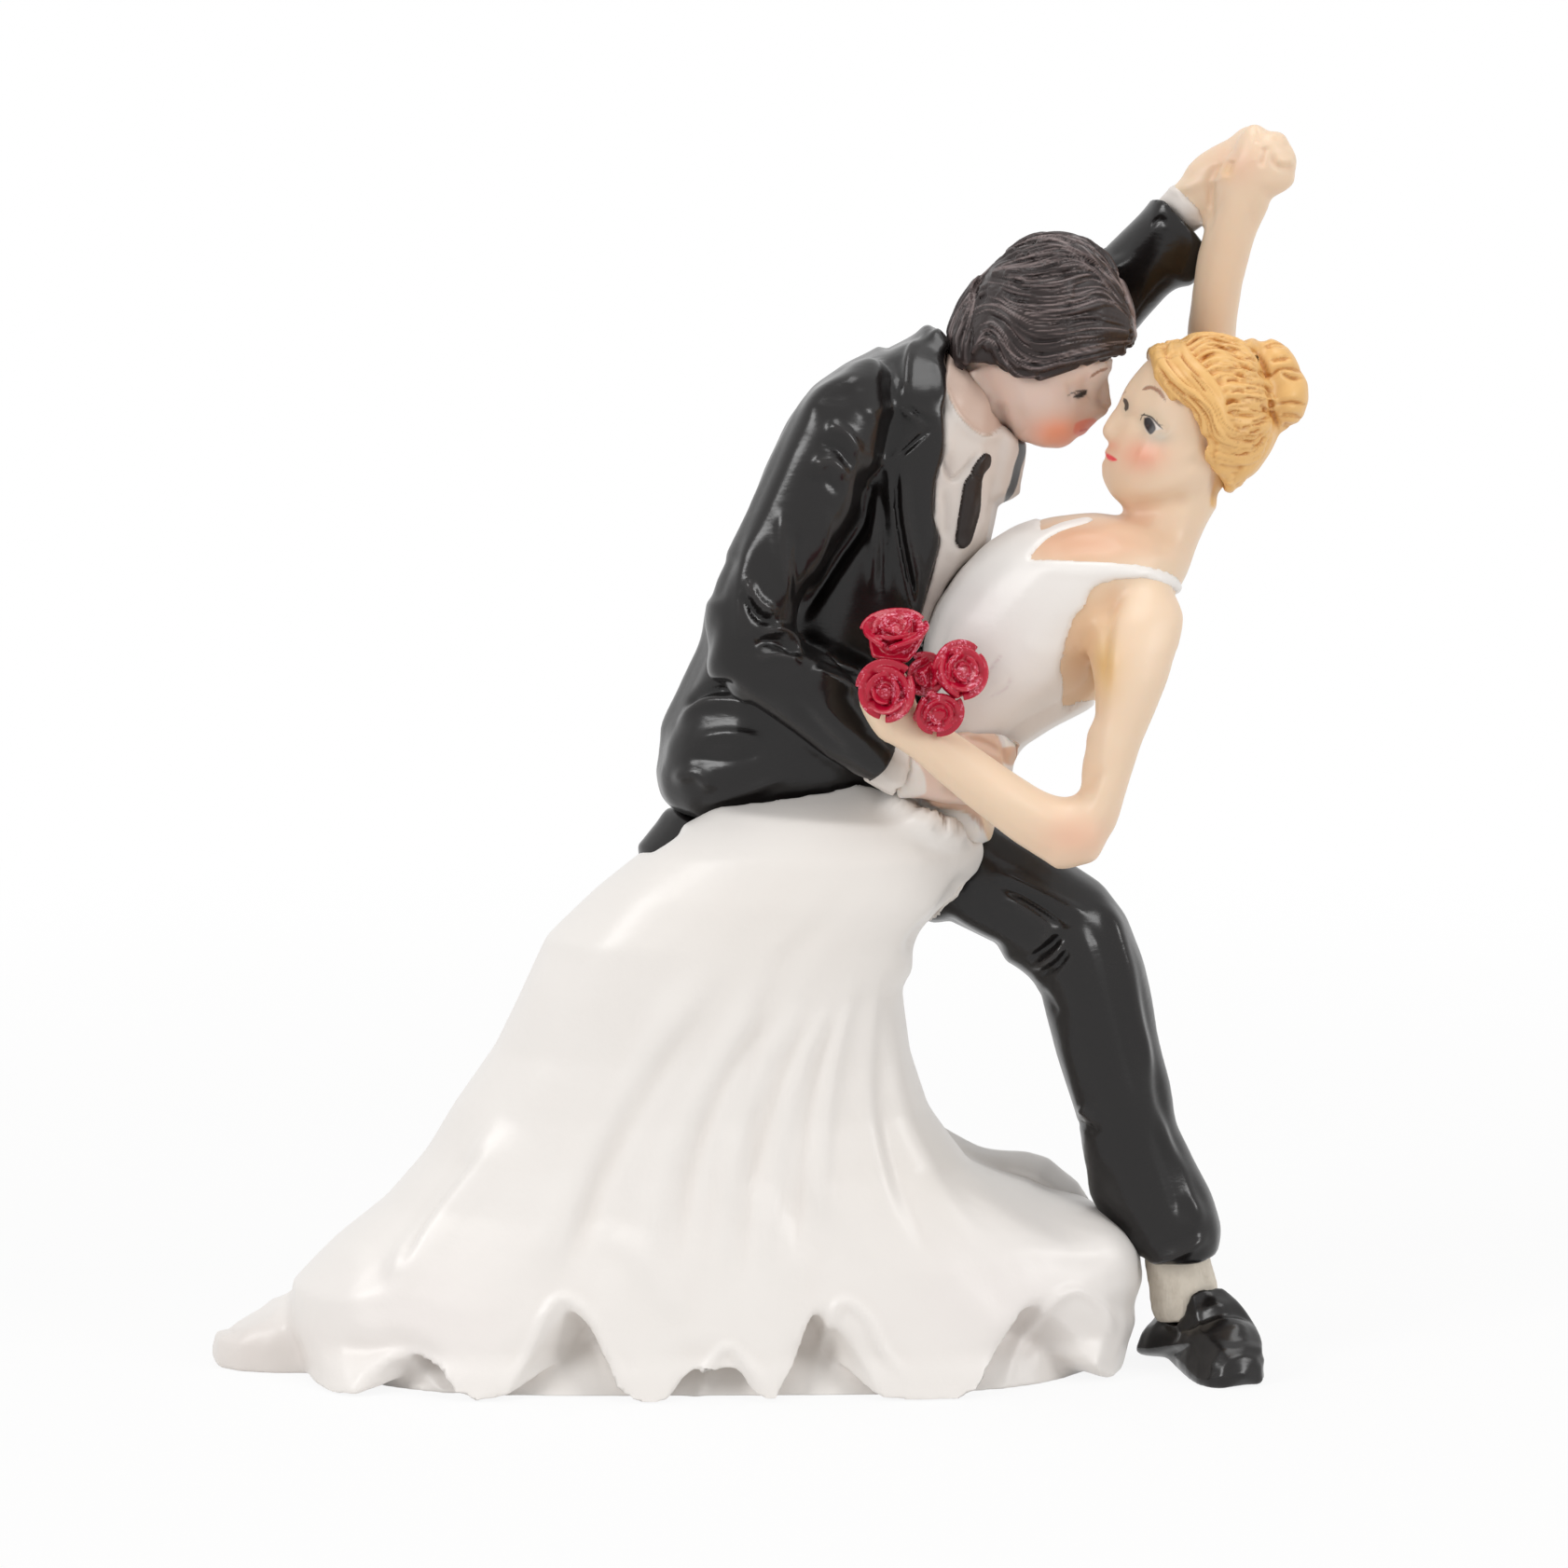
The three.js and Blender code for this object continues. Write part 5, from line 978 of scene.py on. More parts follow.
# The groom's head and neck, and his hand on the bride's waist: smooth pale resin. The eye, brow and
# lips are drawn with a fine brush, and the cheek is dusted with blush.
HEAD_GRAIN = 0.18 * MM
HEAD_RELAX = 180
HAND_RELAX = 90
CROWN_SINK = 0.5 * MM
GROOM_SKIN = (0.71, 0.54, 0.46, 1)
GROOM_SKIN_HOLLOW = (0.56, 0.38, 0.29, 1)
GROOM_PAINTED_HIGHLIGHT = (0.98, 0.86, 0.80)
GROOM_BLUSH = (0.98, 0.42, 0.27)
HAND_WARM = (0.76, 0.52, 0.38)
GROOM_SHADE = (0.36, 0.27, 0.23)
LINE_BLACK = (0.02, 0.016, 0.018)
BROW_BROWN = (0.33, 0.15, 0.09)
LIP_RED = (0.55, 0.05, 0.06)
LIP_CORAL = (0.84, 0.22, 0.16)
NECK_SHADE_BROWN = (0.36, 0.2, 0.11)
SMOOTH_SKIN = {"roughness": 0.42, "patches": 0.2, "patch_scale": 200, "mark_depth": 0.006, "flesh": 0.25}
HEAD_SHADE_AND_POOLING = (120, 0.9)
HAND_SHADE_AND_POOLING = (40, 0.6)
# The outline of his hair, to which the head under it is drawn in too
GROOM_HAIR_MIDDLE = (1112, 335)
GROOM_HAIR_OUTLINE = [
    (1134, 249), (1155, 253), (1175, 264), (1192, 280), (1202, 298), (1213, 325), (1219, 350),
    (1220, 366), (1195, 385), (1150, 396), (1118, 408), (1092, 406), (1060, 392), (1040, 404),
    (1026, 402), (1017, 385), (1016, 365), (1022, 340), (1034, 316), (1050, 296), (1066, 280),
    (1088, 262), (1110, 252),
]
GROOM_FACE_STROKES = [
    # the smooth swelling of the ear under the hair, and the hollow in front of it
    ([(1050, 386), (1046, 408), (1052, 430)], 0.5, 8, 9),
    ([(1066, 396), (1070, 425), (1074, 446)], -0.2, 8),
    # jaw and chin
    ([(1078, 462), (1105, 470), (1132, 474)], 0.25, 10),
    ([(1060, 470), (1072, 452), (1078, 430)], -0.2, 8),
    # eye socket and the lowered lid
    ([(1140, 420), (1155, 415), (1170, 412)], -0.4, 7),
    ([(1146, 427), (1156, 428), (1166, 424)], 0.18, 4),
    ([(1165, 403), (1178, 397), (1190, 393)], 0.25, 6),
    # the wing of the nose and the crease beside it
    ([(1176, 432), (1182, 437), (1187, 440)], 0.3, 3.5),
    ([(1172, 430), (1173, 438), (1176, 444)], -0.22, 3),
]
# The outline of his face, from the hair down the forehead, nose, lips, chin and jaw to the neck.
# It is drawn out most at the face's middle depth, and right of the ear and below the hair.
GROOM_FACE_DEPTH = 3.2 * MM
GROOM_FACE_BREADTH = 3.2 * MM
GROOM_FACE_EDGES = [(ACROSS, 1085, 20), (DOWN, 378, 8)]
GROOM_FACE_MIDDLE = (1125, 430)
GROOM_FACE_OUTLINE = [
    (1196, 381), (1193, 390), (1190, 397), (1188, 405), (1188, 412), (1189, 420), (1190.5, 430),
    (1192, 437), (1189, 441.5), (1184, 443.5), (1178, 446), (1175.5, 449), (1174, 452.5), (1169, 455.5),
    (1166, 456), (1166.5, 459), (1165, 462), (1160, 464.5), (1155, 466), (1152, 469), (1149, 473),
    (1143, 476.5), (1134, 478), (1122, 477), (1112, 474), (1096, 467), (1080, 458), (1060, 440),
    (1066, 385), (1100, 350), (1160, 350),
]
UNDER_HAIR_EDGE = 6
UNDER_GROOM_HAIR = [
    (960, 210), (1250, 210), (1250, 372), (1192, 382), (1150, 391), (1118, 402), (1092, 400),
    (1060, 388), (1040, 398), (1020, 398), (960, 380),
]
# Painted highlight on the brow, blush, painted shade in the eye socket, lips, eye, lashes, eyebrow, and
# painted shade at the neck
GROOM_LIPS = [
    (1152, 453), (1160, 449), (1172, 447), (1178, 452), (1168, 458), (1164, 466), (1151, 463),
]
GROOM_EYE = [(1149, 426), (1153, 422), (1159, 419.5), (1164, 419), (1163, 423), (1156, 427)]
GROOM_FACE_PAINT = [
    ("dab", (1184, 408), (20, 38), GROOM_PAINTED_HIGHLIGHT, 0.8),
    ("dab", (1134, 463), (27, 15), GROOM_BLUSH, 1.0),
    ("dab", (1140, 470), (20, 9), GROOM_BLUSH, 0.6),
    # painted shade in the eye socket
    ("dab", (1152, 425), (11, 7), GROOM_SHADE, 0.3),
    ("fill", GROOM_LIPS, LIP_CORAL, 0.75, 1.5),
    ("line", [(1157, 460.5), (1161, 459.5), (1166, 458)], LIP_RED, 2.0, 0.7),
    ("fill", GROOM_EYE, LINE_BLACK, 1.0, 0.8),
    ("line", [(1143, 424), (1151, 420.5), (1158, 418.5), (1165, 418)], LINE_BLACK, 1.8, 0.9, 0.8),
    ("line", [(1167, 405), (1176, 398.5), (1187, 394)], BROW_BROWN, 3.0, 0.8),
    # painted shade where the neck goes into the collar
    ("line", [(1015, 420), (1028, 450), (1047, 469), (1064, 472), (1078, 455)], NECK_SHADE_BROWN, 4, 0.45, 3),
]
# The lines between the fingers, and the paint of the cuff and the gown that runs onto the hand
WAIST_HAND_STROKES = [
    ([(1008, 842), (1030, 852), (1058, 868)], -0.3, 4),
    ([(1030, 790), (1055, 796), (1080, 810)], -0.3, 4),
    ([(1060, 776), (1071, 790), (1076, 808), (1078, 830)], -0.3, 5, 2),
]
WAIST_HAND_RIMS = [([(1080, 770), (1096, 792), (1098, 812), (1084, 836)], -0.9, 11)]
HAND_CUFF = [(950, 800), (976, 810), (990, 826), (994, 842), (990, 852), (960, 852)]
HAND_BODICE = [(1062, 774), (1071, 790), (1076, 808), (1078, 840), (1110, 850), (1115, 774)]
FINGERTIP = [(1070, 802), (1090, 801), (1088, 817), (1082, 820), (1070, 812)]
WAIST_HAND_PAINT = [
    ("dab", (1050, 800), (60, 40), HAND_WARM, 0.8),
    ("fill", HAND_CUFF, SHIRT_WHITE, 1.0, 1.5),
    ("fill", HAND_BODICE, GOWN_WHITE, 1.0, 1.5),
    ("fill", FINGERTIP, HAND_WARM, 1.0, 1.5),
]
groom_skin = painted("groom_skin_paint", GROOM_SKIN, GROOM_SKIN_HOLLOW, **SMOOTH_SKIN)
groom_head = Skin(casting("head_of_groom", ["groom_head"], HEAD_GRAIN, HEAD_RELAX))
groom_hair_change = outline_change(solid_points(["groom_hair"]), GROOM_HAIR_OUTLINE, GROOM_HAIR_MIDDLE)
under_hair = groom_head.inside(UNDER_GROOM_HAIR, UNDER_HAIR_EDGE)
groom_head.carve(GROOM_FACE_STROKES)
groom_head.relief -= under_hair * CROWN_SINK
groom_head.press()
groom_head.shape(GROOM_HAIR_MIDDLE, groom_hair_change, under_hair)
face_change = outline_change(groom_head.points, GROOM_FACE_OUTLINE, GROOM_FACE_MIDDLE)
face_share = np.exp(-((groom_head.points[:, 1] - GROOM_FACE_DEPTH) / GROOM_FACE_BREADTH) ** 2)
face_share *= past(groom_head.seen, GROOM_FACE_EDGES)
groom_head.shape(GROOM_FACE_MIDDLE, face_change, face_share)
groom_head.paint(GROOM_FACE_PAINT)
groom_head.finish(groom_skin, "groom_skin", ["groom_head"], HEAD_SHADE_AND_POOLING)
waist_hand = Skin(casting("hand_on_waist", ["groom_waist_hand"], HEAD_GRAIN, HAND_RELAX))
waist_hand.carve(WAIST_HAND_STROKES)
waist_hand.trim(WAIST_HAND_RIMS)
waist_hand.press()
waist_hand.paint(WAIST_HAND_PAINT)
waist_hand.finish(groom_skin, "groom_skin", ["groom_waist_hand"], HAND_SHADE_AND_POOLING)

# The groom's hair: cast on the head and painted dark brown. Many fine wavy locks sweep from the
# crown round to the front, and short curls fall to the nape; their ridges are paler, with painted
# highlights and rubbed paint.
HAIR_GRAIN = 0.175 * MM
GROOM_CAP_SINK = 0.55 * MM
HAIR_CAP_RELAX = 160
HAIR_BLEND = 1
DARK_HAIR = (0.03, 0.021, 0.02, 1)
DARK_HAIR_HOLLOW = (0.012, 0.008, 0.008, 1)
DARK_HAIR_SHEEN_AND_WEAR = (0.30, 0.22, 0.215, 1)
HAIR_PALE = (0.42, 0.33, 0.32)
DARK_PAINT = {
    "roughness": 0.4, "ridge_sheen_and_wear": DARK_HAIR_SHEEN_AND_WEAR, "patches": 0.5, "patch_scale": 420, "sheen_and_wear_amount": 0.5,
    "mark_depth": 0.03, "shine": 0.3,
}
GROOM_HAIR_SHADE_AND_POOLING = (30, 0.25)
GROOM_SIDE_LOCKS = [
    [(1072, 270), (1095, 258), (1122, 252), (1145, 253), (1170, 264)],
    [(1065, 281), (1095, 265), (1128, 260), (1153, 270), (1174, 286), (1197, 297)],
    [(1059, 291), (1084, 283), (1113, 275), (1141, 272), (1166, 283), (1185, 300), (1199, 316)],
    [(1054, 296), (1080, 291), (1109, 291), (1137, 283), (1158, 284), (1180, 302), (1201, 327)],
    [(1053, 298), (1072, 302), (1095, 308), (1132, 309), (1160, 300), (1178, 300), (1206, 335)],
    [(1049, 306), (1069, 314), (1088, 323), (1118, 327), (1153, 323), (1180, 316), (1206, 337)],
    [(1046, 319), (1065, 318), (1084, 330), (1113, 336), (1151, 333), (1185, 327), (1212, 346)],
    [(1042, 335), (1061, 327), (1082, 339), (1103, 352), (1134, 352), (1170, 346), (1216, 354)],
    [(1042, 344), (1059, 339), (1078, 350), (1095, 369), (1118, 379), (1151, 373), (1218, 364)],
    [(1046, 354), (1061, 346), (1076, 362), (1088, 384), (1109, 396), (1141, 388), (1216, 370)],
    [(1046, 365), (1059, 354), (1072, 371), (1080, 392), (1094, 403), (1114, 405)],
    [(1044, 379), (1055, 366), (1064, 372), (1072, 384), (1082, 394)],
]
GROOM_NAPE_LOCKS = [
    [(1072, 270), (1053, 293), (1040, 316), (1026, 335), (1019, 358), (1019, 379), (1023, 398)],
    [(1065, 283), (1049, 302), (1042, 325), (1034, 350), (1028, 369), (1031, 402)],
    [(1057, 293), (1047, 316), (1043, 339), (1040, 362), (1038, 383), (1040, 402)],
]
GROOM_FRINGE_LOCKS = [
    [(1134, 251), (1157, 258), (1176, 270), (1193, 289), (1204, 312), (1212, 335), (1218, 354)],
    [(1145, 253), (1166, 277), (1183, 297), (1199, 312), (1208, 331), (1216, 352)],
]
GROOM_HAIR_DEPTH = 3.2
# How the locks lie: guides, locks from one to the next, radius, how far sunk and waved in mm
GROOM_COMBING = [
    (GROOM_SIDE_LOCKS, 3, 0.5, 0.2, 0.14),
    (GROOM_NAPE_LOCKS, 3, 0.5, 0.2, 0.16),
    (GROOM_FRINGE_LOCKS, 3, 0.45, 0.22, 0.1, False),
]
# Grooves and pale marks (painted highlights and rubbed paint) between the guides, how many to each, and
# how each one is drawn
GROOM_GROOVES = [(GROOM_SIDE_LOCKS, 5), (GROOM_NAPE_LOCKS, 5)]
GROOM_SHEEN_AND_RUB_MARKS = [(GROOM_SIDE_LOCKS, 6), (GROOM_NAPE_LOCKS, 6), (GROOM_FRINGE_LOCKS, 6)]
HAIR_GROOVE = (-0.28, 1.3, 1.3)
HAIR_SHEEN_AND_RUB = (HAIR_PALE, 1.1, 0.45, 1.4)
# paler paint along the front of the fringe: painted highlight and rubbed paint
GROOM_HAIR_PAINT = [("line", [(1196, 292), (1208, 320), (1215, 345), (1217, 365)], HAIR_PALE, 4, 0.6, 3)]
# A lock: its points and corners, the thickness of its tips, and how far chance moves, waves and
# swells it. A mark: how far chance moves it, where it starts, how long it is and how it wanders.
LOCK_POINTS = 40
LOCK_CORNERS = 8
LOCK_TIP_SHARE, LOCK_TAPER = 0.35, 3
LOCK_STRAY = (-0.15, 0.15)
LOCK_WAVES = (5, 9)
WAVE_START = (0, 6)
WAVE_WAY = (0.4, 0, 1)
LOCK_SIZES = (0.75, 1.25)
MARK_STRAY = (-0.2, 0.2)
MARK_START = (0, 0.6)
MARK_LENGTH = (0.25, 0.6)
MARK_STEP = 3
MARK_TURNS = (0.8, 1.6)
MARK_WANDER = (0.4, 1.4)
HAIR_SEED, LOCK_SEED = 3, 7


def make_lock_tree():
    """Geometry nodes that turn a net of lines into round locks, as thick as each point says."""
    tree, start = new_group(
        "locks", "GeometryNodeTree", {"Lines": "Geometry", "Corners": "Int", "Paint": "Material"},
        {"Locks": "Geometry"},
    )
    curve = add_node(tree, "GeometryNodeMeshToCurve", {"Mesh": start.outputs["Lines"]})
    thick = add_node(tree, "GeometryNodeInputNamedAttribute", {"Name": "thick"}, data_type="FLOAT")
    ring = add_node(tree, "GeometryNodeCurvePrimitiveCircle", {
        "Resolution": start.outputs["Corners"], "Radius": 1.0,
    })
    tube = add_node(tree, "GeometryNodeCurveToMesh", {
        "Curve": curve.outputs[0], "Profile Curve": ring.outputs[0],
        "Scale": thick.outputs["Attribute"], "Fill Caps": True,
    })
    plain = add_node(tree, "GeometryNodeRealizeInstances", {"Geometry": tube.outputs[0]})
    coated = add_node(tree, "GeometryNodeSetMaterial", {
        "Geometry": plain.outputs[0], "Material": start.outputs["Paint"],
    })
    add_node(tree, "NodeGroupOutput", {"Locks": coated.outputs[0]})
    return tree


LOCK_TREE = make_lock_tree()


def grown(tree, name, mesh, **values):
    """The plain mesh that a tree of geometry nodes makes of a mesh, its inputs set by identifier."""
    piece = placed(name, mesh)
    maker = piece.modifiers.new(name, "NODES")
    maker.node_group = tree
    for item in tree.interface.items_tree:
        if item.in_out == "INPUT" and item.name in values:
            maker[item.identifier] = values[item.name]
    made = evaluated(piece)
    bpy.data.objects.remove(piece)
    return made


def evenly(path, count):
    """A path with a number of points at even steps."""
    lengths = np.concatenate([[0], np.cumsum(np.linalg.norm(np.diff(path, axis=0), axis=1))])
    ways = np.linspace(0, lengths[-1], count)
    return np.column_stack([np.interp(ways, lengths, path[:, axis]) for axis in range(path.shape[1])])


def surface_of(mesh):
    """A mesh's faces in a form that finds the nearest point on them."""
    corners = [vertex.co for vertex in mesh.vertices]
    return BVHTree.FromPolygons(corners, [face.vertices for face in mesh.polygons])


class Comb:
    """Lays locks on a cap of hair between given guides, and the same on its far side."""

    def __init__(self, cap, middle_depth):
        self.cap = surface_of(cap)
        self.middle = middle_depth * MM
        self.dice = np.random.default_rng(LOCK_SEED)
        self.points, self.edges, self.thick = [], [], []

    def touch(self, place):
        """The near side of the cap at a place on the chart, or its outline beside it."""
        aim = from_chart(place, self.middle)
        hit = self.cap.ray_cast(VIEWPOINT, (aim - VIEWPOINT).normalized())[0]
        return hit or self.cap.find_nearest(aim)[0]

    def lay(self, path, radius, sink):
        """One lock: pulled onto the cap, sunk a little, and tapered to both ends."""
        first = len(self.points)
        share = np.linspace(0, 1, len(path))
        taper = np.minimum(1, LOCK_TIP_SHARE + LOCK_TAPER * np.minimum(share, 1 - share))
        for point, width in zip(path, taper * radius):
            near, normal = self.cap.find_nearest(Vector(point))[:2]
            self.points.append(near + normal * sink)
            self.thick.append(width)
        self.edges += [(index, index + 1) for index in range(first, len(self.points) - 1)]

    def spread(self, guides, between, radius, sink, wave, both_sides=True):
        """Locks on each guide and a number between it and the next, wavering a little."""
        drawn = []
        for guide in guides:
            touched = np.array([self.touch(place) for place in smooth_path(guide)])
            drawn.append(evenly(touched, LOCK_POINTS))
        share = np.linspace(0, 1, LOCK_POINTS)
        for index, (upper, lower) in enumerate(zip(drawn, drawn[1:] + [drawn[-1]])):
            count = between if index < len(drawn) - 1 else 1
            for step in range(count):
                mix = (step + self.dice.uniform(*LOCK_STRAY)) / count
                path = upper * (1 - mix) + lower * mix
                waves = share * self.dice.uniform(*LOCK_WAVES) + self.dice.uniform(*WAVE_START)
                path = path + np.outer(np.sin(waves) * wave * MM, WAVE_WAY)
                size = radius * MM * self.dice.uniform(*LOCK_SIZES)
                self.lay(path, size, sink * MM)
                if both_sides:
                    far = path.copy()
                    far[:, 1] = 2 * self.middle - far[:, 1]
                    self.lay(far, size, sink * MM)

    def mesh(self):
        lines = bpy.data.meshes.new("lock_lines")
        lines.from_pydata(self.points, self.edges, [])
        lines.attributes.new("thick", "FLOAT", "POINT").data.foreach_set("value", self.thick)
        return lines


def comb_marks(places, draw, settings):
    """Short broken marks along and between guides, each drawn by the function draw."""
    for guides, between in places:
        paths = [evenly(smooth_path(guide), LOCK_POINTS) for guide in guides]
        for upper, lower in zip(paths, paths[1:]):
            for step in range(between):
                mix = (step + hair_dice.uniform(*MARK_STRAY)) / between
                first = int(hair_dice.uniform(*MARK_START) * LOCK_POINTS)
                last = min(LOCK_POINTS, first + int(hair_dice.uniform(*MARK_LENGTH) * LOCK_POINTS))
                path = (upper * (1 - mix) + lower * mix)[first:last:MARK_STEP]
                turns = np.arange(len(path)) * hair_dice.uniform(*MARK_TURNS)
                wander = np.sin(turns + hair_dice.uniform(*WAVE_START)) * hair_dice.uniform(*MARK_WANDER)
                draw(path + np.outer(wander, (0, 1)), *settings)


def head_of_hair(name, nodes, middle, change, sink, depth, combing, paint, swell=0.0):
    """A smooth cap of hair, drawn to its outline and sunk, with locks netted onto it."""
    cap = casting(f"{name}_cap", nodes, HEAD_GRAIN, HAIR_CAP_RELAX, swell)
    set_points(cap.data, shaped(points_of(cap.data), middle, change))
    set_points(cap.data, points_of(cap.data) - normals_of(cap.data) * sink)
    comb = Comb(cap.data, depth)
    for guides, *settings in combing:
        comb.spread(guides, *settings)
    locks = grown(LOCK_TREE, f"{name}_locks", comb.mesh(), Corners=LOCK_CORNERS, Paint=paint)
    piece = netted(name, [cap.data, locks], HAIR_GRAIN)
    bpy.data.objects.remove(cap)
    set_points(piece.data, relaxed(piece.data, points_of(piece.data), HAIR_BLEND))
    return Skin(piece)


hair_dice = np.random.default_rng(HAIR_SEED)
dark_hair = painted("dark_brown_hair_paint", DARK_HAIR, DARK_HAIR_HOLLOW, **DARK_PAINT)
groom_hair = head_of_hair(
    "hair_of_groom", ["groom_hair"], GROOM_HAIR_MIDDLE, groom_hair_change, GROOM_CAP_SINK,
    GROOM_HAIR_DEPTH, GROOM_COMBING, dark_hair,
)
comb_marks(GROOM_GROOVES, groom_hair.stroke, HAIR_GROOVE)
groom_hair.press()
comb_marks(GROOM_SHEEN_AND_RUB_MARKS, groom_hair.line, HAIR_SHEEN_AND_RUB)
groom_hair.paint(GROOM_HAIR_PAINT)
groom_hair.finish(dark_hair, "dark_hair", ["groom_hair"], GROOM_HAIR_SHADE_AND_POOLING)

# The bride's figure with both arms, and the clasped hands over the couple's heads: one casting of
# warm, slightly translucent resin. Her face is painted by hand and her elbow and cheek are blushed.
BRIDE_GRAIN = 0.37 * MM
BRIDE_SWELL = 0.18 * MM
BRIDE_RELAX = 90
BRIDE_SKIN = (0.83, 0.635, 0.46, 1)
BRIDE_SKIN_HOLLOW = (0.74, 0.46, 0.28, 1)
BRIDE_BLUSH = (0.86, 0.30, 0.19)
ARM_BLUSH = (0.78, 0.42, 0.29)
CHEST_WARM = (0.72, 0.41, 0.26)
CREASE_SHADE_YELLOW = (0.76, 0.48, 0.18)
ARMPIT_SHADE_TAN = (0.70, 0.42, 0.22)
LID_TEAL = (0.33, 0.36, 0.30)
BRIGHT_LIP = (0.85, 0.05, 0.08)
WAIST_SKIN = (0.60, 0.39, 0.29)
EYE_WHITE = (0.72, 0.66, 0.62)
NAPE_HONEY = (0.74, 0.42, 0.13)
WARM_SKIN = {"roughness": 0.42, "patches": 0.25, "patch_scale": 120, "mark_depth": 0.006, "flesh": 0.15}
BRIDE_SHADE_AND_POOLING = (90, 1.0)
BRIDE_FACE_DEPTH = -2.0
BRIDE_STROKES = [
    # eye sockets, cheek, jaw and the side of the nose
    ([(1206, 440), (1216, 452), (1228, 464)], -0.25, 7),
    ([(1224, 447), (1238, 456), (1250, 468)], -0.2, 7),
    ([(1214, 486), (1228, 492), (1244, 494)], 0.2, 12),
    ([(1203, 532), (1228, 528), (1262, 518), (1290, 505)], 0.2, 10, 12),
    ([(1208, 548), (1240, 545), (1275, 530)], -0.3, 10),
    # collar bone, throat and shoulder
    ([(1128, 583), (1165, 572), (1205, 566), (1245, 575)], 0.2, 8),
    ([(1120, 596), (1160, 586), (1200, 584)], -0.22, 8),
    ([(1252, 545), (1250, 575), (1240, 600)], -0.2, 10),
    # the crease where the arm meets the chest
    ([(1206, 622), (1188, 660), (1180, 705), (1178, 748)], -0.7, 7, 12),
    ([(1222, 640), (1210, 700), (1196, 770), (1170, 840)], 0.3, 16, 18),
    # elbow, forearm and the hand that holds the roses
    ([(1148, 852), (1165, 845), (1182, 820)], -0.3, 8),
    ([(1120, 925), (1150, 918), (1186, 890)], 0.3, 14),
    ([(960, 790), (1030, 840), (1100, 884)], 0.25, 16),
    ([(925, 745), (938, 768), (962, 790)], 0.25, 7),
]
HAND_STROKES = [
    # fingers and the seam between his hand and hers
    ([(1352, 158), (1350, 170), (1347, 184)], -0.35, 3.5),
    ([(1338, 138), (1341, 148), (1344, 156)], -0.2, 3.5),
    ([(1359, 166), (1362, 179), (1372, 183), (1384, 181)], -0.3, 3.5),
    ([(1360, 146), (1368, 156), (1380, 161)], -0.15, 4),
    ([(1316, 172), (1313, 181), (1310, 192)], -0.35, 3.5, 4.5),
    ([(1312, 172), (1298, 184), (1292, 205), (1290, 235), (1289, 262)], -0.4, 5, 4),
    ([(1362, 172), (1372, 175), (1382, 173)], 0.2, 5),
]
HANDS_MIDDLE = (1325, 190)
HANDS_OUTLINE = [
    (1262, 196), (1269, 181), (1282, 168), (1298, 158), (1315.5, 149), (1323.5, 141.5), (1333, 137),
    (1346, 137), (1354, 144), (1368, 144), (1373, 149.5), (1378.5, 159), (1383, 168), (1385, 176.5),
    (1382.5, 188), (1384, 196), (1375, 205), (1359, 214), (1354, 228), (1344, 250), (1337, 267),
    (1332, 292), (1282, 292), (1290, 258), (1289, 248), (1266, 238), (1252, 225), (1240.5, 211.5),
    (1254, 200.5),
]
# Brow, nose, lips and chin: place, radius and rise in mm
BRIDE_PROFILE_BUMPS = [
    ((1198, 447), 1.8, 0.25),
    ((1187, 463), 0.9, 0.3),
    ((1187, 475), 0.7, -0.3),
    ((1186, 483), 0.7, 0.3),
    ((1187, 489.5), 0.5, -0.25),
    ((1188, 495), 0.7, 0.25),
    ((1184, 509), 1.6, 0.3),
    ((1206, 432), 2.2, 0.4),
    ((1209, 416), 2.2, 0.2),
]
NAPE_HAIR = [(1302, 500), (1317, 519), (1330, 516), (1313, 532), (1300, 543), (1295, 536)]
ELBOW_RIMS = [([(1172, 765), (1167, 800), (1162, 825), (1145, 850)], 0.9, 8)]
# The near forearm and elbow are drawn up a little, the hand to the right and the upper arm to the left
ARM_LIFT = 2.1 * MM
ELBOW_LIFT = 1.5 * MM
HAND_SHIFT = 0.9 * MM
ARM_SHIFT = 0.7 * MM
ARM_FRONT = -7.5 * MM
ELBOW_EDGES = [(ACROSS, 1000, 150)]
FOREARM_EDGES = [(ACROSS, 925, 70), (DOWN, 640, 140)]
HAND_EDGES = [(ACROSS, 1010, -60), (DOWN, 640, 100)]
UPPER_ARM_EDGES = [(ACROSS, 1165, 30), (DOWN, 660, 60)]
CLASPED_EDGES = [(DOWN, 292, -60)]
# The waist runs down into the gown. Here the edges are axes of the figure, with places in mm.
WAIST_DROP = 0.9 * MM
WAIST_SIDES = [(0, 33, -3), (1, -13, 1.5)]
WAIST_HEIGHT = [(2, 64, -3.5)]
# The hip is set back under the gown and painted white, up to the skin over it
HIP_SET_BACK = 1.6 * MM
HIP_BEHIND = -13
HIP_EDGE = 4
HIP_WHITE = [
    (950, 850), (985, 852), (1003, 865), (1020, 868), (1038, 871), (1056, 881), (1062, 910),
    (1015, 910), (975, 895), (945, 870),
]
HIP_SKIN = [
    (980, 812), (986, 851), (1003, 864.5), (1020, 867.5), (1038, 870.5), (1057, 882), (1030, 832),
    (1000, 806),
]
BRIDE_HAIR_MIDDLE = (1318, 430)
BRIDE_HAIR_OUTLINE = [
    (1233, 370), (1252, 365), (1274, 360.5), (1293.5, 358.5), (1313, 362), (1325, 365.5), (1333, 361),
    (1345, 358), (1360, 360), (1376, 368.5), (1389, 388), (1400, 407), (1401, 432), (1392, 455),
    (1376, 464), (1366, 479), (1354, 499), (1340, 514), (1322, 523), (1309, 525), (1306, 508),
    (1290, 493), (1281, 477), (1274, 452), (1249, 426), (1232, 400),
]
CROWN_BACK = 6 * MM
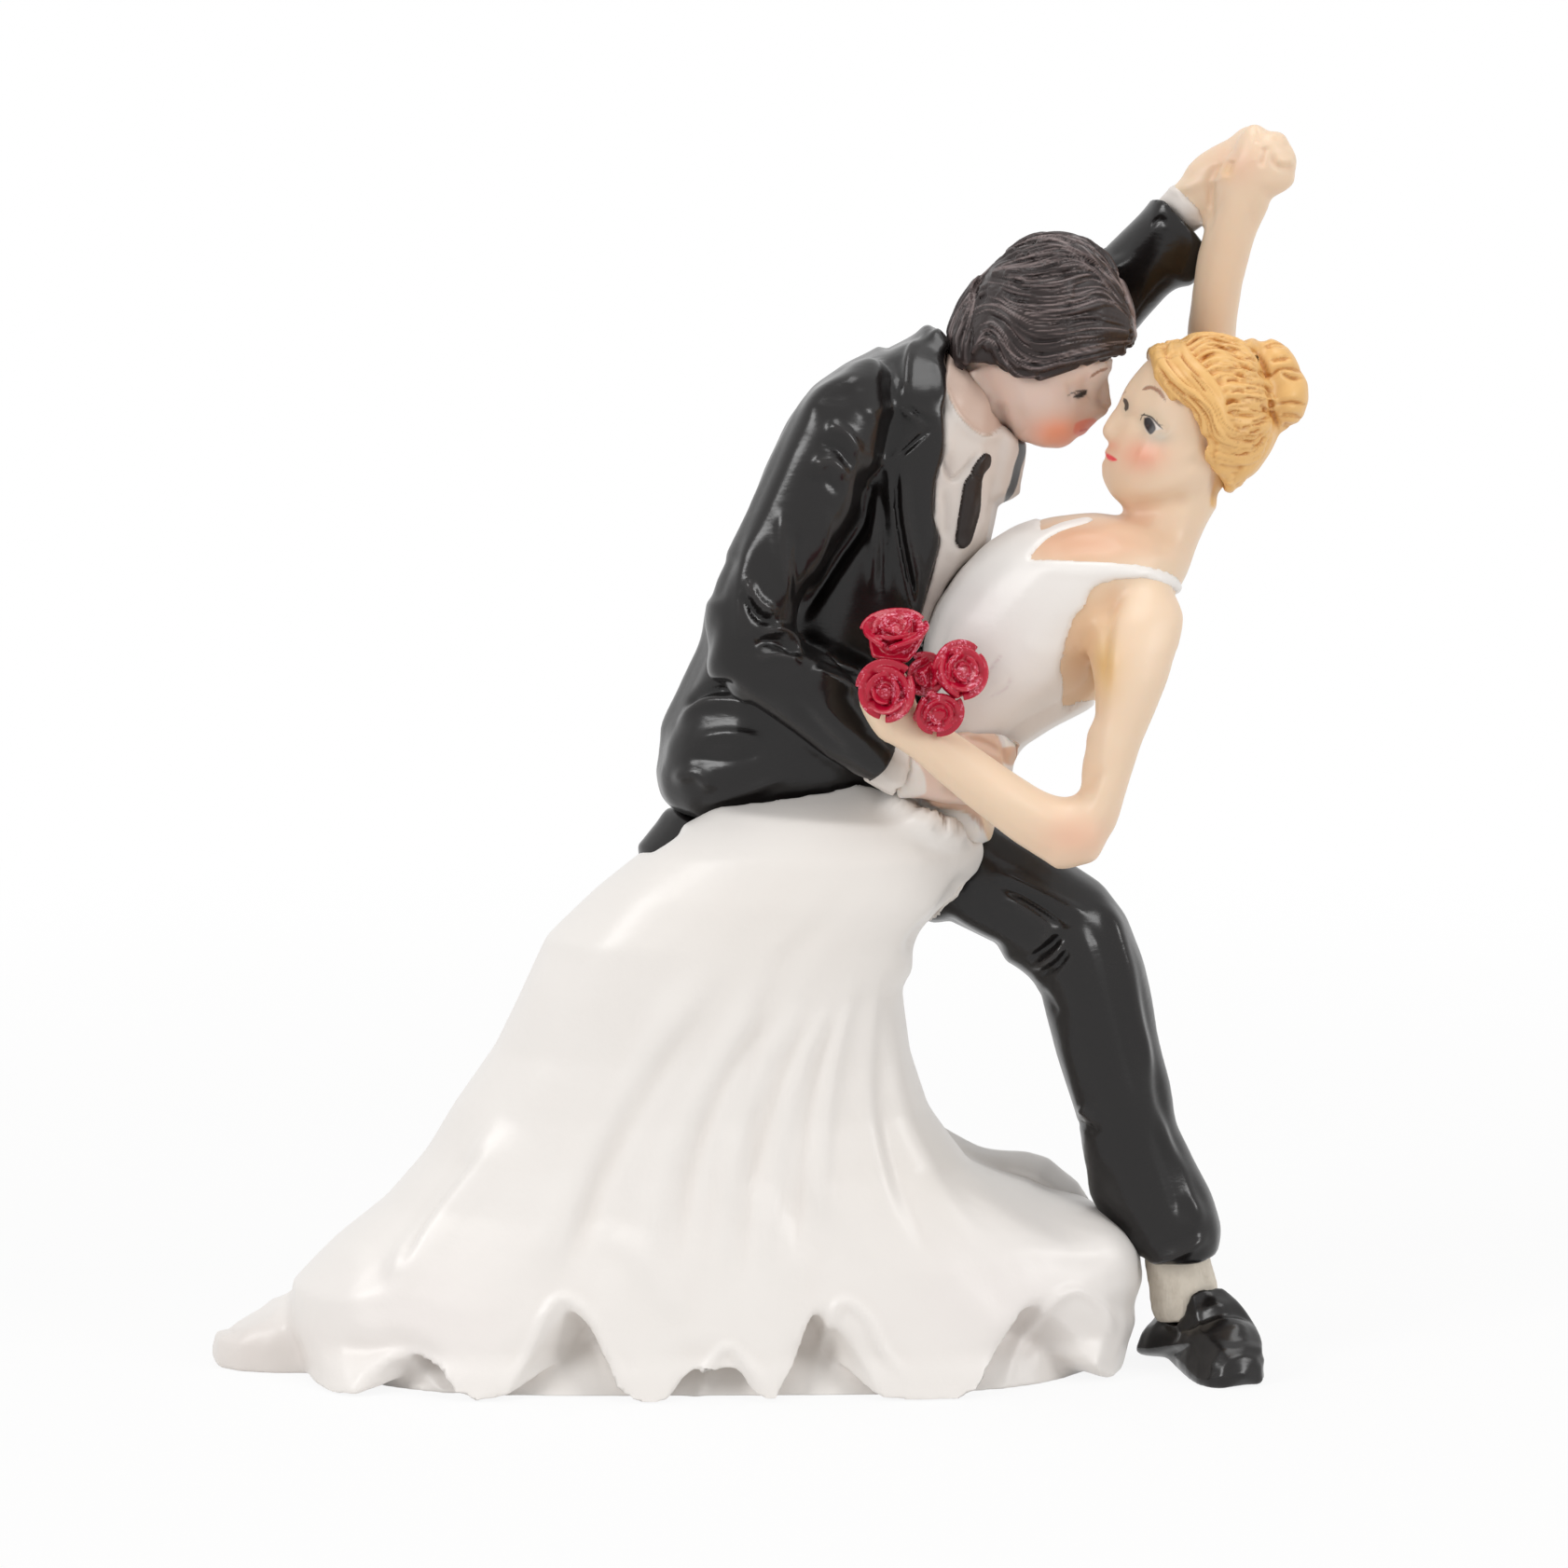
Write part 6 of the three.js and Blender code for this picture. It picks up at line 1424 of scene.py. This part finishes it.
UNDER_BRIDE_HAIR = [
    (1222, 340), (1236, 378), (1256, 406), (1277, 440), (1286, 478), (1298, 502), (1308, 540),
    (1440, 540), (1440, 340),
]
bride_nodes = [
    "bride_head", "bride_torso", "bride_near_arm", "bride_near_hand", "bride_far_arm",
    "bride_far_hand", "groom_raised_hand",
]
EYEBALL = [(1225, 448), (1233, 450), (1238, 457), (1243, 461), (1236, 463), (1230, 466), (1225, 461)]
PUPIL = [(1224, 449), (1230, 449), (1235, 456), (1236, 462), (1231, 467), (1227, 463), (1224, 456)]
UPPER_LASHES = [(1220, 446), (1226, 446.5), (1232, 449), (1238, 456), (1244, 462)]
BRIDE_LIPS = [(1184, 484), (1189, 487), (1196, 493), (1191, 494), (1186, 491)]
BRIDE_PAINT = [
    # blush of the cheeks and arm, a warmer tone on the chest, and painted shade in the armpit
    ("dab", (1222, 489), (24, 18), BRIDE_BLUSH, 0.66),
    ("dab", (1190, 478), (7, 7), BRIDE_BLUSH, 0.45),
    ("dab", (1150, 900), (38, 24), ARM_BLUSH, 0.6),
    ("dab", (1155, 582), (75, 26), CHEST_WARM, 1.0),
    ("dab", (1215, 552), (26, 12), ARM_BLUSH, 0.35),
    ("dab", (1165, 690), (30, 60), ARMPIT_SHADE_TAN, 0.7),
    ("dab", (1184, 716), (14, 34), CREASE_SHADE_YELLOW, 0.8),
    ("fill", NAPE_HAIR, NAPE_HONEY, 0.9, 2),
    # the clasped hands, with painted shade in the seam between them
    ("dab", (1320, 178), (26, 20), ARM_BLUSH, 0.45),
    ("dab", (1312, 185), (8, 10), CREASE_SHADE_YELLOW, 0.4),
    # the hip
    ("fill", HIP_WHITE, GOWN_WHITE, 1.0, 1.5, HIP_BEHIND),
    ("fill", HIP_SKIN, WAIST_SKIN, 0.9, 1.2, HIP_BEHIND),
    # eye shadow, eye, lashes, eyebrows and lips
    ("dab", (1240, 470), (14, 8), LID_TEAL, 0.5),
    ("dab", (1229, 455), (11, 13), LID_TEAL, 0.35),
    ("dab", (1206, 436), (5, 9), LID_TEAL, 0.35),
    ("fill", EYEBALL, EYE_WHITE, 0.8, 0.8),
    ("fill", PUPIL, LINE_BLACK, 1.0, 0.9),
    ("line", UPPER_LASHES, LINE_BLACK, 1.8, 0.9, 0.7),
    ("line", [(1220, 452), (1222, 447), (1225, 444)], LINE_BLACK, 1.1, 0.8, 0.6),
    ("line", [(1237, 451), (1239, 456), (1245, 458)], LINE_BLACK, 1.0, 0.6, 0.6),
    ("line", [(1222, 419), (1230, 417), (1239, 421), (1247, 432)], BROW_BROWN, 4, 0.85),
    ("line", [(1203, 427), (1206, 434), (1205, 441)], LINE_BLACK, 4.2, 0.9),
    ("line", [(1200, 424), (1203, 421), (1206, 420)], BROW_BROWN, 1.6, 0.5),
    ("fill", BRIDE_LIPS, BRIGHT_LIP, 0.95, 1),
]
bride_skin = painted("bride_skin_paint", BRIDE_SKIN, BRIDE_SKIN_HOLLOW, **WARM_SKIN)
# where a finer surface is needed for the brush and the fingers: place, depth and radius in mm
FINE_SPOTS = [((1222, 462), -5, 7), ((1216, 462), -6, 4.5), ((1330, 180), 8, 7.5)]


def refine(piece, spots):
    """Split the net once within some round spots."""
    builder = bmesh.new()
    builder.from_mesh(piece.data)
    for place, depth, radius in spots:
        centre = from_chart(place, depth * MM)
        near = [edge for edge in builder.edges if (edge.verts[0].co - centre).length < radius * MM]
        bmesh.ops.subdivide_edges(builder, edges=near, cuts=1, use_grid_fill=True)
    builder.to_mesh(piece.data)
    builder.free()
    return piece


bride_casting = casting(
    "figure_of_bride", bride_nodes + ["groom_raised_cuff"], BRIDE_GRAIN, BRIDE_RELAX, BRIDE_SWELL,
)
bride = Skin(refine(bride_casting, FINE_SPOTS))
front = eased((ARM_FRONT - bride.points[:, 1]) / MM)
lift = ARM_LIFT + (ELBOW_LIFT - ARM_LIFT) * past(bride.seen, ELBOW_EDGES)
bride.points[:, 2] += lift * front * past(bride.seen, FOREARM_EDGES)
bride.points[:, 0] += HAND_SHIFT * front * past(bride.seen, HAND_EDGES)
bride.points[:, 0] -= ARM_SHIFT * front * past(bride.seen, UPPER_ARM_EDGES)
bride.seen = on_chart(bride.points)
bride_hair_change = outline_change(
    solid_points(["bride_hair", "bride_bun"]), BRIDE_HAIR_OUTLINE, BRIDE_HAIR_MIDDLE,
)
bride_crown = bride.inside(UNDER_BRIDE_HAIR, UNDER_HAIR_EDGE) * (bride.points[:, 1] < CROWN_BACK)
bride.relief -= bride_crown * CROWN_SINK
bride.trim(ELBOW_RIMS)
bride.carve(BRIDE_STROKES + HAND_STROKES)
for place, radius, rise in BRIDE_PROFILE_BUMPS:
    bride.bump(place, BRIDE_FACE_DEPTH, radius, rise)
bride.press()
drop = past(bride.points / MM, WAIST_SIDES)
bride.shape(BRIDE_HAIR_MIDDLE, bride_hair_change, bride_crown)
clasped = past(bride.seen, CLASPED_EDGES)
hands_change = outline_change(bride.points[clasped > 0], HANDS_OUTLINE, HANDS_MIDDLE)
bride.shape(HANDS_MIDDLE, hands_change, clasped)
hip_behind = bride.points[:, 1] > HIP_BEHIND * MM
bride.points[:, 1] += HIP_SET_BACK * bride.inside(HIP_WHITE, HIP_EDGE) * hip_behind
bride.points[:, 2] -= WAIST_DROP * drop * past(bride.points / MM, WAIST_HEIGHT)
bride.paint(BRIDE_PAINT)
bride.finish(bride_skin, "bride_skin", bride_nodes, BRIDE_SHADE_AND_POOLING)

# The bodice: the gown's white paint carried up over the bride's body in one thick coat, with a
# brushed edge at the neckline and armholes and a thin strap over the shoulder.
BODICE_COAT = 0.3 * MM
COAT_NEAR = 0.95 * MM
COAT_FAR = 1.5 * MM
BODICE_REACH = 3.2 * MM
STRAP_REACH = 8 * MM
BODICE_EVEN = 2
BODICE_LILAC_SHADE = (0.70, 0.58, 0.60)
COAT_OUTLINE_EDGE = 1.5
FRONT_GAIN = 4
# Over the shoulder the strap's paint may lie further from its solid: the reach grows up from here
STRAP_EDGES = [(DOWN, 680, -25)]
CUFF_COAT = 0.3 * MM
CUFF_SHADE_AND_POOLING = (15, 0.4)
# The coat's outline on the near side: neckline, strap, armhole, the band under the arm and the waist
BODICE_OUTLINE = [
    (1055, 556), (1085, 554), (1113, 552), (1115, 569), (1137, 561), (1164, 555), (1167, 559),
    (1139, 568), (1121, 578), (1109, 590), (1104, 601), (1130, 602), (1166, 604.5), (1217, 608),
    (1249, 615), (1265, 626), (1276, 642), (1281, 660), (1272, 664), (1268, 648), (1261, 635),
    (1249, 626), (1227, 620.5), (1201, 621), (1179, 625.5), (1166, 635), (1160, 651), (1150, 661),
    (1144, 678), (1139, 695), (1135.5, 716), (1139, 738), (1139, 757), (1155, 753), (1170, 750),
    (1186, 751), (1186, 762), (1160, 790), (1120, 800), (1095, 840), (1060, 860), (900, 860),
    (940, 700), (1000, 600),
]
RAISED_CUFF_OUTLINE = [
    (1236, 216), (1241, 210), (1254, 200.5), (1260, 203.5), (1271, 214), (1282, 226), (1286, 240),
    (1278, 247), (1265, 245), (1245, 232),
]
BODICE_FOLDS = [
    ([(1045, 735), (1060, 718), (1072, 700)], -0.12, 2.5),
    ([(1060, 745), (1078, 735), (1085, 722)], -0.1, 2.5),
    ([(1090, 690), (1120, 700), (1140, 690)], 0.15, 14),
    ([(1100, 610), (1160, 616), (1226, 618)], 0.12, 6),
]
# Painted shade: lilac grey in the creases of the bodice and a faint patch on its near side
BODICE_PAINT = [
    ("line", [(1048, 738), (1060, 720), (1074, 702)], BODICE_LILAC_SHADE, 2, 0.5, 1.5),
    ("line", [(1062, 747), (1078, 738), (1084, 726)], BODICE_LILAC_SHADE, 2, 0.4, 1.5),
    ("dab", (1040, 650), (30, 40), BODICE_LILAC_SHADE, 0.15),
]


def share_over(node, outline, reach):
    """Where paint lies on the bride: inside an outline in front, along a node's solid elsewhere."""
    cover = surface_of(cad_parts[node].data)
    away = np.array([cover.find_nearest(Vector(point))[3] for point in bride.points])
    behind = eased((COAT_FAR - away) / (COAT_FAR - COAT_NEAR))
    front = bride.inside(outline, COAT_OUTLINE_EDGE) * eased((reach - away) / MM)
    fronting = eased(FRONT_GAIN * bride.facing)
    share = front * fronting + behind * (1 - fronting)
    return evened(bride.mesh, np.column_stack([share] * 3), BODICE_EVEN)[:, 0]


bodice_reach = BODICE_REACH + STRAP_REACH * past(bride.seen, STRAP_EDGES)
bodice_share = share_over("bride_bodice", BODICE_OUTLINE, bodice_reach)
bodice = Skin(coat_over(bride, bodice_share, BODICE_COAT, "bodice"))
bodice.carve(BODICE_FOLDS)
bodice.press()
bodice.paint(BODICE_PAINT)
bodice.finish(satin_white, "gown_white", ["bride_bodice"], GOWN_SHADE_AND_POOLING)
cuff_share = share_over("groom_raised_cuff", RAISED_CUFF_OUTLINE, BODICE_REACH)
raised_cuff = Skin(coat_over(bride, cuff_share, CUFF_COAT, "raised_cuff"))
raised_cuff.finish(shirt_white, "shirt_white", ["groom_raised_cuff"], CUFF_SHADE_AND_POOLING)

# The bride's hair: thick locks sweep from the parting over the temple to a curl by the ear, finer
# ones are combed back to the knot, and the bun is wound in two lobes. Painted honey blonde, with
# darker orange in the grooves, partly a wash and partly painted shade.
BLONDE = (0.80, 0.475, 0.17, 1)
BLONDE_HOLLOW = (0.50, 0.18, 0.02, 1)
BLONDE_WASH_AND_SHADE = (0.52, 0.20, 0.025)
BRIDE_HAIR_DEPTH = -2.0
BRIDE_CAP_SWELL = 0.15 * MM
BRIDE_CAP_SINK = 0.3 * MM
HONEY_PAINT = {"roughness": 0.42, "patches": 0.3, "patch_scale": 250, "mark_depth": 0.02}
BRIDE_HAIR_SHADE_AND_POOLING = (25, 0.16)
TEMPLE_LOCKS = [
    [
        (1232, 373), (1230, 390), (1242, 408), (1258, 424), (1274, 441), (1284, 455), (1280, 472),
        (1292, 490), (1313, 498), (1334, 497),
    ],
    [
        (1235, 372), (1234, 390), (1247, 408), (1264, 425), (1282, 442), (1290, 458), (1291, 471),
        (1303, 483), (1325, 489), (1336, 489),
    ],
    [
        (1240, 371), (1240, 390), (1254, 409), (1273, 426), (1291, 443), (1298, 461), (1310, 475),
        (1337, 479),
    ],
    [
        (1254, 371), (1255, 384), (1269, 401), (1288, 421), (1301, 440), (1307, 455), (1318, 465),
        (1340, 467),
    ],
    [(1263, 369), (1271, 388), (1286, 405), (1301, 425), (1308, 443), (1316, 455)],
]
COMBED_LOCKS = [
    [(1265, 373), (1280, 362), (1296, 359), (1318, 366), (1333, 378)],
    [(1269, 378), (1284, 370), (1300, 368), (1328, 378), (1343, 390)],
    [(1277, 390), (1290, 383), (1305, 382), (1328, 390), (1350, 401)],
    [(1284, 403), (1298, 397), (1312, 397), (1338, 403), (1356, 411)],
    [(1296, 421), (1308, 417), (1320, 416), (1342, 420), (1360, 424)],
    [(1306, 438), (1318, 434), (1330, 434), (1348, 437), (1364, 436)],
    [(1310, 449), (1320, 450), (1332, 452), (1346, 452), (1362, 446)],
    [(1313, 461), (1324, 464), (1340, 465), (1358, 456)],
    [(1305, 477), (1322, 480), (1341, 478), (1357, 466)],
    [(1315, 492), (1333, 494), (1351, 482)],
]
NAPE_LOCKS = [
    [(1352, 474), (1338, 497), (1322, 516), (1303, 532)],
    [(1340, 482), (1330, 500), (1316, 516), (1303, 527)],
]
BUN_GROOVES = [
    [(1333, 372), (1345, 382), (1352, 396), (1356, 410)],
    [(1350, 374), (1362, 369), (1378, 372)],
    [(1356, 388), (1368, 386), (1380, 385)],
    [(1340, 366), (1358, 360), (1374, 364), (1386, 378)],
    [(1368, 400), (1380, 406), (1392, 406)],
    [(1356, 408), (1366, 398), (1382, 396), (1395, 402)],
    [(1350, 412), (1358, 428), (1362, 446), (1368, 462)],
    [(1364, 434), (1380, 432), (1396, 434)],
    [(1366, 447), (1380, 447), (1394, 448)],
    [(1370, 456), (1380, 458), (1390, 457)],
    [(1344, 398), (1352, 404), (1360, 402)],
    [(1346, 436), (1354, 440), (1360, 448)],
]
BRIDE_COMBING = [
    (TEMPLE_LOCKS, 2, 0.7, 0.12, 0.04),
    (COMBED_LOCKS, 2, 0.5, 0.1, 0.08),
    (NAPE_LOCKS, 2, 0.45, 0.05, 0.05),
]
BUN_GROOVE = (-0.42, 3, 3)
BUN_WASH_AND_SHADE = (BLONDE_WASH_AND_SHADE, 1.6, 0.7, 1.5)
HAIR_WASH_AND_SHADE = (BLONDE_WASH_AND_SHADE, 0.9, 0.6, 1.2)
BRIDE_GROOVES = [(TEMPLE_LOCKS, 2), (COMBED_LOCKS, 3)]
BRIDE_WASH_AND_SHADE_MARKS = [(TEMPLE_LOCKS, 2), (COMBED_LOCKS, 4)]
bride_hair_nodes = ["bride_hair", "bride_bun"]
honey_blonde = painted("honey_blonde_hair_paint", BLONDE, BLONDE_HOLLOW, **HONEY_PAINT)
bride_hair = head_of_hair(
    "hair_of_bride", bride_hair_nodes, BRIDE_HAIR_MIDDLE, bride_hair_change, BRIDE_CAP_SINK,
    BRIDE_HAIR_DEPTH, BRIDE_COMBING, honey_blonde, BRIDE_CAP_SWELL,
)
for corners in BUN_GROOVES:
    bride_hair.stroke(corners, *BUN_GROOVE)
comb_marks(BRIDE_GROOVES, bride_hair.stroke, HAIR_GROOVE)
bride_hair.press()
# darker orange along the grooves: a wash and painted shade
for corners in BUN_GROOVES:
    bride_hair.line(corners, *BUN_WASH_AND_SHADE)
comb_marks(BRIDE_WASH_AND_SHADE_MARKS, bride_hair.line, HAIR_WASH_AND_SHADE)
bride_hair.finish(honey_blonde, "blonde_hair", bride_hair_nodes, BRIDE_HAIR_SHADE_AND_POOLING)

# The roses: four small blooms and a bud, each wound from separate petals of crimson clay, glazed
# and dusted with fine white glitter. They are glued to each other and into the bride's hand.
ROSE_GRAIN = 0.1 * MM
ROSE_BLEND = 2
PETAL_THICKNESS = 0.5 * MM
CORE_SHRINK = 0.75
CORE_RISE = 0.35
CORE_RELAX = 12
CORE_GRAIN = 0.2 * MM
PETAL_STEPS = (12, 8)
PETAL_HALF_TURN = 1.05
# Of a petal of unit size: its foot, its flare and rolled rim, and how far rim and sides hang down,
# each with the power of the height or the turn by which it grows
PETAL_FOOT, PETAL_HEIGHT = 0.22, 0.95
PETAL_FLARE, FLARE_POWER = 0.72, 0.8
RIM_ROLL, RIM_HANG, RIM_POWER = 0.16, 0.14, 6
SIDE_HANG, SIDE_POWER = 0.16, 4
# Of the bloom: radians from a petal to the next, the middle petal's width, the power by which they
# open, and the outermost petal's height
PETAL_TURN = 2.4
MIDDLE_WIDTH = 0.2
OPENING_POWER = 0.75
OUTER_HEIGHT = 0.78
ROSE_SHADE_AND_POOLING = (30, 0.35)
CRIMSON = (0.47, 0.002, 0.028, 1)
CRIMSON_HOLLOW = (0.16, 0.0, 0.008, 1)
GLITTER = (0.75, 0.20, 0.29, 1)
GLITTER_SCALE = 5200.0
GLITTER_CLOUDS = 380.0
FLAKE_START, FLAKE_FULL = 0.4, 0.52
GLAZE = {
    "roughness": 0.3, "patches": 0.5, "patch_scale": 500, "mark_scale": (1500, 1500, 1500),
    "mark_depth": 0.05,
}
# Place of the middle on the chart, depth in mm, the way it faces, radius in mm, and petals
ROSES = {
    "bouquet_rose_1": ((961, 699), -18.2, (-0.1, -0.42, 0.9), 3.9, 9),
    "bouquet_rose_2": ((1020, 724), -18.8, (0.42, -0.88, 0.2), 3.3, 9),
    "bouquet_rose_3": ((957, 744), -19.1, (-0.35, -0.92, 0.1), 3.5, 9),
    "bouquet_rose_4": ((1002, 759), -18.9, (0.15, -0.93, -0.3), 2.8, 8),
    "bouquet_bud": ((990, 726), -18.2, (0.0, -1.0, 0.1), 2.6, 6),
}


def make_petal():
    """One petal of unit size: it wraps round the bloom's axis and its rim rolls outwards."""
    across, up = PETAL_STEPS
    points, faces = [], []
    for row in range(up + 1):
        rise = row / up
        for column in range(across + 1):
            turn = (2 * column / across - 1) * PETAL_HALF_TURN
            drop = SIDE_HANG * (turn / PETAL_HALF_TURN) ** SIDE_POWER
            wide = PETAL_FOOT + PETAL_FLARE * rise ** FLARE_POWER + RIM_ROLL * rise ** RIM_POWER
            height = PETAL_HEIGHT * rise - RIM_HANG * rise ** RIM_POWER - drop * rise
            points.append((wide * np.cos(turn), wide * np.sin(turn), height))
    for row in range(up):
        for column in range(across):
            first = row * (across + 1) + column
            faces.append((first, first + 1, first + across + 2, first + across + 1))
    mesh = bpy.data.meshes.new("petal")
    mesh.from_pydata(points, [], faces)
    return placed("petal", mesh)


def make_rose_tree():
    """Geometry nodes that wind petals round an axis, from tight in the middle to open outside."""
    tree, start = new_group("rose", "GeometryNodeTree", {
        "Start": "Geometry", "Petal": "Object", "Petals": "Int", "Radius": "Float", "Paint": "Material",
    }, {"Rose": "Geometry"})
    axis = add_node(tree, "GeometryNodeMeshLine", {"Count": start.outputs["Petals"], "Offset": (0, 0, 0)})
    number = add_node(tree, "GeometryNodeInputIndex").outputs[0]
    share = reckoned(tree, "DIVIDE", number, start.outputs["Petals"])
    wound = reckoned(tree, "MULTIPLY", number, PETAL_TURN)
    wide = add_node(tree, "ShaderNodeMapRange", {
        "Value": reckoned(tree, "POWER", share, OPENING_POWER), "To Min": MIDDLE_WIDTH, "To Max": 1.0,
    }).outputs[0]
    tall = add_node(tree, "ShaderNodeMapRange", {
        "Value": share, "To Min": 1.0, "To Max": OUTER_HEIGHT,
    }).outputs[0]
    flat = reckoned(tree, "MULTIPLY", wide, start.outputs["Radius"])
    high = reckoned(tree, "MULTIPLY", tall, start.outputs["Radius"])
    size = add_node(tree, "ShaderNodeCombineXYZ", {"X": flat, "Y": flat, "Z": high})
    turn = add_node(tree, "ShaderNodeCombineXYZ", {"Z": wound})
    shape = add_node(tree, "GeometryNodeObjectInfo", {"Object": start.outputs["Petal"]})
    wind = add_node(tree, "GeometryNodeInstanceOnPoints", {
        "Points": axis.outputs[0], "Instance": shape.outputs["Geometry"], "Rotation": turn.outputs[0],
        "Scale": size.outputs[0],
    })
    plain = add_node(tree, "GeometryNodeRealizeInstances", {"Geometry": wind.outputs[0]})
    coated = add_node(tree, "GeometryNodeSetMaterial", {
        "Geometry": plain.outputs[0], "Material": start.outputs["Paint"],
    })
    add_node(tree, "NodeGroupOutput", {"Rose": coated.outputs[0]})
    return tree


def make_glitter():
    """Node group: 1 on scattered tiny flakes, 0 between them."""
    group, _ = new_group("glitter", "ShaderNodeTree", {}, {"Flakes": "Float"})
    where = add_node(group, "ShaderNodeTexCoord").outputs["Object"]
    cells = add_node(group, "ShaderNodeTexVoronoi", {"Vector": where, "Scale": GLITTER_SCALE})
    clouds = add_node(group, "ShaderNodeTexNoise", {
        "Vector": where, "Scale": GLITTER_CLOUDS, "Detail": 1.0,
    })
    chosen = add_node(group, "ShaderNodeSeparateColor", {"Color": cells.outputs["Color"]})
    cut = add_node(group, "ShaderNodeMapRange", {
        "Value": reckoned(group, "MULTIPLY", chosen.outputs[0], clouds.outputs[0]),
        "From Min": FLAKE_START, "From Max": FLAKE_FULL,
    })
    add_node(group, "NodeGroupOutput", {"Flakes": cut.outputs[0]})
    return group


def rose_material():
    paint = painted("glittered_crimson_glaze", CRIMSON, CRIMSON_HOLLOW, **GLAZE)
    tree = paint.node_tree
    shader = tree.nodes["Principled BSDF"]
    under = shader.inputs["Base Color"].links[0].from_socket
    flakes = add_node(tree, "ShaderNodeGroup", node_tree=make_glitter()).outputs["Flakes"]
    mixed = add_node(tree, "ShaderNodeMix", {"Factor": flakes, 6: under}, data_type="RGBA")
    mixed.inputs[7].default_value = GLITTER
    tree.links.new(mixed.outputs[2], shader.inputs["Base Color"])
    return paint


def make_bloom(name, place, depth, facing, radius, petals):
    middle = from_chart(place, depth * MM)
    core = netted(f"{name}_core", [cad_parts[name].data], CORE_GRAIN)
    smooth = evened(core.data, points_of(core.data), CORE_RELAX)
    core_middle = np.array(middle) + np.array(facing) * CORE_RISE * radius * MM
    set_points(core.data, core_middle + (smooth - smooth.mean(0)) * CORE_SHRINK)
    petal = make_petal()
    flesh = petal.modifiers.new("flesh", "SOLIDIFY")
    flesh.thickness = PETAL_THICKNESS / (radius * MM)
    petals_mesh = grown(
        ROSE_TREE, f"{name}_petals", bpy.data.meshes.new("start"), Petal=petal, Petals=petals,
        Radius=radius * MM, Paint=rose_glaze,
    )
    bpy.data.objects.remove(petal)
    turn = Vector(facing).to_track_quat("Z", "X").to_matrix().to_4x4()
    petals_mesh.transform(turn)
    petals_mesh.transform(Matrix.Translation(middle))
    bloom = netted(f"{name}_petals", [petals_mesh, core.data], ROSE_GRAIN)
    bpy.data.objects.remove(core)
    set_points(bloom.data, relaxed(bloom.data, points_of(bloom.data), ROSE_BLEND))
    return bloom


ROSE_TREE = make_rose_tree()
rose_glaze = rose_material()
for name, setting in ROSES.items():
    bloom = Skin(make_bloom(name, *setting))
    bloom.finish(rose_glaze, "rose_crimson", [name], ROSE_SHADE_AND_POOLING)
